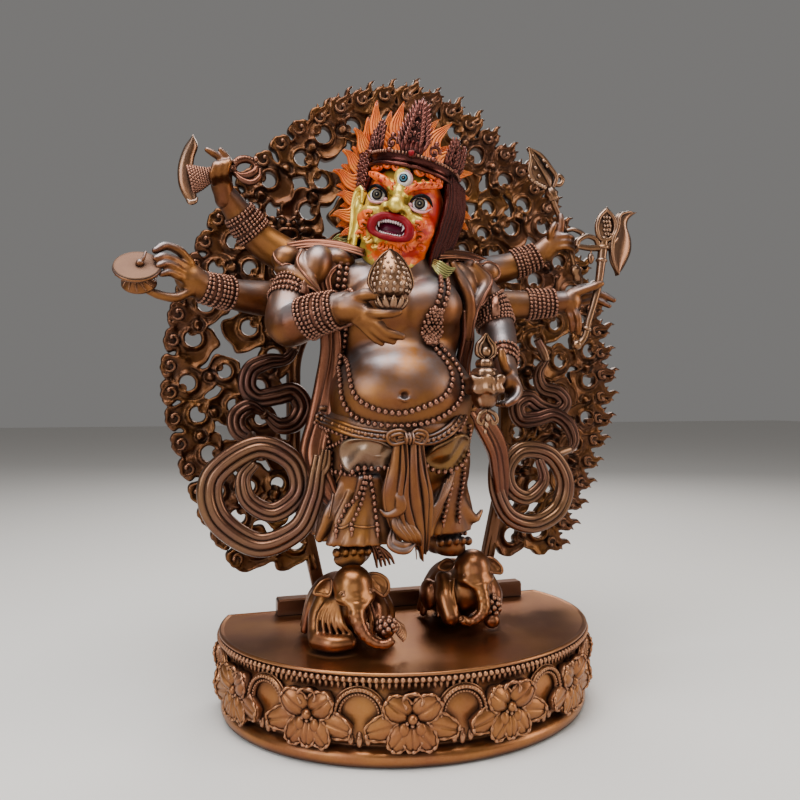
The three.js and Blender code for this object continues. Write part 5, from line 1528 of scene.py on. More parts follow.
def belt(batch, clay):
    """Patterned belt under the belly with a bead border"""
    line = [(-38.0, 103.8), (-33.2, 101.2), (-28.0, 99.2), (-22.6, 98.2), (-17.0, 97.6), (-10.6, 96.8),
            (-4.0, 96.8), (1.8, 99.2), (6.6, 102.6), (10.2, 106.2)]
    path = drape(clay, flat_path(line, 60), 0.6)
    add_band(batch, path[::4], [1.7, 2.0, 1.9, 1.7, 1.9, 1.8], 1.2, strands=3, steps=70, face=(0, -1, 0.1),
             groove=0.4)
    for k in range(0, 60, 2):
        add_ball(batch, path[k] + vec(0, -1.3, 0.0), vec(0.75, 0.6, 0.75))
    around = []
    for turn in np.radians(np.linspace(-25, 205, 60)):
        around.append((-9 + 26.2 * math.cos(turn), 0.5 + 21.0 * math.sin(turn),
                       103.0 + 3.0 * math.cos(turn) ** 2))
    add_band(batch, around[::5], [1.9], 1.2, strands=3, steps=80, face=(0, 0.2, 1), groove=0.4)


def bow_knot(batch):
    """Bow with two loops and a knot over the sash"""
    knot = vec(-12.2, -22.6, 97.0)
    for sign in (-1, 1):
        for scale in (0.8, 0.5):
            loop = [knot, knot + vec(3.4 * sign, -0.6, 2.4) * scale,
                    knot + vec(7.2 * sign, 1.2, 1.2) * scale, knot + vec(6.0 * sign, 1.4, -1.6) * scale,
                    knot + vec(2.0 * sign, -0.2, -1.0) * scale, knot]
            add_band(batch, loop, [0.9, 1.2, 1.4, 1.2, 0.9], 0.8, strands=2, steps=36,
                     face=(0.2 * sign, -1, 0.3))
    add_ball(batch, knot + vec(0, -0.8, 0), vec(1.9, 1.4, 1.9), shape=FINE_BALL)
    for k in range(3):
        add_tube(batch, [knot + vec(-1.4 + k * 1.2, -1.2, 1.9), knot + vec(-1.2 + k * 1.1, -2.4, 0),
                         knot + vec(-1.2 + k * 1.1, -1.4, -1.9)], [0.3, 0.5, 0.3], sides=6, steps=10)


def sash(batch):
    """Broad soft folds from the knot to a pointed tip, rolled leaf ends beside them"""
    folds = [([(-15.2, -20.6, 96), (-15.8, -20.0, 88), (-17.0, -18.8, 79), (-15.2, -17.0, 71),
               (-12.4, -15.2, 65)], [1.2, 2.0, 3.0, 2.6, 0.5]),
             ([(-13.4, -21.2, 96), (-13.0, -20.6, 87), (-13.2, -19.4, 77), (-10.0, -17.2, 67),
               (-6.4, -14.0, 60.5)], [1.2, 1.7, 2.3, 2.2, 0.4]),
             ([(-10.6, -21.2, 96), (-10.2, -20.8, 87), (-9.2, -19.6, 78), (-7.0, -17.0, 67),
               (-4.9, -13.2, 56.8)], [1.2, 1.8, 2.2, 1.7, 0.25]),
             ([(-8.4, -20.8, 96), (-7.2, -20.2, 87), (-5.0, -18.8, 78), (-4.4, -16.6, 68),
               (-4.2, -13.0, 59)], [1.2, 1.8, 2.0, 1.5, 0.3])]
    for k, (path, halves) in enumerate(folds):
        add_band(batch, path, halves, 1.9, strands=1 + k % 2, steps=60, face=(0.18 * (k - 1.5), -1, 0),
                 groove=0.25, waver=0.3)
        edge = np.array(path) + vec(halves[2] * (0.75 if k % 2 else -0.75), -0.5, 0) * vec(1, 1, 0)
        add_tube(batch, edge[1:], [0.3, 0.55, 0.5, 0.15], sides=6, steps=30)
    for k in range(5):
        reach = 1.0 - 0.14 * k
        path = [(8.8 - 1.6 * k, -8.2 - 1.6 * k, 86.4 - 1.2 * k), (4.6 - 1.3 * k, -12.6 - 0.8 * k, 79.6 - k),
                (-0.4 - 0.7 * k, -14.8 - 0.4 * k, 72.4), (-3.2 - 0.3 * k, -14.2, 65.0),
                (-4.2, -13.2, 60.0 + k)]
        add_band(batch, path, [0.5, 1.0 * reach, 1.15 * reach, 0.8, 0.25], 1.1, strands=1, steps=50,
                 face=(0.35, -1, 0), groove=0.3)
    for k in range(4):
        path = [(-14.6 + 1.5 * k, -16.8, 75.5 - k), (-15.4 + 1.7 * k, -18.4, 69.2),
                (-12.0 + 1.4 * k, -18.4, 65.2), (-8.6 + 0.8 * k, -16.2, 62.6)]
        add_band(batch, path, [0.6, 1.3, 1.4, 0.4], 1.3, strands=1, steps=36, face=(-0.2, -1, -0.1),
                 groove=0.3)
    add_band(batch, [(-15.6, -16.0, 67.4), (-16.2, -18.0, 63.4), (-12.6, -18.8, 61.8), (-7.6, -16.4, 63.2)],
             [0.6, 2.0, 2.1, 0.3], 1.2, strands=2, steps=36, face=(-0.1, -1, 0.4), groove=0.5)
    petal_roll = [(-18.6, -17.2, 80.4), (-14.6, -20.2, 79.0), (-14.2, -20.0, 74.6), (-17.8, -18.2, 72.6),
                  (-20.0, -17.0, 74.0)]
    add_band(batch, petal_roll, [0.5, 1.7, 2.0, 1.4, 0.4], 1.2, strands=1, steps=40, face=(-0.1, -1, 0.2),
             groove=0.3)


def make_feet():
    clay = Clay((-36, -17, 52), (23, 18, 74), FEET_STEP)
    for x, y, toe in ((-23, 2, -26.8), (9.5, 9, 11.6)):
        clay.limb([(x, y + 1, 72), (x, y, 61), (x, y, 58.5)], [4.8, 5.0, 5.2], soft=2)
        clay.limb([(x, y + 5, 58.2), (x - 0.8, y - 2, 58.4), (toe, y - 7.4, 58.0)], [4.0, 4.6, 4.4], soft=2)
        clay.egg((toe, y - 6.4, 56.4), (5.4, 4.4, 3.0), soft=1.0)
        for k in range(5):
            base = vec(toe - 5.2 + 2.6 * k, y - 9.8 - 0.9 * math.sin(math.pi * k / 4),
                       59.3 + 0.5 * math.sin(math.pi * k / 4))
            clay.egg(base, (1.4, 2.2, 1.6), soft=0.4)
            clay.egg(base + vec(0, -1.9, 0.7), (0.75, 0.5, 0.6), soft=0.25)
    clay.cut_below(54.05)
    return clay


def anklets(batch):
    for x, y, toe in ((-23, 2, -26.6), (9.5, 9, 11.6)):
        for row in range(3):
            turn = full_turn(40)
            ring = np.stack([x - 0.4 + (5.9 - 0.2 * row) * np.cos(turn),
                             y - 0.4 + (6.0 - 0.2 * row) * np.sin(turn), np.full(40, 63.0 + 1.5 * row)], -1)
            add_beads(batch, ring, 0.8, closed=True)
        for k in range(7):
            share = k / 6 - 0.5
            add_ball(batch, vec(toe + 11.0 * share, y - 8.6 + 5.0 * abs(share), 62.0 - 1.2 * abs(share)),
                     0.95)
    for k in range(5):
        root = vec(-21.0 + 0.5 * k, -4.6 - 0.3 * k, 62.6 - 0.3 * k)
        fall = [root, root + vec(1.6 + 0.5 * k, -0.8, -2.6), root + vec(2.6 + 0.75 * k, -1.2, -6.0 + 0.3 * k),
                root + vec(3.0 + 0.9 * k, -1.4, -9.4 + 0.6 * k)]
        add_band(batch, fall, [0.4, 0.62, 0.66, 0.2], 0.9, strands=1, steps=24, face=(0.2, -1, 0.1),
                 groove=0.3)
    add_beads(batch, smooth_path([(-22.0, -5.0, 63.4), (-19.4, -6.2, 62.0), (-17.6, -7.0, 59.4),
                                  (-16.8, -7.2, 56.4)], 18), 0.62)


# Strings of beads on the trousers as x, z spots, with the radius of their beads
BEAD_LINES = (([(-38.0, 101.6), (-32.7, 98.9), (-27.1, 97.0), (-22.7, 96.4), (-18.0, 95.8)], 0.8),
              ([(-6.4, 95.4), (-0.5, 96.2), (3.6, 97.6), (7.3, 100.6), (10.1, 103.0)], 0.8),
              ([(-37.2, 101.0), (-37.0, 96.0), (-35.6, 91.0), (-35.4, 86.2)], 0.75),
              ([(-29.5, 97.1), (-32.8, 94.2), (-35.7, 91.2)], 0.7),
              ([(-30.5, 97.0), (-30.4, 93.5), (-30.4, 91.0), (-30.5, 86.0)], 0.75),
              ([(-28.2, 97.0), (-28.2, 93.5), (-27.8, 89.2), (-27.4, 86.0)], 0.75),
              ([(-33.6, 86.2), (-31.0, 85.5), (-28.0, 85.1), (-25.0, 85.2)], 0.75),
              ([(-24.7, 85.0), (-26.4, 79.7), (-29.0, 75.1), (-31.3, 71.9), (-33.1, 68.9)], 0.75),
              ([(-24.3, 84.3), (-25.4, 78.1), (-26.5, 74.5), (-27.6, 71.7), (-28.6, 69.5)], 0.75),
              ([(-23.2, 84.3), (-22.3, 81.0), (-21.5, 77.7), (-21.2, 74.4), (-20.8, 69.3)], 0.95),
              ([(6.5, 99.4), (6.1, 95.6), (4.8, 92.6), (4.0, 89.6)], 0.9),
              ([(11.3, 100.4), (12.2, 96.1), (12.6, 92.1), (11.7, 88.6)], 0.75),
              ([(6.0, 85.0), (6.6, 80.0), (5.8, 75.0), (5.0, 69.8)], 0.85),
              ([(11.6, 86.0), (11.8, 80.2), (11.8, 75.0), (11.7, 70.3)], 0.75))


def build_skirt():
    clay = make_skirt()
    pieces = [clay.piece("trousers", BODY_METAL, "figure_bronze", MERGED),
              make_feet().piece("feet", BODY_METAL, "figure_bronze", MERGED)]
    cloth, beads = Batch(), Batch()
    # The right panel's paler bronze is a painted highlight
    for name, outline, centre, material in (("skirt_panel_right", PANEL_RIGHT, (-22.5, 92.0), PANEL_HIGHLIGHT_METAL),
                                            ("skirt_panel_left", PANEL_LEFT, (4.0, 92.2), GOLD_METAL)):
        panel = Batch()
        hanging_panel(panel, clay, outline, centre, 1.5)
        pieces.append(panel.piece(name, material, "figure_bronze"))
    belt(cloth, clay)
    bow_knot(cloth)
    sash(cloth)
    for spots in (PANEL_RIGHT[3:7], PANEL_LEFT[4:]):
        bead_line(beads, clay, spots, 0.95, 2.0)
    for spots, size in BEAD_LINES:
        bead_line(beads, clay, spots, size)
    for x, z in ((-35.4, 84.6), (-33.1, 67.4), (-28.6, 68.0), (-20.8, 67.6), (5.0, 68.2), (11.7, 68.6),
                 (4.0, 88.0)):
        tassel_cap(beads, drape(clay, [(x, z)], 0.8)[0], 0.95)
    rows = [[(-30.5, 86.2), (-33.4, 77.6), (-35.0, 71.0)], [(-29.2, 69.4), (-24.9, 68.6), (-20.4, 68.8)],
            [(-33.6, 68.6), (-31.6, 68.4), (-29.4, 69.4)]]
    for spots in rows:
        path = drape(clay, flat_path(spots, 24), 0.2)
        add_tube(cloth, path, [0.3, 0.5, 0.3], sides=6, steps=24)
    anklets(beads)
    pieces.append(cloth.piece("skirt_cloth", BODY_METAL, "figure_bronze"))
    pieces.append(beads.piece("skirt_beads", ORNAMENT_METAL, "figure_bronze"))
    for piece in pieces:
        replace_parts(piece, "figure")


# Head: built upright round its own middle, then turned and leaned on to the neck

HEAD_MIDDLE = vec(-7.8, -0.75, 171.2)
HEAD_AXES = np.stack([unit((0.886, -0.395, -0.242)), unit((0.407, 0.9135, 0.0)),
                      unit((0.221, -0.098, 0.970))])


LIP_POINTS = 72
MOUTH_LEVEL = -6.9


def on_head(points):
    return HEAD_MIDDLE + np.asarray(points, float) @ HEAD_AXES


def head_piece(batch, name, material):
    """A piece from a batch that was built round the head's own middle"""
    batch.points = [on_head(p) for p in batch.points]
    piece = batch.piece(name, material, "figure_bronze")
    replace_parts(piece, "figure")
    return piece


def make_face():
    clay = Clay((-18, -21, -22), (18, 15, 20), HEAD_STEP)
    clay.egg((0, 0, 2.5), (13.4, 13.2, 16.0), soft=1)
    clay.egg((0, -3.4, -8.5), (11.2, 9.8, 8.6), soft=5)
    clay.egg((0, -8.6, -13.0), (5.2, 4.6, 3.6), soft=2.5)
    clay.limb([(-9.5, -1.5, -12.5), (-5.5, -6.5, -16), (0, -8, -17.2), (5.5, -6.5, -16), (9.5, -1.5, -12.5)],
              [2.0, 2.7, 2.9, 2.7, 2.0], soft=1.4)
    for s in (-1, 1):
        clay.egg((8.5 * s, -8.6, -3.8), (4.7, 4.3, 4.8), soft=2.4)
        clay.egg((7.9 * s, -12.1, -2.4), (3.1, 2.3, 2.3), soft=1.2)
        clay.egg((7.1 * s, -14.2, 3.0), (4.3, 3.4, 3.5), soft=1.3, cut=True)
        clay.egg((7.0 * s, -11.3, 3.0), (3.7, 2.9, 3.2), soft=0.6)
        clay.egg((3.1 * s, -14.3, -0.2), (2.0, 2.3, 1.75), soft=0.7)
        clay.limb([(3.2 * s, -13.9, -2.4), (6.0 * s, -13.2, -1.2), (9.8 * s, -10.6, -4.4),
                   (9.6 * s, -9.4, -8.6)], [0.8, 1.3, 1.5, 1.0], soft=1.2)
        clay.limb([(4.0 * s, -13.4, -11.6), (8.0 * s, -10.2, -9.4), (10.4 * s, -7.4, -5.6)],
                  [0.9, 1.3, 0.9], soft=1.4)
    for line in ([(-2.4, -13.8, 5.6), (-5.2, -14.1, 7.6), (-8.6, -12.8, 9.0), (-12.0, -8.8, 10.6)],
                 [(1.8, -13.9, 6.2), (4.8, -14.2, 8.0), (8.2, -12.9, 9.6), (11.6, -9.4, 11.2)]):
        clay.limb(line, [1.0, 1.5, 1.4, 0.9], soft=1.4)
    clay.limb([(-0.4, -13.0, 8.2), (-0.3, -14.3, 5.4), (0, -14.6, 3.2), (0, -16.0, 1.2)],
              [1.2, 1.7, 1.9, 2.3], soft=1.2)
    clay.egg((0, -16.3, 0.2), (2.7, 2.4, 2.2), soft=0.8)
    clay.limb([(-2.6, -13.8, 4.4), (0, -15.6, 4.9), (2.6, -13.8, 4.4)], [0.5, 0.8, 0.5], soft=0.8)
    for s in (-1, 1):
        clay.egg((2.6 * s, -16.2, -1.7), (1.15, 1.6, 1.05), soft=0.4, cut=True)
    clay.egg((-0.6, -13.2, 10.6), (2.9, 1.6, 3.6), soft=1.0)
    clay.egg((0, -13.4, MOUTH_LEVEL), (8.4, 3.2, 4.6), soft=1.6)
    return clay


def lip_line(clay, wide, tall, lift):
    """Closed line round the mouth on the face, fuller at the corners than an oval"""
    turn = full_turn(LIP_POINTS)
    c, s = np.cos(turn), np.sin(turn)
    x = wide * np.sign(c) * np.abs(c) ** 0.8
    notch = 0.45 * np.exp(-(x / 1.4) ** 2) * (s > 0)
    z = MOUTH_LEVEL + tall * np.sign(s) * np.abs(s) ** 0.75 - 0.5 * np.cos(2 * turn) - notch
    return clay.snap(np.stack([x, np.full(LIP_POINTS, -15.5), z], -1), lift), turn


def brow_line(s):
    return ([(-2.8, -15.2, 6.1), (-5.6, -15.6, 7.5), (-8.8, -14.2, 8.7), (-12.2, -9.8, 9.8)] if s < 0 else
            [(2.2, -15.3, 6.5), (5.2, -15.8, 7.8), (8.4, -14.4, 9.1), (11.8, -10.4, 10.3)])


def blob(p, x, z, wide, tall, turn=0.0):
    """1 in the middle of a soft patch, below 0 outside it"""
    c, s = math.cos(math.radians(turn)), math.sin(math.radians(turn))
    u, v = p[:, 0] - x, p[:, 2] - z
    return 1 - np.hypot((c * u + s * v) / wide, (c * v - s * u) / tall)


def face_paint(p):
    """How orange (1) and how red (2) each point of the face is; 0 is gold. The brows, hairline, moustache and
    beard are painted, and the right side of the face turns orange and red towards its edge
    """
    wobble = (0.10 * np.sin(2.3 * p[:, 0] + 1.7 * p[:, 2]) + 0.08 * np.sin(4.1 * p[:, 2] - 2.9 * p[:, 0])
              + 0.06 * np.sin(7.3 * p[:, 0] + 5.0 * p[:, 2] + p[:, 1]))
    orange = np.max([blob(p, -9.6, 8.4, 5.0, 2.3, 14), blob(p, -13.0, 12.2, 5.6, 5.0),
                     blob(p, -5.4, 7.0, 3.4, 1.4, 22), blob(p, 7.4, 8.0, 6.2, 2.0, 20),
                     blob(p, 12.0, 12.4, 5.0, 4.6), blob(p, 0, 15.6, 16, 2.4),
                     blob(p, 12.6, 2.0, 4.2, 13.0), blob(p, 9.8, -6.2, 4.6, 3.2, -10),
                     blob(p, -10.6, -5.0, 3.0, 2.2), blob(p, 5.2, -12.8, 8.4, 3.6, 10),
                     blob(p, 10.4, -10.0, 5.2, 5.4), blob(p, 1.0, -15.8, 7.4, 2.2),
                     blob(p, -9.6, -9.2, 1.3, 1.9, 40), blob(p, -6.0, -13.4, 2.2, 1.3, -20)], axis=0)
    red = np.max([blob(p, 13.0, 3.4, 3.6, 8.4), blob(p, 7.6, 7.1, 4.4, 1.2, 20),
                  blob(p, 10.2, -5.6, 2.6, 2.0), blob(p, 7.0, -12.4, 4.0, 1.8, 20),
                  blob(p, -7.6, 7.0, 2.6, 0.9, 24)], axis=0)
    value = ramp(orange + wobble, -0.04, 0.14) + ramp(red + wobble, -0.1, 0.5)
    return np.where(p[:, 1] > 3.0, 0.25 * value, value)


def paint_attribute(piece, values):
    layer = piece.data.color_attributes.new("paint", "FLOAT_COLOR", "POINT")
    colours = np.zeros((len(values), 4))
    colours[:, 0] = values / 2
    colours[:, 3] = 1
    layer.data.foreach_set("color", colours.ravel())


def face_material():
    """Cold gold with orange and red paint laid over it by a painted mask"""
    look = Finish("painted_gold")
    mix, mapped = look.mix, look.mapped
    layer = look.make("ShaderNodeAttribute", attribute_name="paint").outputs["Color"]
    mask = look.make("ShaderNodeSeparateColor", {"Color": layer}).outputs["Red"]
    cloud = look.noise(420.0, 4.0)
    fine = look.noise(1700.0, 3.0)
    gold = mix(mapped(cloud, 0.3, 0.7), (0.60, 0.40, 0.028), (0.76, 0.58, 0.12))
    gold = mix(mapped(fine, 0.55, 0.75, 0.0, 0.3), gold, (0.42, 0.30, 0.05))
    orange = mix(mapped(cloud, 0.35, 0.65), (0.72, 0.075, 0.004), (0.84, 0.155, 0.010))
    colour = mix(mapped(mask, 0.05, 0.42), gold, orange)
    colour = mix(mapped(mask, 0.5, 0.95), colour, (0.42, 0.012, 0.004))
    # Darker brown in the hollows: painted shade
    colour = mix(mapped(look.hollow(1.8), 0.15, 0.8), (0.22, 0.06, 0.01), colour)
    look.set(Base_Color=colour, Metallic=mapped(mask, 0.1, 0.4, 0.62, 0.1),
             Roughness=mapped(fine, 0.2, 0.8, 0.26, 0.42))
    look.bump(0.35, 0.00008, cloud)
    return look.material


def plain(name, colour, rough, coat=0.0, shine=0.5):
    """Even paint with a faint mottle; shine is how much it reflects"""
    look = Finish(name)
    deep = tuple(0.72 * c for c in colour)
    look.set(Base_Color=look.mix(look.mapped(look.noise(900.0, 3.0), 0.3, 0.7), deep, colour),
             Roughness=rough, Coat_Weight=coat, Specular_IOR_Level=shine)
    return look.material


FACE_PAINT = face_material()
LIP_PAINT = plain("crimson_paint", (0.22, 0.0014, 0.0070), 0.4, shine=0.16)
MOUTH_PAINT = plain("mouth_red", (0.100, 0.0015, 0.020), 0.35, shine=0.2)
TOOTH_PAINT = plain("tooth_white", (0.72, 0.56, 0.56), 0.25, 0.4)
EYE_WHITE = plain("eye_white", (0.80, 0.79, 0.80), 0.15, 0.6)
EYE_IRIS = plain("eye_grey", (0.085, 0.066, 0.040), 0.4, shine=0.15)
# Pale dot on each pupil: a painted highlight
EYE_GLINT = plain("eye_glint", (0.62, 0.60, 0.50), 0.15, 0.5)
EYE_BLUE = plain("eye_blue", (0.025, 0.15, 0.22), 0.25, 0.2)
EYE_BLACK = plain("eye_black", (0.004, 0.003, 0.005), 0.4, shine=0.1)
EYE_PINK = plain("eye_pink", (0.72, 0.30, 0.32), 0.3, 0.3)
FLAME_PAINT = paint("flame_orange", (0.76, 0.115, 0.006), (0.16, 0.010, 0.003), (0.88, 0.25, 0.018),
                    rough=0.42)
MAROON = metal("maroon_bronze", (0.007, 0.0012, 0.0018), (0.062, 0.012, 0.010), (0.46, 0.17, 0.13),
               warm=(0.085, 0.018, 0.012), rough=0.28, reach=1.3, coat=0.1)
RIBBON_GREEN = metal("ribbon_green", (0.05, 0.04, 0.01), (0.42, 0.38, 0.12), (0.85, 0.78, 0.45), rough=0.35)


def eye_parts(parts, centre, size, tall, gaze, ring):
    """Eyeball with a ringed iris; parts holds a batch for each paint"""
    gaze = unit(gaze)
    side = unit(np.cross(gaze, (0, 0, 1)))
    axes = np.stack([side, gaze, np.cross(side, gaze)])
    centre = vec(*centre)
    add_ball(parts["white"], centre, size * vec(1, 1, tall), axes, FINE_BALL)
    # The last, small pale disc on each pupil is a painted highlight
    for name, reach, out in (("black", 0.60, 0.88), (ring, 0.44, 0.94), ("black", 0.29, 0.995),
                             ("pale", 0.07, 1.06)):
        lens = size * vec(reach, 0.13, reach)
        add_ball(parts[name], centre + gaze * size * out, lens, axes, FINE_BALL)


def build_eyes():
    parts = {name: Batch() for name in ("white", "black", "iris", "pale", "blue", "pink")}
    eye_parts(parts, (-7.1, -11.7, 3.0), 3.05, 0.9, (-0.03, -1, 0.0), "iris")
    eye_parts(parts, (7.1, -11.7, 3.0), 3.05, 0.9, (0.03, -1, 0.0), "iris")
    eye_parts(parts, (0.2, -13.3, 9.7), 2.5, 1.1, (0.0, -1, 0), "blue")
    for s in (-1, 1):
        lid = [(3.6 * s, -13.2, 2.2), (4.9 * s, -14.5, 4.4), (7.4 * s, -14.8, 5.6), (9.6 * s, -13.3, 5.4),
               (11.1 * s, -11.4, 3.6)]
        add_tube(parts["black"], lid, [0.25, 0.5, 0.66, 0.55, 0.2], sides=8, steps=30)
        rim = [(3.9 * s, -13.4, 2.0), (5.4 * s, -14.4, 0.8), (7.2 * s, -14.5, 0.4), (9.2 * s, -13.4, 0.9),
               (10.8 * s, -11.6, 2.8)]
        add_tube(parts["pink"], rim, [0.25, 0.4, 0.45, 0.4, 0.2], sides=8, steps=30)
        corner = vec(4.2 * s, -13.9, 2.2)
        add_ball(parts["pink"], corner, vec(0.7, 0.5, 0.6), shape=FINE_BALL)
    turn = full_turn(20)
    rim = np.stack([0.2 + 2.5 * np.cos(turn), -14.2 + 0.9 * np.cos(turn) ** 2, 9.7 + 2.75 * np.sin(turn)], -1)
    add_tube(parts["pink"], rim, [0.42], sides=8, steps=40, closed=True)
    for name, material in (("white", EYE_WHITE), ("black", EYE_BLACK), ("iris", EYE_IRIS), ("pale", EYE_GLINT),
                           ("blue", EYE_BLUE), ("pink", EYE_PINK)):
        head_piece(parts[name], "eyes_" + name, material)


def build_mouth(clay):
    """Thick lips round the open mouth, two rows of small teeth, four fangs and a tongue"""
    lips, teeth, inside = Batch(), Batch(), Batch()
    path, turn = lip_line(clay, 6.3, 3.5, 0.1)
    path = smooth_path(path, LIP_POINTS, closed=True)
    heavy = 1.15 + 0.45 * np.cos(turn) ** 4 + 0.2 * np.maximum(np.sin(turn), 0)
    round_turn = full_turn(12)
    out = path - path.mean(0)
    out[:, 1] = 0
    out /= np.linalg.norm(out, axis=1)[:, None]
    rings = (path[:, None] + heavy[:, None, None] * np.cos(round_turn)[None, :, None] * out[:, None]
             + 0.8 * heavy[:, None, None] * np.sin(round_turn)[None, :, None] * vec(0, -1.0, 0))
    rings = np.concatenate([rings, rings[:1]])
    lips.add(rings.reshape(-1, 3), grid_faces(LIP_POINTS + 1, 12, True))
    add_ball(inside, vec(0, -10.4, MOUTH_LEVEL), vec(6.3, 3.4, 3.6), shape=FINE_BALL)
    add_ball(inside, vec(0, -13.2, -8.3), vec(3.0, 2.4, 0.9), shape=FINE_BALL)
    for k in range(10):
        x = -3.7 + 7.4 * k / 9
        y = -15.6 + 0.10 * x * x
        add_ball(teeth, vec(x, y, -4.75 - 0.03 * x * x), vec(0.5, 0.55, 0.62))
        add_ball(teeth, vec(0.92 * x, y + 0.1, -9.15 + 0.04 * x * x), vec(0.46, 0.5, 0.6))
    for s in (-1, 1):
        add_tube(teeth, [(4.3 * s, -13.6, -4.6), (4.25 * s, -15.2, -5.8), (3.8 * s, -15.6, -7.3)],
                 [0.75, 0.52, 0.08], sides=8, steps=12)
        add_tube(teeth, [(4.3 * s, -13.2, -9.2), (4.5 * s, -14.7, -8.2), (4.9 * s, -15.0, -6.9)],
                 [0.7, 0.5, 0.08], sides=8, steps=12)
    head_piece(lips, "lips", LIP_PAINT)
    head_piece(inside, "mouth", MOUTH_PAINT)
    head_piece(teeth, "teeth", TOOTH_PAINT)


def curl(batch, root, way, side, size, lift=vec(0, -1, 0)):
    """A thick comma that springs from root, bends over and rolls in"""
    path = [root - 0.5 * size * way, root + 0.6 * size * way + 0.35 * size * lift,
            root + 1.2 * size * way + 0.75 * size * side + 0.45 * size * lift,
            root + 0.7 * size * way + 1.25 * size * side + 0.35 * size * lift,
            root + 0.35 * size * way + 0.8 * size * side + 0.4 * size * lift]
    add_tube(batch, path, [0.42 * size, 0.5 * size, 0.42 * size, 0.3 * size, 0.22 * size], sides=7, steps=16)


def build_brows(clay):
    """Curled brows, hairline, moustache and beard in painted relief"""
    curls = Batch()
    for s in (-1, 1):
        line = smooth_path(brow_line(s), 9)
        for row in range(2 if s > 0 else 1):
            spots = clay.snap(line + vec(0.3 * s, -1, -0.6 + 1.7 * row), 0.0)
            for k, point in enumerate(spots[row::2]):
                curl(curls, point, unit((0.75 * s, 0.1, 0.65)), vec(-0.5 * s, 0, 0.85), 0.85 - 0.04 * k)
    for k in range(8):
        if k == 4:
            continue
        turn = math.radians(-66 + 17 * k)
        out = vec(math.sin(turn), -math.cos(turn), 0)
        side = vec(math.cos(turn), math.sin(turn), 0)
        foot = 12.9 * out + vec(0, 0, 13.4 - 0.5 * (k % 2))
        add_ball(curls, foot + vec(0, 0, 0.6), vec(2.0, 0.9, 1.4), np.stack([side, -out, UP]), FINE_BALL)
        way = -UP if k % 2 else unit(side * 0.4 - UP)
        curl(curls, foot + 0.3 * out + vec(0, 0, 1.2) - 0.8 * side, way, side, 1.55, out)
    for s in (-1, 1):
        for k in range(5):
            root = clay.snap(np.array([vec((7.9 + 0.5 * k) * s, -14.0 + 0.9 * k, -2.9 - 1.6 * k)]))[0]
            curl(curls, root, unit((0.9 * s, 0.35, 0.15)), vec(0, 0, 1 if k % 2 else -1), 1.5)
    for k in range(11):
        x = -6.0 + 1.2 * k
        root = clay.snap(np.array([vec(x, -13.0, -12.4 + 0.05 * x * x)]))[0]
        curl(curls, root, unit((0.08 * x, 0.1, -1)), vec(1 if x > 0 else -1, 0, 0), 1.25)
    piece = head_piece(curls, "face_curls", FACE_PAINT)
    local = (np.array([v.co for v in piece.data.vertices]) / MM - HEAD_MIDDLE) @ HEAD_AXES.T
    # The curls are orange, turning redder towards the face's right side
    values = np.full(len(local), 1.02) + 0.45 * ramp(local[:, 0], 1.0, 9.0) * (local[:, 2] < 12.5)
    values = np.where((local[:, 2] < -10.5) & (local[:, 0] < -3.0), 0.3, values)
    paint_attribute(piece, values)


def make_ear(s):
    """Long ear that stands out from the head, with a rolled rim and a stretched lobe"""
    clay = Clay((13.5 * s - 8, -8, -18), (13.5 * s + 8, 9, 10), HEAD_STEP)
    normal = unit((s * 0.6, -0.8, 0))

    def at(wide, z, proud=0.0):
        return vec(s * (13.6 + 0.8 * wide), -2.4 + 0.6 * wide, z) + proud * normal
    clay.limb([at(1.6, 4.6), at(2.0, 0), at(1.2, -6), at(0.8, -12.4)], [2.2, 2.6, 1.9, 2.2], soft=1,
              flat=(normal, 0.5))
    clay.limb([at(-0.2, 2.0, 0.8), at(1.2, 6.6, 1.0), at(3.6, 6.0, 1.0), at(4.4, 1.5, 0.9),
               at(2.9, -4.8, 0.8), at(2.2, -11.4, 0.7)], [0.7, 0.9, 1.0, 0.9, 0.7, 0.5], soft=0.5)
    clay.limb([at(0.8, 2.8, 1.0), at(2.2, 3.4, 1.2), at(2.4, -0.6, 1.0)], [0.4, 0.5, 0.4], soft=0.4)
    clay.egg(at(1.0, -12.2, 0.6), (0.9, 0.9, 1.6), soft=0.4, cut=True)
    return clay


def painted_form(name, clay, adaptivity, values):
    """A piece of the head from clay; values gives the paint at each of its points"""
    points, triangles, quads = clay.mesh(adaptivity)
    faces = triangles.tolist() + quads.tolist()
    piece = add_mesh(name, on_head(points), faces, FACE_PAINT)
    paint_attribute(piece, values(points))
    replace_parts(piece, "figure")


def build_face():
    clay = make_face()
    whole = make_face()
    clay.egg((0, -15.5, MOUTH_LEVEL), (5.9, 7.2, 3.3), soft=0.7, cut=True)
    painted_form("ear_right", make_ear(-1), FINELY_MERGED, lambda points: np.full(len(points), 0.1))
    painted_form("face", clay, 0.003, face_paint)
    build_eyes()
    build_mouth(whole)
    build_brows(whole)


# Crown, flame hair and locks

def leaf_half(v, half):
    """Half width of a crown leaf at a share of its height"""
    return half * (0.72 + 0.28 * ramp(v, 0.0, 0.2)) * max(0.02, 1 - v) ** 0.72


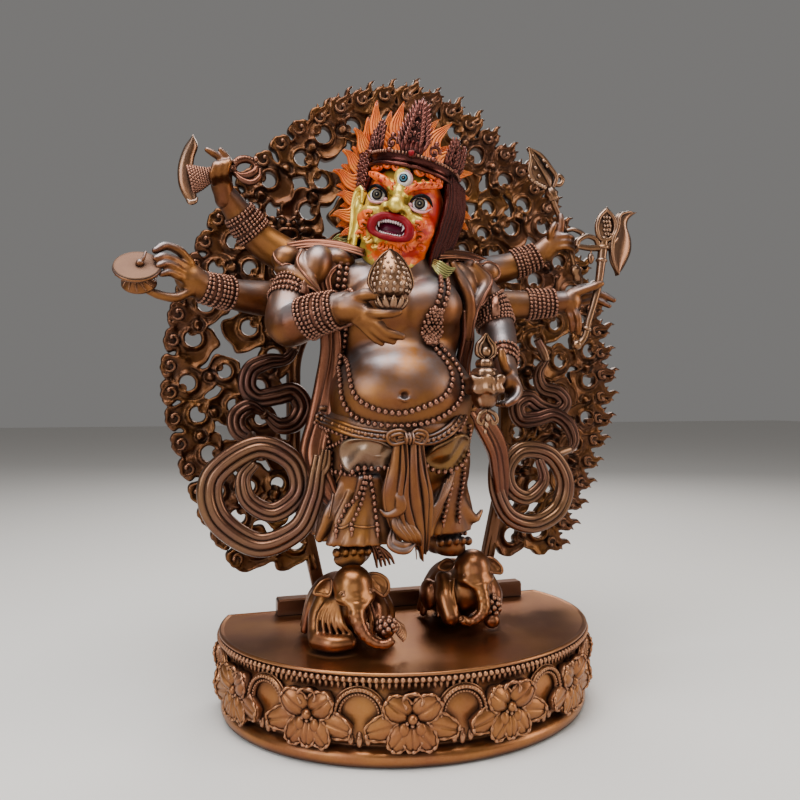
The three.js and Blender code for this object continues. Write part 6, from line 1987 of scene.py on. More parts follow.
def crown_leaf(batch, foot, out, up, height, half):
    """Crown leaf: pointed back, serrated tongues along both edges, scrolls in the middle, petals below"""
    side = unit(np.cross(up, out))
    turn = full_turn(14)
    rings = []
    for v in np.linspace(0, 0.97, 10):
        wide = 0.74 * leaf_half(v, half) + 0.15
        centre = foot + up * height * 0.92 * v - out * (0.5 + 1.2 * v ** 2)
        rings.append(centre + wide * np.cos(turn)[:, None] * side + 0.75 * np.sin(turn)[:, None] * out)
    add_skin(batch, rings)
    count = max(4, int(height / 1.75))
    for s in (-1, 1):
        for row, (share, lift, long) in enumerate(((0.74, 0.0, 1.0), (0.42, 0.55, 0.85))):
            for k in range(count):
                v = 0.10 + 0.80 * (k + 0.5 * row) / count
                root = (foot + up * height * 0.92 * v + side * s * share * leaf_half(v, half)
                        + out * (lift - 1.2 * v * v))
                lean = up * (1.6 + 0.8 * v) + side * s * (0.95 - 0.55 * v) * (1 - 0.4 * row)
                size = (0.75 + 0.05 * height) * long
                path = [root - 0.5 * lean * size * 0.6, root + 0.5 * size * lean + out * 0.55,
                        root + size * lean + out * 0.25 + 0.35 * side * s]
                add_tube(batch, path, [0.42, 0.55 + 0.012 * height, 0.1], sides=6, steps=8, face=out)
    for k in range(5):
        fan = (k - 2) / 2
        root = foot + up * height * 0.68 + side * fan * 0.62 * leaf_half(0.70, half) + out * (0.35 - 0.5)
        tip = foot + up * height * (1.05 - 0.16 * fan * fan) + side * fan * 1.1 * (height / 18) - out * 0.8
        add_tube(batch, [root, (root + tip) / 2 + out * 0.7, tip], [0.5, 0.62, 0.12], sides=7, steps=9,
                 face=out)
    rows = max(1, int(height / 4.5))
    for k in range(rows):
        v = 0.30 + 0.36 * k / max(1, rows - 1) if rows > 1 else 0.42
        centre = foot + up * height * v + out * 0.55
        reach = 0.30 * leaf_half(v, half)
        for s in (-1, 1):
            volute(batch, centre + side * s * reach, out, up, 0.75 * reach + 0.2)
        add_ball(batch, centre + up * 0.9 + out * 0.3, 0.5 + 0.1 * reach)
    petals = max(3, int(half * 0.85))
    for k in range(petals):
        u = -1 + 2 * k / (petals - 1)
        root = foot + side * u * 0.62 * leaf_half(0.05, half) + out * 0.35
        add_ball(batch, root + up * 0.1 * height, vec(0.5 * half / petals + 0.42, 0.62, 0.125 * height),
                 np.stack([side, out, up]), FINE_BALL)


def volute(batch, centre, out, up, size):
    side = unit(np.cross(up, out))
    turn = np.linspace(0, 7.0, 18)[:, None]
    reach = size * (1 - 0.105 * turn)
    path = centre + reach * (np.cos(turn) * side + np.sin(turn) * up)
    add_tube(batch, path, [size * 0.3, size * 0.3, size * 0.22, size * 0.26], sides=6, steps=30, face=out)
    add_ball(batch, centre + 0.2 * out, size * 0.34)


CROWN_DROP = 1.3


def build_crown():
    band = Batch()
    profile = [(13.2, 15.0), (14.7, 14.8), (15.3, 15.1), (15.3, 15.8), (14.6, 16.2), (14.1, 16.9),
               (14.3, 17.9), (15.0, 18.4), (15.4, 18.9), (14.8, 19.7), (12.0, 20.2), (8.0, 21.6),
               (0.4, 22.6)]
    add_lathe(band, (0, 0, -CROWN_DROP), (0, 0, 1 - CROWN_DROP), profile, sides=72)
    turn = full_turn(100)
    beads = Batch()
    ring = np.stack([15.7 * np.cos(turn), 15.7 * np.sin(turn), np.full(100, 18.9 - CROWN_DROP)], -1)
    add_beads(beads, ring, 0.62, closed=True)
    head_piece(beads, "crown_beads", ORNAMENT_METAL)
    for degrees, height, half in ((-118, 7.5, 3.6), (-82, 9.0, 3.9), (-52, 10.2, 4.3), (2, 17.2, 6.6),
                                  (58, 9.6, 4.2), (86, 9.5, 4.2), (120, 7.5, 4.0), (150, 7, 3.8),
                                  (-150, 7, 3.8), (180, 8, 4.2)):
        a = math.radians(degrees)
        out = vec(math.sin(a), -math.cos(a), 0)
        crown_leaf(band, 14.9 * out + vec(0, 0, 19.6 - CROWN_DROP), out, unit(UP + 0.10 * out), height, half)
    for degrees in (-62, -25, 30, 68, 103, -100):
        a = math.radians(degrees)
        out = vec(math.sin(a), -math.cos(a), 0)
        volute(band, 15.4 * out + vec(0, 0, 21.6 - CROWN_DROP), out, UP, 2.1)
        add_ball(band, 15.6 * out + vec(0, 0, 24.2 - CROWN_DROP), 1.0)
        add_ball(band, 15.9 * out + vec(0, 0, 19.2 - CROWN_DROP), vec(1.2, 1.2, 0.9))
    add_ball(band, vec(1.0, -15.9, 18.9 - CROWN_DROP), vec(1.8, 1.2, 1.5), shape=FINE_BALL)
    thin(head_piece(band, "crown", MAROON), CROWN_THINNED)
    stone = Batch()
    add_ball(stone, vec(1.0, -16.7, 18.9 - CROWN_DROP), vec(1.0, 0.8, 0.9), shape=FINE_BALL)
    head_piece(stone, "crown_stone", LIP_PAINT)


def side_column(batch, s):
    """Dense column of small curls that hangs from the crown beside the ear"""
    for k in range(8):
        for row in range(3):
            z = 18.0 - 1.75 * k
            centre = vec(s * (15.2 + 1.7 * row + 0.5 * math.sin(0.5 * k)), -3.0 + 1.3 * row + 0.05 * k,
                         z + 0.8 * (row % 2))
            volute(batch, centre, unit((s * 0.5, -0.85, 0.0)), UP, 1.25 if (k + row) % 3 else 0.95)


def build_hair_flames():
    """Fan of painted flames behind the crown"""
    flames = Batch()
    middle = vec(-4.0, 8.0, 177.0)
    for layer, (shift, scale) in enumerate(((0.0, 1.0), (0.5, 0.93), (0.25, 0.8))):
        for k in range(15):
            angle = math.radians(-114 + 15.6 * (k + shift))
            if angle > math.radians(100):
                continue
            sway = 1.5 * math.sin(2.4 * k + 1.9 * layer)
            reach = scale * (27.5 + 11.0 * max(math.cos(angle), 0) ** 3 + sway)
            way = vec(math.sin(angle) * 0.96, 0, math.cos(angle))
            side = vec(way[2], 0, -way[0])
            bend = 1.0 if angle > -0.5 else -0.3
            y = vec(0, 1.5 * layer - 1.5 + 4.0 * ramp(angle, 0.7, 1.3), 0)
            root = middle + y + way * 8
            path = [root, middle + y + way * reach * 0.5 + side * 1.0,
                    middle + y + way * reach * 0.74 - side * 1.3,
                    middle + y + way * reach * 0.90 + side * 0.4 * bend,
                    middle + y + way * reach + side * 2.0 * bend]
            add_band(flames, path, [2.4, 3.9, 3.9, 2.1, 0.12], 1.6, strands=5, steps=22, face=(0, -1, 0),
                     groove=0.5)
    fan = thin(flames.piece("hair_flames", FLAME_PAINT, "figure_bronze"), FLAMES_THINNED)
    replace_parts(fan, "figure")


def build_locks():
    """Dark locks at the sides and back of the head"""
    locks = Batch()
    for k in range(9):
        swing = 0.5 * math.sin(1.7 * k)
        path = [(12.6 + 0.45 * k, -4.0 + 1.7 * k, 16.5), (14.8 + 0.4 * k, -3.4 + 1.7 * k, 8),
                (14.6 + 0.3 * k + swing, -2.6 + 1.7 * k, -1), (13.6 + 0.3 * k - swing, -1.6 + 1.7 * k, -10),
                (13.8 + 0.5 * k, -0.8 + 1.6 * k, -16.5)]
        add_band(locks, path, [1.6, 2.0, 1.9, 1.7, 0.5], 1.5, strands=3, steps=44, face=(0.75, -0.65, 0),
                 groove=0.3)
        path = [(-13.4 - 0.3 * k, 1.0 + 1.6 * k, 16.5), (-15.2 - 0.2 * k, 2.0 + 1.5 * k, 8),
                (-15.2 + swing, 3.0 + 1.4 * k, -1), (-14.4 - swing, 3.4 + 1.3 * k, -9),
                (-14.2, 3.6 + 1.2 * k, -15)]
        add_band(locks, path, [1.5, 1.9, 1.7, 1.5, 0.5], 1.4, strands=3, steps=44, face=(-0.8, -0.6, 0),
                 groove=0.3)
    side_column(locks, -1)
    for k in range(13):
        x = -13 + 2.2 * k
        path = [(x * 0.9, 12.2, 17), (x, 14.6, 8), (x * 1.05, 14.8, -2), (x * 1.1, 13.4, -12),
                (x * 1.15, 12.0, -20)]
        add_band(locks, path, [1.5, 1.7, 1.7, 1.6, 0.5], 1.4, strands=3, steps=36, face=(0, 1, 0), groove=0.3)
    add_ball(locks, vec(0, 3.4, 2.0), vec(13.6, 11.5, 17.0), shape=ball_shape(40, 24))
    thin(head_piece(locks, "hair_locks", MAROON), LOCKS_THINNED)


def build_ear_ribbons():
    """Small ribbons that flutter from both ears"""
    ribbons = Batch()
    for k in range(5):
        path = [(-14.8, 0.6, -9.5 - 0.5 * k), (-17.4 - 0.4 * k, 0.2, -10.6 - 1.1 * k),
                (-20.0 - 0.5 * k, 1.6, -10.2 - 1.4 * k), (-22.6 + 0.6 * k, 2.6, -12.6 - 1.2 * k)]
        add_band(ribbons, path, [0.5, 0.95, 0.9, 0.2], 0.7, strands=2, steps=26, face=(0, -1, 0.2))
        path = [(14.6, -2.6, -12.0 - 0.4 * k), (17.2 + 0.3 * k, -3.4, -12.6 - 0.9 * k),
                (20.2, -2.6, -13.4 - 0.8 * k), (22.4 - 0.5 * k, -1.6, -12.8 - 0.9 * k)]
        add_band(ribbons, path, [0.5, 0.95, 0.9, 0.2], 0.7, strands=2, steps=26, face=(0.2, -1, 0.2))
    head_piece(ribbons, "ear_ribbons", RIBBON_GREEN)


# Elephant-headed figures lying under the feet

GROUND = 29.1


def trunk_rings(share):
    """Shallow creases round a trunk"""
    return 0.05 * np.sin(60 * share)


def back_folds(clay, x, y):
    """Folds of cloth that fan out down a back"""
    for k in range(8):
        turn = math.radians(-10 + 28 * k)
        out = vec(math.cos(turn), math.sin(turn), 0)
        clay.limb([(x, y, 49.2), vec(x, y + 1, 43) + out * 9.4, vec(x, y + 2, 31.5) + out * 12.4],
                  [0.5, 1.1, 1.4], soft=1.2)


def beast_right():
    clay = Clay((-43, -28, 28), (-11, 20, 57), FINE_STEP)
    clay.egg((-28, 6, 39), (11, 12, 11), soft=3)
    clay.egg((-29, -3, 41), (8.5, 8, 8), soft=3)
    clay.egg((-27.4, -11.0, 49.6), (6.4, 6.6, 6.3), soft=1.5)
    clay.egg((-27.3, -13.8, 46.2), (6.6, 4.6, 3.2), soft=1.6)
    clay.limb([(-31.5, -16.2, 46.2), (-29.4, -17.6, 44.6), (-27.4, -18.2, 43.9), (-25.2, -17.8, 44.6),
               (-22.8, -16.0, 46.3)], [0.9, 1.3, 1.6, 1.3, 0.9], soft=0.8)
    clay.limb([(-27.4, -15.5, 46), (-27.8, -18.6, 41.2), (-26.2, -20.4, 36.6), (-23.2, -22.0, 33.8),
               (-19.6, -23.0, 33.2), (-17.9, -23.2, 34.2)], [3.3, 2.7, 2.3, 1.9, 1.5, 1.35], soft=0.8,
              ripple=trunk_rings)
    clay.egg((-17.2, -23.6, 34.8), (0.8, 1.0, 0.8), soft=0.4, cut=True)
    clay.limb([(-35.0, -4, 45), (-37.6, -6, 39), (-38.6, -8, 33.5)], [2.6, 3.3, 3.0], soft=2)
    clay.limb([(-38.8, -10.5, 32.4), (-34.6, -14.6, 32.2), (-29.6, -15.2, 32.4)], [3.0, 2.9, 2.4], soft=1.2)
    clay.limb([(-19.6, -3, 45), (-17.6, -7, 40), (-18.4, -12, 36)], [2.8, 3.2, 2.6], soft=2)
    clay.limb([(-15.8, 2, 44), (-14.6, -3, 38), (-15.6, -8, 33)], [2.8, 3.6, 3.2], soft=2)
    for k in range(6):
        x = -36.6 + 0.3 * k
        clay.limb([(-33.6 + 0.4 * k, -7.5 - 0.7 * k, 46 - 0.6 * k),
                   (x - 1.6 + 1.1 * k, -9.6 - 0.9 * k, 40 - 0.4 * k),
                   (x - 2.4 + 1.8 * k, -11.5 - 0.7 * k, 34.5)], [0.45, 0.8, 0.5], soft=0.6)
        clay.limb([(-22.4 + 1.4 * k, -10.4 + 1.8 * k, 43.5), (-21.8 + 1.5 * k, -13.2 + 2.0 * k, 38.5),
                   (-22.0 + 1.6 * k, -14.0 + 2.2 * k, 33)], [0.45, 0.85, 0.5], soft=0.6)
    back_folds(clay, -28, 4)
    return clay


def beast_left():
    clay = Clay((1, -17, 28), (34, 31, 57), FINE_STEP)
    clay.egg((17, 14, 39), (11, 12, 11), soft=3)
    clay.egg((17.5, 4, 41), (8, 8, 8), soft=3)
    clay.egg((18.8, 0.2, 49.8), (6.4, 6.6, 6.3), soft=1.5)
    clay.egg((18.8, -2.8, 46.4), (6.6, 4.4, 3.0), soft=1.6)
    clay.limb([(14.2, -4.6, 46.4), (16.2, -6.2, 45), (18.6, -6.8, 44.4), (21.0, -6.2, 45),
               (23.4, -4.6, 46.4)], [0.9, 1.2, 1.5, 1.2, 0.9], soft=0.8)
    clay.limb([(18.8, -4.4, 46), (19.4, -7.4, 41.2), (19.2, -8.8, 37.2), (16.4, -9.8, 34.4),
               (12.8, -10.6, 33.8), (10.8, -10.8, 34.8)], [3.2, 2.6, 2.3, 1.9, 1.5, 1.5], soft=0.8,
              ripple=trunk_rings)
    clay.egg((10.0, -11.2, 35.4), (0.9, 1.0, 0.9), soft=0.4, cut=True)
    clay.egg((4.6, 6.5, 39.6), (3.2, 4.5, 5.6), soft=1.0)
    clay.limb([(9.0, 4, 45.6), (8.2, -1, 40), (8.8, -4.5, 34.5)], [2.6, 3.6, 3.3], soft=1.5)
    clay.limb([(25.8, 3, 45), (26.8, 0, 40), (25.4, -4, 36)], [2.5, 3.2, 2.6], soft=1.5)
    clay.egg((23.4, -6.4, 32.4), (2.9, 2.7, 2.8), soft=0.6)
    for k in range(7):
        clay.limb([(11.6 - 0.5 * k, -0.6 + 0.3 * k, 46 - 0.5 * k),
                   (9.8 - 0.6 * k, -4.4 + 0.9 * k, 41.0 - 0.5 * k), (11.4 - 1.0 * k, -6.2 + 0.8 * k, 34.0)],
                  [0.4, 0.75, 0.5], soft=0.5)
        clay.limb([(23.0 + 0.7 * k, -2.2 + 0.8 * k, 44.6), (24.0 + 0.8 * k, -3.4 + 1.2 * k, 39.5),
                   (25.0 + 0.8 * k, -3.6 + 1.4 * k, 33)], [0.4, 0.75, 0.5], soft=0.5)
    back_folds(clay, 17, 12)
    return clay


def ear(batch, rim, hollow):
    """Leaf-shaped ear with a rolled rim and a dished middle"""
    path = smooth_path(rim, 40, closed=True)
    middle = vec(*hollow)
    rows = [middle + (path - middle) * share + vec(0, dip, 0) for share, dip in
            ((0.98, 0.7), (1.0, 0.1), (0.9, -0.25), (0.6, 0.35), (0.25, 0.7))]
    add_skin(batch, [middle + (path - middle) * 0.5 + vec(0, 1.5, 0)] + rows)
    add_tube(batch, path, [0.5, 0.6, 0.5], sides=8, steps=60, closed=True)


def fruit_cluster(batch, centre, size, count, squash=0.8):
    """Small round fruits heaped in a ball, spread by a golden-angle spiral"""
    for k in range(count):
        z = 1 - 1.7 * (k + 0.5) / count
        turn = 2.4 * k
        flat = math.sqrt(1 - z * z)
        add_ball(batch, vec(*centre) + size * vec(flat * math.cos(turn), flat * math.sin(turn), z * squash),
                 0.36 * size)
    add_ball(batch, centre, 0.8 * size, shape=FINE_BALL)


def eye_pair(batch, spots):
    for spot in spots:
        add_ball(batch, spot, 0.65)
        for k in range(2):
            turn = np.linspace(0.2, math.pi - 0.2, 7)
            lid = vec(*spot) + np.stack([(1.2 + 0.4 * k) * np.cos(turn), np.full(7, 0.1),
                                         (0.8 + 0.4 * k) * np.sin(turn)], -1)
            add_tube(batch, lid, [0.18], sides=5, steps=10)


def trim_right(extras):
    ear(extras, [(-33.6, -7.5, 50.6), (-37.0, -8.2, 50.4), (-39.6, -9.2, 47.4), (-37.2, -9.6, 46.6),
                 (-34.6, -9.8, 46.4)], (-36.0, -8.8, 48.6))
    ear(extras, [(-21.4, -8.0, 51.6), (-18.2, -8.6, 51.8), (-15.4, -9.2, 49.8), (-15.0, -9.8, 46.8),
                 (-16.8, -10.4, 44.8), (-18.8, -10.4, 46.0), (-20.4, -10.0, 47.6)], (-18.0, -9.4, 48.6))
    fruit_cluster(extras, (-18.4, -19.6, 38.0), 2.9, 22)
    eye_pair(extras, [(-31.6, -16.6, 47.8), (-23.0, -16.2, 47.8)])
    for k in range(5):
        add_tube(extras, [(-15.0 + 0.6 * k, -16.2 - 0.3 * k, 38.8 - 0.4 * k),
                          (-13.6 + 0.3 * k, -18.4 - 0.3 * k, 36.6 - 0.6 * k),
                          (-15.6 + 0.5 * k, -20.8, 35.4 - 0.6 * k)], [0.5, 0.7, 0.4], sides=6, steps=10)


def trim_left(extras):
    ear(extras, [(24.6, 1.6, 51.8), (27.2, 0.8, 52.0), (29.8, -0.2, 49.2), (29.6, -0.8, 47.2),
                 (27.2, -0.8, 47.4), (25.0, -0.4, 48.0)], (27.2, 0.2, 49.6))
    ear(extras, [(12.8, 3.4, 50.6), (10.4, 3.0, 52.4), (7.6, 2.8, 51.2), (7.2, 2.4, 49.4), (10.2, 2.4, 48.8)],
        (10.0, 2.8, 50.6))
    fruit_cluster(extras, (23.6, -5.8, 37.2), 2.9, 26, 1.25)
    eye_pair(extras, [(14.8, -4.8, 47.8), (23.0, -4.6, 47.8)])


def build_beasts():
    for side, clay, add_trim in (("right", beast_right(), trim_right), ("left", beast_left(), trim_left)):
        clay.cut_below(GROUND)
        node = "elephant_" + side
        extras = Batch()
        add_trim(extras)
        body = clay.piece(node + "_body", BEAST_METAL, "beast_bronze", MERGED)
        trim = extras.piece(node + "_trim", BEAST_METAL, "beast_bronze")
        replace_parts(body, node)
        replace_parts(trim, node)


# Grooved scarves: big scrolls in front of the aureole and serpents behind them

SCROLL_RIGHT = [(-57.8, -2, 88.8), (-61.3, -2.4, 84), (-59.6, -3.0, 76.7), (-51.6, -3.6, 72.8),
                (-43.6, -3.4, 79.0), (-45.6, -2.6, 89.0), (-57, -2.0, 93.8), (-70.6, -1.6, 84.6),
                (-69.4, -1.8, 71.6), (-56.8, -3.6, 62.6), (-44.6, -5.6, 67.0), (-39.6, -6.6, 76.9),
                (-38.0, -7, 85.6), (-37.0, -7, 91)]
SCROLL_LEFT = [(49.3, 8.4, 86.8), (51.2, 8.2, 78.6), (44.2, 7.6, 72.6), (37.2, 7.4, 76.0),
               (36.0, 7.8, 84.0), (42.6, 8.4, 90.2), (54.2, 8.8, 88.0), (60.6, 9.0, 78.0),
               (57.4, 8.8, 67.4), (46.6, 7.6, 62.6), (36.2, 6.4, 66.0), (31.0, 5.8, 75.0), (30.0, 5.6, 84),
               (31.5, 5.6, 91)]
SERPENT_RIGHT = [(-41.0, 20, 127.6), (-44.4, 19.6, 123.6), (-50.6, 19.2, 122.6), (-56.6, 18.8, 119.6),
                 (-58.0, 18.6, 113.6), (-54.4, 18.4, 109.8), (-48.0, 18.6, 110.6), (-42.0, 19.0, 111.6),
                 (-38.6, 19.4, 106.8), (-41.2, 19.4, 101.2), (-46.6, 19.0, 100.0), (-51.4, 18.4, 103.6)]
CURL_RIGHT = [(-56.4, 12, 95.0), (-61.4, 13.4, 98.4), (-62.0, 14.6, 103.4), (-57.6, 15.6, 106.6),
              (-52.6, 16.4, 104.6)]
SERPENT_LEFT = [(59.0, 21, 125.0), (55.6, 20.8, 119.6), (57.2, 20.6, 114.0), (63.4, 20.4, 112.0),
                (66.6, 20.2, 108.0), (62.6, 20.0, 104.6), (56.0, 20.0, 106.4), (50.4, 19.8, 109.6),
                (45.6, 19.6, 106.8), (47.0, 19.2, 101.6), (53.4, 18.4, 101.6), (60.0, 17.0, 103.2),
                (65.2, 15.4, 99.8), (67.0, 13.6, 93.6), (64.4, 12.0, 88.6)]


def scroll(batch, points, halves):
    """Ribbon of three rounded strands side by side along a path; halves is its half width"""
    steps = 150
    path = smooth_path(points, steps)
    _, side, front = path_frames(path, (-0.1, -1, 0.05))
    half = spread(halves, steps)[:, None]
    for strand, lift in ((-1, 0.0), (0, 0.25), (1, 0.0)):
        line = path + 0.64 * strand * half * side + lift * half * front
        add_tube(batch, line, 0.43 * half[:, 0], sides=10, steps=steps, flat=1.05, face=(-0.1, -1, 0.05))


def build_scarves():
    scroll_right = (SCROLL_RIGHT, [1.8, 2.6, 3.0, 3.2, 3.3, 3.4, 3.6, 3.8, 3.9, 3.8, 3.6, 3.3, 2.8, 2.3])
    tie_right = [(-38.6, -6.0, 84), (-36.2, -7, 88), (-35.4, -7.5, 93)]
    coils_right = [(SERPENT_RIGHT, [1.6, 2.0, 2.7, 3.0, 3.0, 3.0, 3.2, 3.4, 3.4, 3.2, 2.8, 1.4]),
                   (CURL_RIGHT, [2.0, 2.8, 3.0, 2.6, 1.0])]
    links_right = [[(-41.4, 18.5, 127), (-40.0, 20.5, 131), (-37.5, 20, 136)],
                   [(-58, 2, 94), (-57.5, 8, 96), (-57, 14, 97)],
                   [(-52, 18.6, 103.0), (-52.5, 17.6, 104.4), (-53, 16.6, 105)]]
    scroll_left = (SCROLL_LEFT, [1.6, 2.3, 2.7, 2.9, 3.0, 3.1, 3.3, 3.5, 3.5, 3.4, 3.2, 3.0, 2.6, 2.1])
    tie_left = [(30.2, 6.0, 84), (29.8, 5, 88), (29.2, 4, 93)]
    coils_left = [(SERPENT_LEFT, [1.4, 2.0, 2.7, 3.0, 3.0, 2.9, 2.9, 3.0, 3.2, 3.0, 2.7, 2.7, 2.9, 2.4, 1.0])]
    links_left = [[(59, 20.5, 124.5), (58, 21, 128), (55, 21, 133)],
                  [(56.5, 9.5, 88), (60, 11, 89), (64.4, 12.0, 90)]]
    sides = {"right": (scroll_right, tie_right, coils_right, links_right),
             "left": (scroll_left, tie_left, coils_left, links_left)}
    for side, ((points, halves), tie, coils, links) in sides.items():
        ribbon, serpent = Batch(), Batch()
        scroll(ribbon, points, halves)
        add_band(ribbon, tie, [2.0, 2.4, 1.6], 1.6, strands=3, steps=24, face=(-0.1, -1, 0), groove=0.5)
        for points, halves in coils:
            scroll(serpent, points, halves)
        for path in links:
            add_tube(ribbon, path, [1.5, 1.85, 1.5], sides=10, steps=16)
        node = "scarf_" + side
        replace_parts(ribbon.piece(node + "_ribbon", SCARF_METAL, "scarf_bronze"), node)
        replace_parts(serpent.piece(node + "_serpent", SERPENT_METAL, "scarf_bronze"), node)


# Things in the hands

def blade_plate(batch, upper, lower, y, thick, rows=26):
    """Blade between two edge lines of x and z points, lens-shaped across"""
    one = smooth_path([(x, 0, z) for x, z in upper], rows)
    two = smooth_path([(x, 0, z) for x, z in lower], rows)
    rings = []
    for a, b in zip(one, two):
        ring = []
        for t in np.linspace(0, 1, 9):
            spot = a + (b - a) * t
            ring.append((spot[0], y - 0.1 - thick * math.sin(math.pi * t) ** 0.8, spot[2]))
        for t in np.linspace(1, 0, 9):
            spot = a + (b - a) * t
            ring.append((spot[0], y + 0.1 + thick * math.sin(math.pi * t) ** 0.8, spot[2]))
        rings.append(np.array(ring))
    add_skin(batch, rings)


def build_chopper():
    blade, grip = Batch(), Batch()
    outer = [(-76.8, 195.0), (-79.6, 190.4), (-81.3, 184.5), (-81.2, 179.2), (-79.8, 175.4), (-77.6, 172.4)]
    inner = [(-76.3, 194.8), (-75.0, 191.6), (-76.2, 187.4), (-76.4, 182.4), (-75.7, 177.4), (-75.2, 173.4)]
    blade_plate(blade, outer, inner, 6.0, 1.1)
    add_tube(blade, [(-78.6, 6, 174.4), (-77.4, 5.2, 173.0), (-76.0, 5.0, 173.4), (-75.2, 5.4, 174.8)],
             [0.5, 0.9, 0.8, 0.3], sides=8, steps=20, flat=0.7)
    cone = [(-77.4, 6, 180.6), (-74.6, 6, 181.3), (-71.8, 6, 182.3), (-69.2, 6, 183.4)]
    radii = [4.3, 3.4, 2.3, 1.7]
    add_tube(grip, cone, radii, sides=18, steps=20, flat=0.5)
    line, sizes = smooth_path(cone, 12), spread(radii, 12)
    for k in range(11):
        for m in range(13):
            turn = math.pi * (m + 0.5 * (k % 2)) / 12.5
            up = sizes[k] * math.cos(turn)
            out = 0.5 * sizes[k] * math.sin(turn)
            for sign in (-1, 1):
                add_ball(grip, line[k] + vec(-0.25 * up, sign * out, up), 0.34 + 0.07 * sizes[k])
    add_tube(grip, [(-69.4, 6, 183.4), (-65.8, 6, 184.8), (-63.0, 6, 185.6)], [1.5, 1.5, 1.3], sides=12,
             steps=16)
    turn = full_turn(26)
    loop = np.stack([-60.0 + 3.7 * np.cos(turn), 6.0 + 0.4 * np.sin(2 * turn),
                     186.0 + 2.8 * np.sin(turn) + 0.5 * np.cos(turn)], -1)
    add_tube(grip, loop, 1.05 + 0.3 * np.abs(np.sin(turn)), sides=10, steps=60, face=(0, -1, 0), closed=True)
    add_beads(grip, smooth_path(loop[1:14] + vec(0, -1.2, 0.3), 30), 0.42)
    tail = [(-63.6, 5.4, 184.0), (-61.0, 5.0, 181.6), (-57.8, 5.0, 181.0), (-55.4, 5.2, 183.0),
            (-55.2, 5.6, 186.0)]
    add_tube(grip, tail, [0.5, 0.9, 1.0, 0.9, 0.4], sides=8, steps=30)
    for spot in ((-64.6, 4.6, 185.2), (-63.4, 5.0, 187.2), (-56.6, 4.8, 188.8)):
        add_ball(grip, spot, 0.95)
    return blade, grip


def build_drum():
    """Hand drum on its side: the flat skin faces up and forward, with a beater on its cord"""
    drum, skin = Batch(), Batch()
    way = unit((-0.06, -0.72, 0.69))
    front = vec(-93.2, -7.2, 149.5)
    back = front - 7.0 * way
    add_lathe(drum, back, front, [(0.1, 0.0), (4.6, 0.0), (5.3, 0.05), (5.2, 0.14), (2.9, 0.42), (2.8, 0.5),
                                  (6.0, 0.8), (7.0, 0.86), (7.2, 0.93), (7.0, 0.99), (6.5, 1.0),
                                  (0.1, 0.98)], sides=48)
    add_lathe(skin, front - 0.4 * way, front + 0.5 * way,
              [(0.1, 0.0), (6.6, 0.2), (6.9, 0.7), (6.5, 0.95), (5.9, 0.9), (3.0, 0.98), (0.1, 1.0)],
              sides=48)
    side = unit(np.cross(way, (0, 0, 1)))
    up = np.cross(side, way)
    for k in range(12):
        turn = 2 * math.pi * k / 12
        one = math.cos(turn) * side + math.sin(turn) * up
        two = math.cos(turn + 0.26) * side + math.sin(turn + 0.26) * up
        add_tube(drum, [front - 1.1 * way + 6.9 * one, back + 3.4 * way + 3.2 * two,
                        back + 0.9 * way + 5.1 * one], [0.32], sides=5, steps=10)
    knob = front + 1.0 * way + 0.9 * side * (1 if side[0] > 0 else -1)
    add_ball(drum, knob, 1.25, shape=FINE_BALL)
    add_tube(drum, [knob, knob + vec(1.0, -0.4, 1.4), knob + vec(1.7, 0.2, 3.6)], [0.75, 0.5, 0.4], sides=8,
             steps=16)
    return drum, skin


def build_jewel():
    """Pear-shaped jewel netted with pearls on a small lotus, edged by flame"""
    jewel = Batch()
    foot, top = vec(-20.4, -31.0, 139.4), vec(-20.9, -31.2, 154.2)
    profile = [(0.6, -0.02), (3.4, 0.03), (5.2, 0.13), (5.9, 0.27), (5.7, 0.42), (4.8, 0.58), (3.5, 0.73),
               (2.2, 0.85), (1.1, 0.94), (0.05, 1.0)]
    add_lathe(jewel, foot, top, profile, sides=40)
    axis = top - foot
    shares = [0.14, 0.25, 0.36, 0.47, 0.58, 0.69, 0.79]
    for row, share in enumerate(shares):
        radius = float(np.interp(share, [p[1] for p in profile], [p[0] for p in profile]))
        count = max(5, int(round(radius * 2.9)))
        for k in range(count):
            turn = 2 * math.pi * (k + 0.5 * (row % 2)) / count
            add_ball(jewel, foot + axis * share + radius * vec(math.cos(turn), math.sin(turn), 0),
                     0.78 - 0.35 * share if math.sin(turn) < 0.4 else 0.5)
    for sign in (-1, 1):
        edge = [foot + vec(5.2 * sign, 0, 1.2), foot + vec(6.5 * sign, 0.2, 4.2),
                foot + vec(6.0 * sign, 0.2, 7.2), foot + vec(4.4 * sign, 0.1, 10.4),
                foot + vec(2.3 * sign, 0, 13.0), top]
        add_band(jewel, edge, [0.3, 0.8, 0.9, 0.8, 0.6, 0.1], 0.8, strands=2, steps=40, face=(0, -1, 0))
    base = vec(-20.2, -31.0, 135.4)
    add_lathe(jewel, base, base + vec(0, 0, 4.2), [(0.3, -0.1), (2.0, 0.0), (2.2, 0.3), (3.6, 0.6),
                                                   (4.2, 0.9), (1.0, 1.0)], sides=30)
    for k in range(11):
        turn = 2 * math.pi * k / 11
        out = vec(math.cos(turn), math.sin(turn), 0)
        petal_path = [base + 1.6 * out + vec(0, 0, 0.4), base + 3.6 * out + vec(0, 0, 1.6),
                      base + 4.8 * out + vec(0, 0, 3.2), base + 4.9 * out + vec(0, 0, 4.4)]
        add_tube(jewel, petal_path, [0.8, 1.2, 1.1, 0.35], sides=8, steps=12, flat=0.55, face=out)
    return jewel


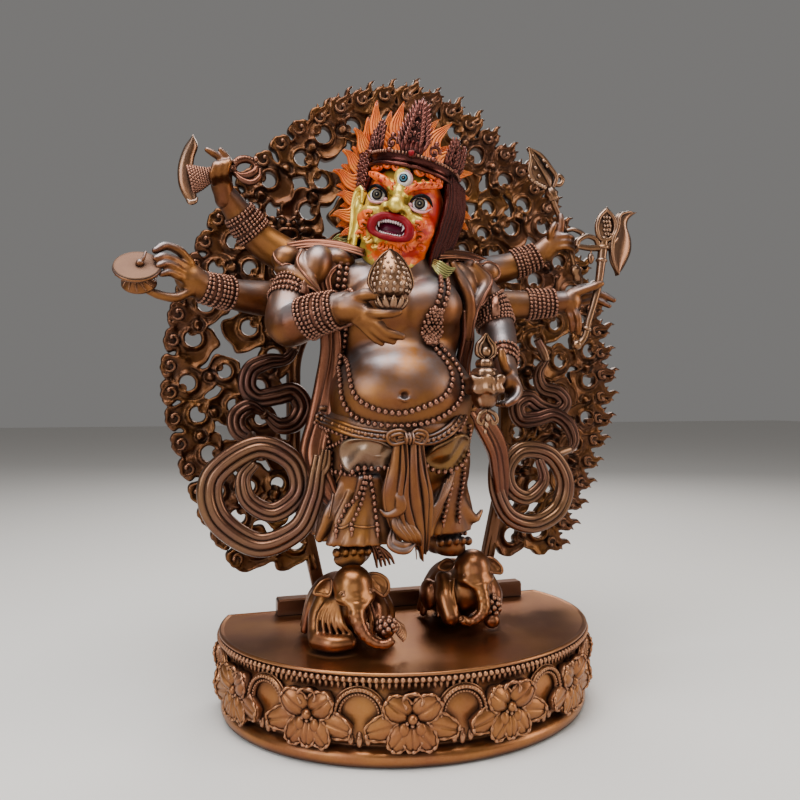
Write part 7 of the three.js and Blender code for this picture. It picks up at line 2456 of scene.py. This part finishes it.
def build_skull_cup():
    """Skull cup with a ruffled rim, piled tiers, a flaming jewel on top and a scrolled drop below"""
    cup = Batch()
    axis = vec(14.0, -21.8, 0)
    turn = full_turn(84)
    rings = []
    for z, radius, wave in ((106.0, 0.5, 0), (106.2, 2.0, 0), (107.2, 3.4, 0), (109.0, 4.3, 0),
                            (110.6, 4.6, 0.01), (110.9, 5.4, 0.06), (111.6, 6.2, 0.08), (112.6, 6.4, 0.06),
                            (113.8, 5.9, 0.04), (115.0, 6.3, 0.08), (116.0, 6.7, 0.09), (116.7, 6.3, 0.09),
                            (116.8, 5.6, 0.07), (116.0, 4.9, 0.03), (115.6, 3.5, 0.0)):
        reach = radius * (1 + wave * np.sin(7 * turn + 0.6))
        rings.append(axis + np.stack([reach * np.cos(turn), reach * np.sin(turn),
                                      z + 6.0 * wave * np.sin(7 * turn + 2.0)], -1))
    add_skin(cup, rings)
    for foot, tall, wide in ((115.2, 4.6, 4.4), (119.2, 3.4, 2.9)):
        profile = [(wide * 0.6, 0.0), (wide * 0.92, 0.14), (wide, 0.4), (wide * 0.97, 0.62),
                   (wide * 0.8, 0.84), (wide * 0.5, 0.96), (0.1, 1.0)]
        add_lathe(cup, axis + vec(0, 0, foot), axis + vec(0, 0, foot + tall), profile, sides=48,
                  lobes=lambda turn, share: 0.07 * np.sin(6 * turn + 1.1))
    add_ball(cup, axis + vec(0, -1.0, 124.6), vec(1.7, 1.6, 1.8), shape=FINE_BALL)
    add_ball(cup, axis + vec(0, 0.2, 125.4), vec(2.3, 0.9, 3.6), shape=FINE_BALL)
    for sign in (-1, 1):
        flame = [axis + vec(0.8 * sign, -0.6, 122.4), axis + vec(2.7 * sign, -0.8, 124.0),
                 axis + vec(2.5 * sign, -0.7, 126.6), axis + vec(1.2 * sign, -0.5, 128.4),
                 axis + vec(0.1 * sign, -0.4, 130.6)]
        add_band(cup, flame, [0.4, 1.0, 1.1, 0.8, 0.15], 1.1, strands=2, steps=30, face=(0, -1, 0))
        curl = [axis + vec(0.4 * sign, -1.6, 105.8), axis + vec(2.6 * sign, -2.2, 104.4),
                axis + vec(3.4 * sign, -2.2, 102.2), axis + vec(1.9 * sign, -2.3, 101.2),
                axis + vec(1.3 * sign, -2.4, 102.8)]
        add_tube(cup, curl, [0.9, 0.8, 0.7, 0.6, 0.4], sides=8, steps=24)
    for drop, size in ((103.4, 1.4), (101.0, 1.1), (98.8, 0.8)):
        add_ball(cup, axis + vec(-0.8 * (103.4 - drop) / 4, -2.4, drop), vec(size * 0.8, size * 0.8, size))
    return cup


def build_trident():
    """Bent staff through the fingers, a textured knop and a leaf-shaped head leaning to the left"""
    staff = Batch()
    line = [(53.9, 8.6, 187.0), (57.0, 8.8, 181.0), (60.4, 9.4, 174.8), (63.0, 9.8, 168.0), (65.6, 10, 159.6)]
    add_tube(staff, line, [1.15, 1.05, 1.0, 0.9, 0.8], sides=12, steps=40)
    add_lathe(staff, (65.0, 10, 161.0), (67.8, 10, 153.2),
              [(0.8, 0.0), (1.7, 0.12), (2.1, 0.3), (1.5, 0.46), (2.0, 0.62), (1.6, 0.84), (0.4, 1.0)],
              sides=20, lobes=lambda turn, share: 0.07 * np.sin(6 * turn))
    add_lathe(staff, (55.6, 8.8, 184.4), (53.6, 8.6, 190.0),
              [(0.9, 0.0), (2.4, 0.14), (2.0, 0.3), (2.5, 0.5), (1.9, 0.7), (1.6, 0.86), (0.6, 1.0)],
              sides=26, lobes=lambda turn, share: 0.12 * np.sin(8 * turn + 7 * share))
    right = [(44.7, 204.0), (49.1, 201.2), (53.4, 196.6), (55.6, 193.2), (54.7, 189.4)]
    left = [(44.6, 203.8), (45.6, 199.0), (44.8, 194.2), (47.0, 190.4), (52.8, 189.3)]
    blade_plate(staff, left, right, 8.6, 1.2)
    add_tube(staff, [(44.9, 8.0, 203.6), (49.6, 7.4, 201.0), (53.6, 7.3, 196.6), (56.0, 7.4, 193.2),
                     (55.0, 7.8, 189.4)], [0.3, 0.8, 0.9, 0.9, 0.7], sides=8, steps=36)
    add_tube(staff, [(44.9, 8.0, 203.4), (45.4, 7.4, 199.0), (44.7, 7.2, 194.4), (46.6, 7.2, 191.0)],
             [0.3, 0.75, 0.85, 0.7], sides=8, steps=30)
    add_tube(staff, [(46.2, 7.6, 201.0), (49.0, 7.0, 196.6), (51.6, 7.0, 192.8), (53.4, 7.4, 189.8)],
             [0.3, 0.6, 0.7, 0.6], sides=8, steps=24)
    for k in range(7):
        share = k / 6
        add_ball(staff, vec(44.8 + 6.4 * share, 7.4, 192.6 - 3.6 * share ** 0.6), 0.95)
    for spot in ((47.2, 7.2, 196.0), (48.6, 7.1, 193.0), (52.0, 7.1, 197.0), (50.6, 7.1, 199.0)):
        add_ball(staff, spot, 0.8)
    add_tube(staff, [(55.4, 8.0, 190.6), (57.8, 7.6, 190.8), (58.8, 7.6, 192.8), (57.4, 7.6, 194.2),
                     (56.4, 7.6, 193.0)], [0.8, 0.9, 0.9, 0.8, 0.5], sides=8, steps=30)
    return staff


def build_goad():
    """Staff with a crossbar, a pointed knop, a half-round hook and an axe blade"""
    staff = Batch()
    line = [(63.0, 4.6, 129.4), (66.2, 4.4, 132.6), (68.1, 4.4, 139.0), (70.4, 4.4, 146.0),
            (72.4, 4.3, 153.6), (73.8, 4.3, 163.8), (74.6, 4.4, 171.0)]
    add_tube(staff, line, [1.1, 1.25, 1.3, 1.4, 1.55, 1.75, 1.8], sides=14, steps=60)
    for spot, way, size in (((74.2, 4.35, 167.2), (0.1, 0, 1), 2.5), ((73.6, 4.3, 162.2), (0.1, 0, 1), 2.2),
                            ((67.2, 4.4, 136.0), (0.25, 0, 1), 1.9)):
        add_lathe(staff, vec(*spot) - 0.9 * unit(way), vec(*spot) + 0.9 * unit(way),
                  [(0.6 * size, 0.0), (size, 0.3), (size, 0.7), (0.6 * size, 1.0)], sides=20)
    add_ball(staff, (63.2, 4.6, 129.8), vec(2.0, 1.8, 1.9), shape=FINE_BALL)
    left = [(75.1, 181.4), (72.2, 178.4), (71.1, 174.2), (72.5, 170.4)]
    right = [(75.3, 181.4), (78.4, 178.2), (79.0, 174.2), (76.5, 170.4)]
    blade_plate(staff, left, right, 4.4, 1.1)
    rim = [(x, 3.4, z) for x, z in left + right[::-1]]
    add_tube(staff, rim, [0.9], sides=8, steps=60, closed=True)
    for row in range(5):
        for col in range(3):
            add_ball(staff, vec(73.9 + 1.2 * col + 0.15 * row - 0.3 * (row % 2), 3.0, 178.4 - 1.6 * row), 0.6)
    add_tube(staff, [(62.9, 4.2, 167.0), (69.3, 4.3, 166.7), (77.8, 4.4, 167.6)], [1.0, 1.3, 1.5], sides=12,
             steps=24)
    hook = [(63.0, 4.2, 167.0), (63.9, 4.1, 169.4), (67.2, 4.0, 171.0), (70.8, 4.1, 170.2),
            (72.4, 4.2, 167.6)]
    add_tube(staff, hook, [0.9, 1.0, 0.95, 1.0, 1.1], sides=10, steps=40)
    reach = [(63.4, 4.6, 168.6), (66.4, 5.6, 171.8), (63.2, 6.6, 173.8), (60.6, 7.6, 173.4)]
    add_tube(staff, reach, [0.8, 0.95, 0.9, 0.7], sides=10, steps=36)
    add_ball(staff, (69.0, 4.4, 162.8), vec(1.3, 1.1, 2.2), shape=FINE_BALL)
    add_tube(staff, [(69.2, 4.3, 166.4), (69.0, 4.4, 164.4)], [0.5, 0.4], sides=6, steps=6)
    outer = [(88.5, 181.2), (85.6, 178.8), (85.0, 175.7), (86.6, 171.3), (86.5, 166.2), (83.6, 160.4),
             (80.8, 156.8)]
    inner = [(88.2, 181.5), (85.0, 181.9), (80.2, 180.2), (79.0, 174.2), (77.0, 169.6), (77.2, 162.4),
             (80.4, 156.9)]
    blade_plate(staff, inner, outer, 4.4, 1.3, rows=40)
    add_tube(staff, [(87.6, 3.6, 181.3), (84.6, 3.0, 181.2), (81.0, 3.0, 179.6), (79.8, 3.0, 174.6),
                     (77.8, 3.0, 169.8), (77.8, 3.2, 163.6), (80.2, 3.8, 158.0)],
             [0.2, 0.6, 0.8, 0.8, 0.9, 0.7, 0.2], sides=8, steps=50)
    add_tube(staff, [(76.4, 4.4, 168.0), (78.4, 4.2, 169.6), (80.4, 4.0, 171.4)], [1.3, 1.5, 0.8], sides=10,
             steps=14)
    return staff


def build_held():
    blade, grip = build_chopper()
    drum, skin = build_drum()
    for node, name, batch, material in (("chopper", "chopper_blade", blade, STAFF_METAL),
                                        ("chopper", "chopper_grip", grip, ORNAMENT_METAL),
                                        ("drum", "drum_form", drum, BODY_METAL),
                                        ("drum", "drum_skin", skin, SKIN_METAL),
                                        ("jewel", "jewel_form", build_jewel(), JEWEL_METAL),
                                        ("skull_cup", "skull_cup_form", build_skull_cup(), STAFF_METAL),
                                        ("trident", "trident_form", build_trident(), STAFF_METAL),
                                        ("goad", "goad_form", build_goad(), STAFF_METAL)):
        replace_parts(batch.piece(name, material, "held_bronze"), node)


# Making

build_plinth()
build_aureole()
build_body()
build_cape()
build_skirt()
build_face()
build_crown()
build_hair_flames()
build_locks()
build_ear_ribbons()
build_beasts()
build_scarves()
build_held()
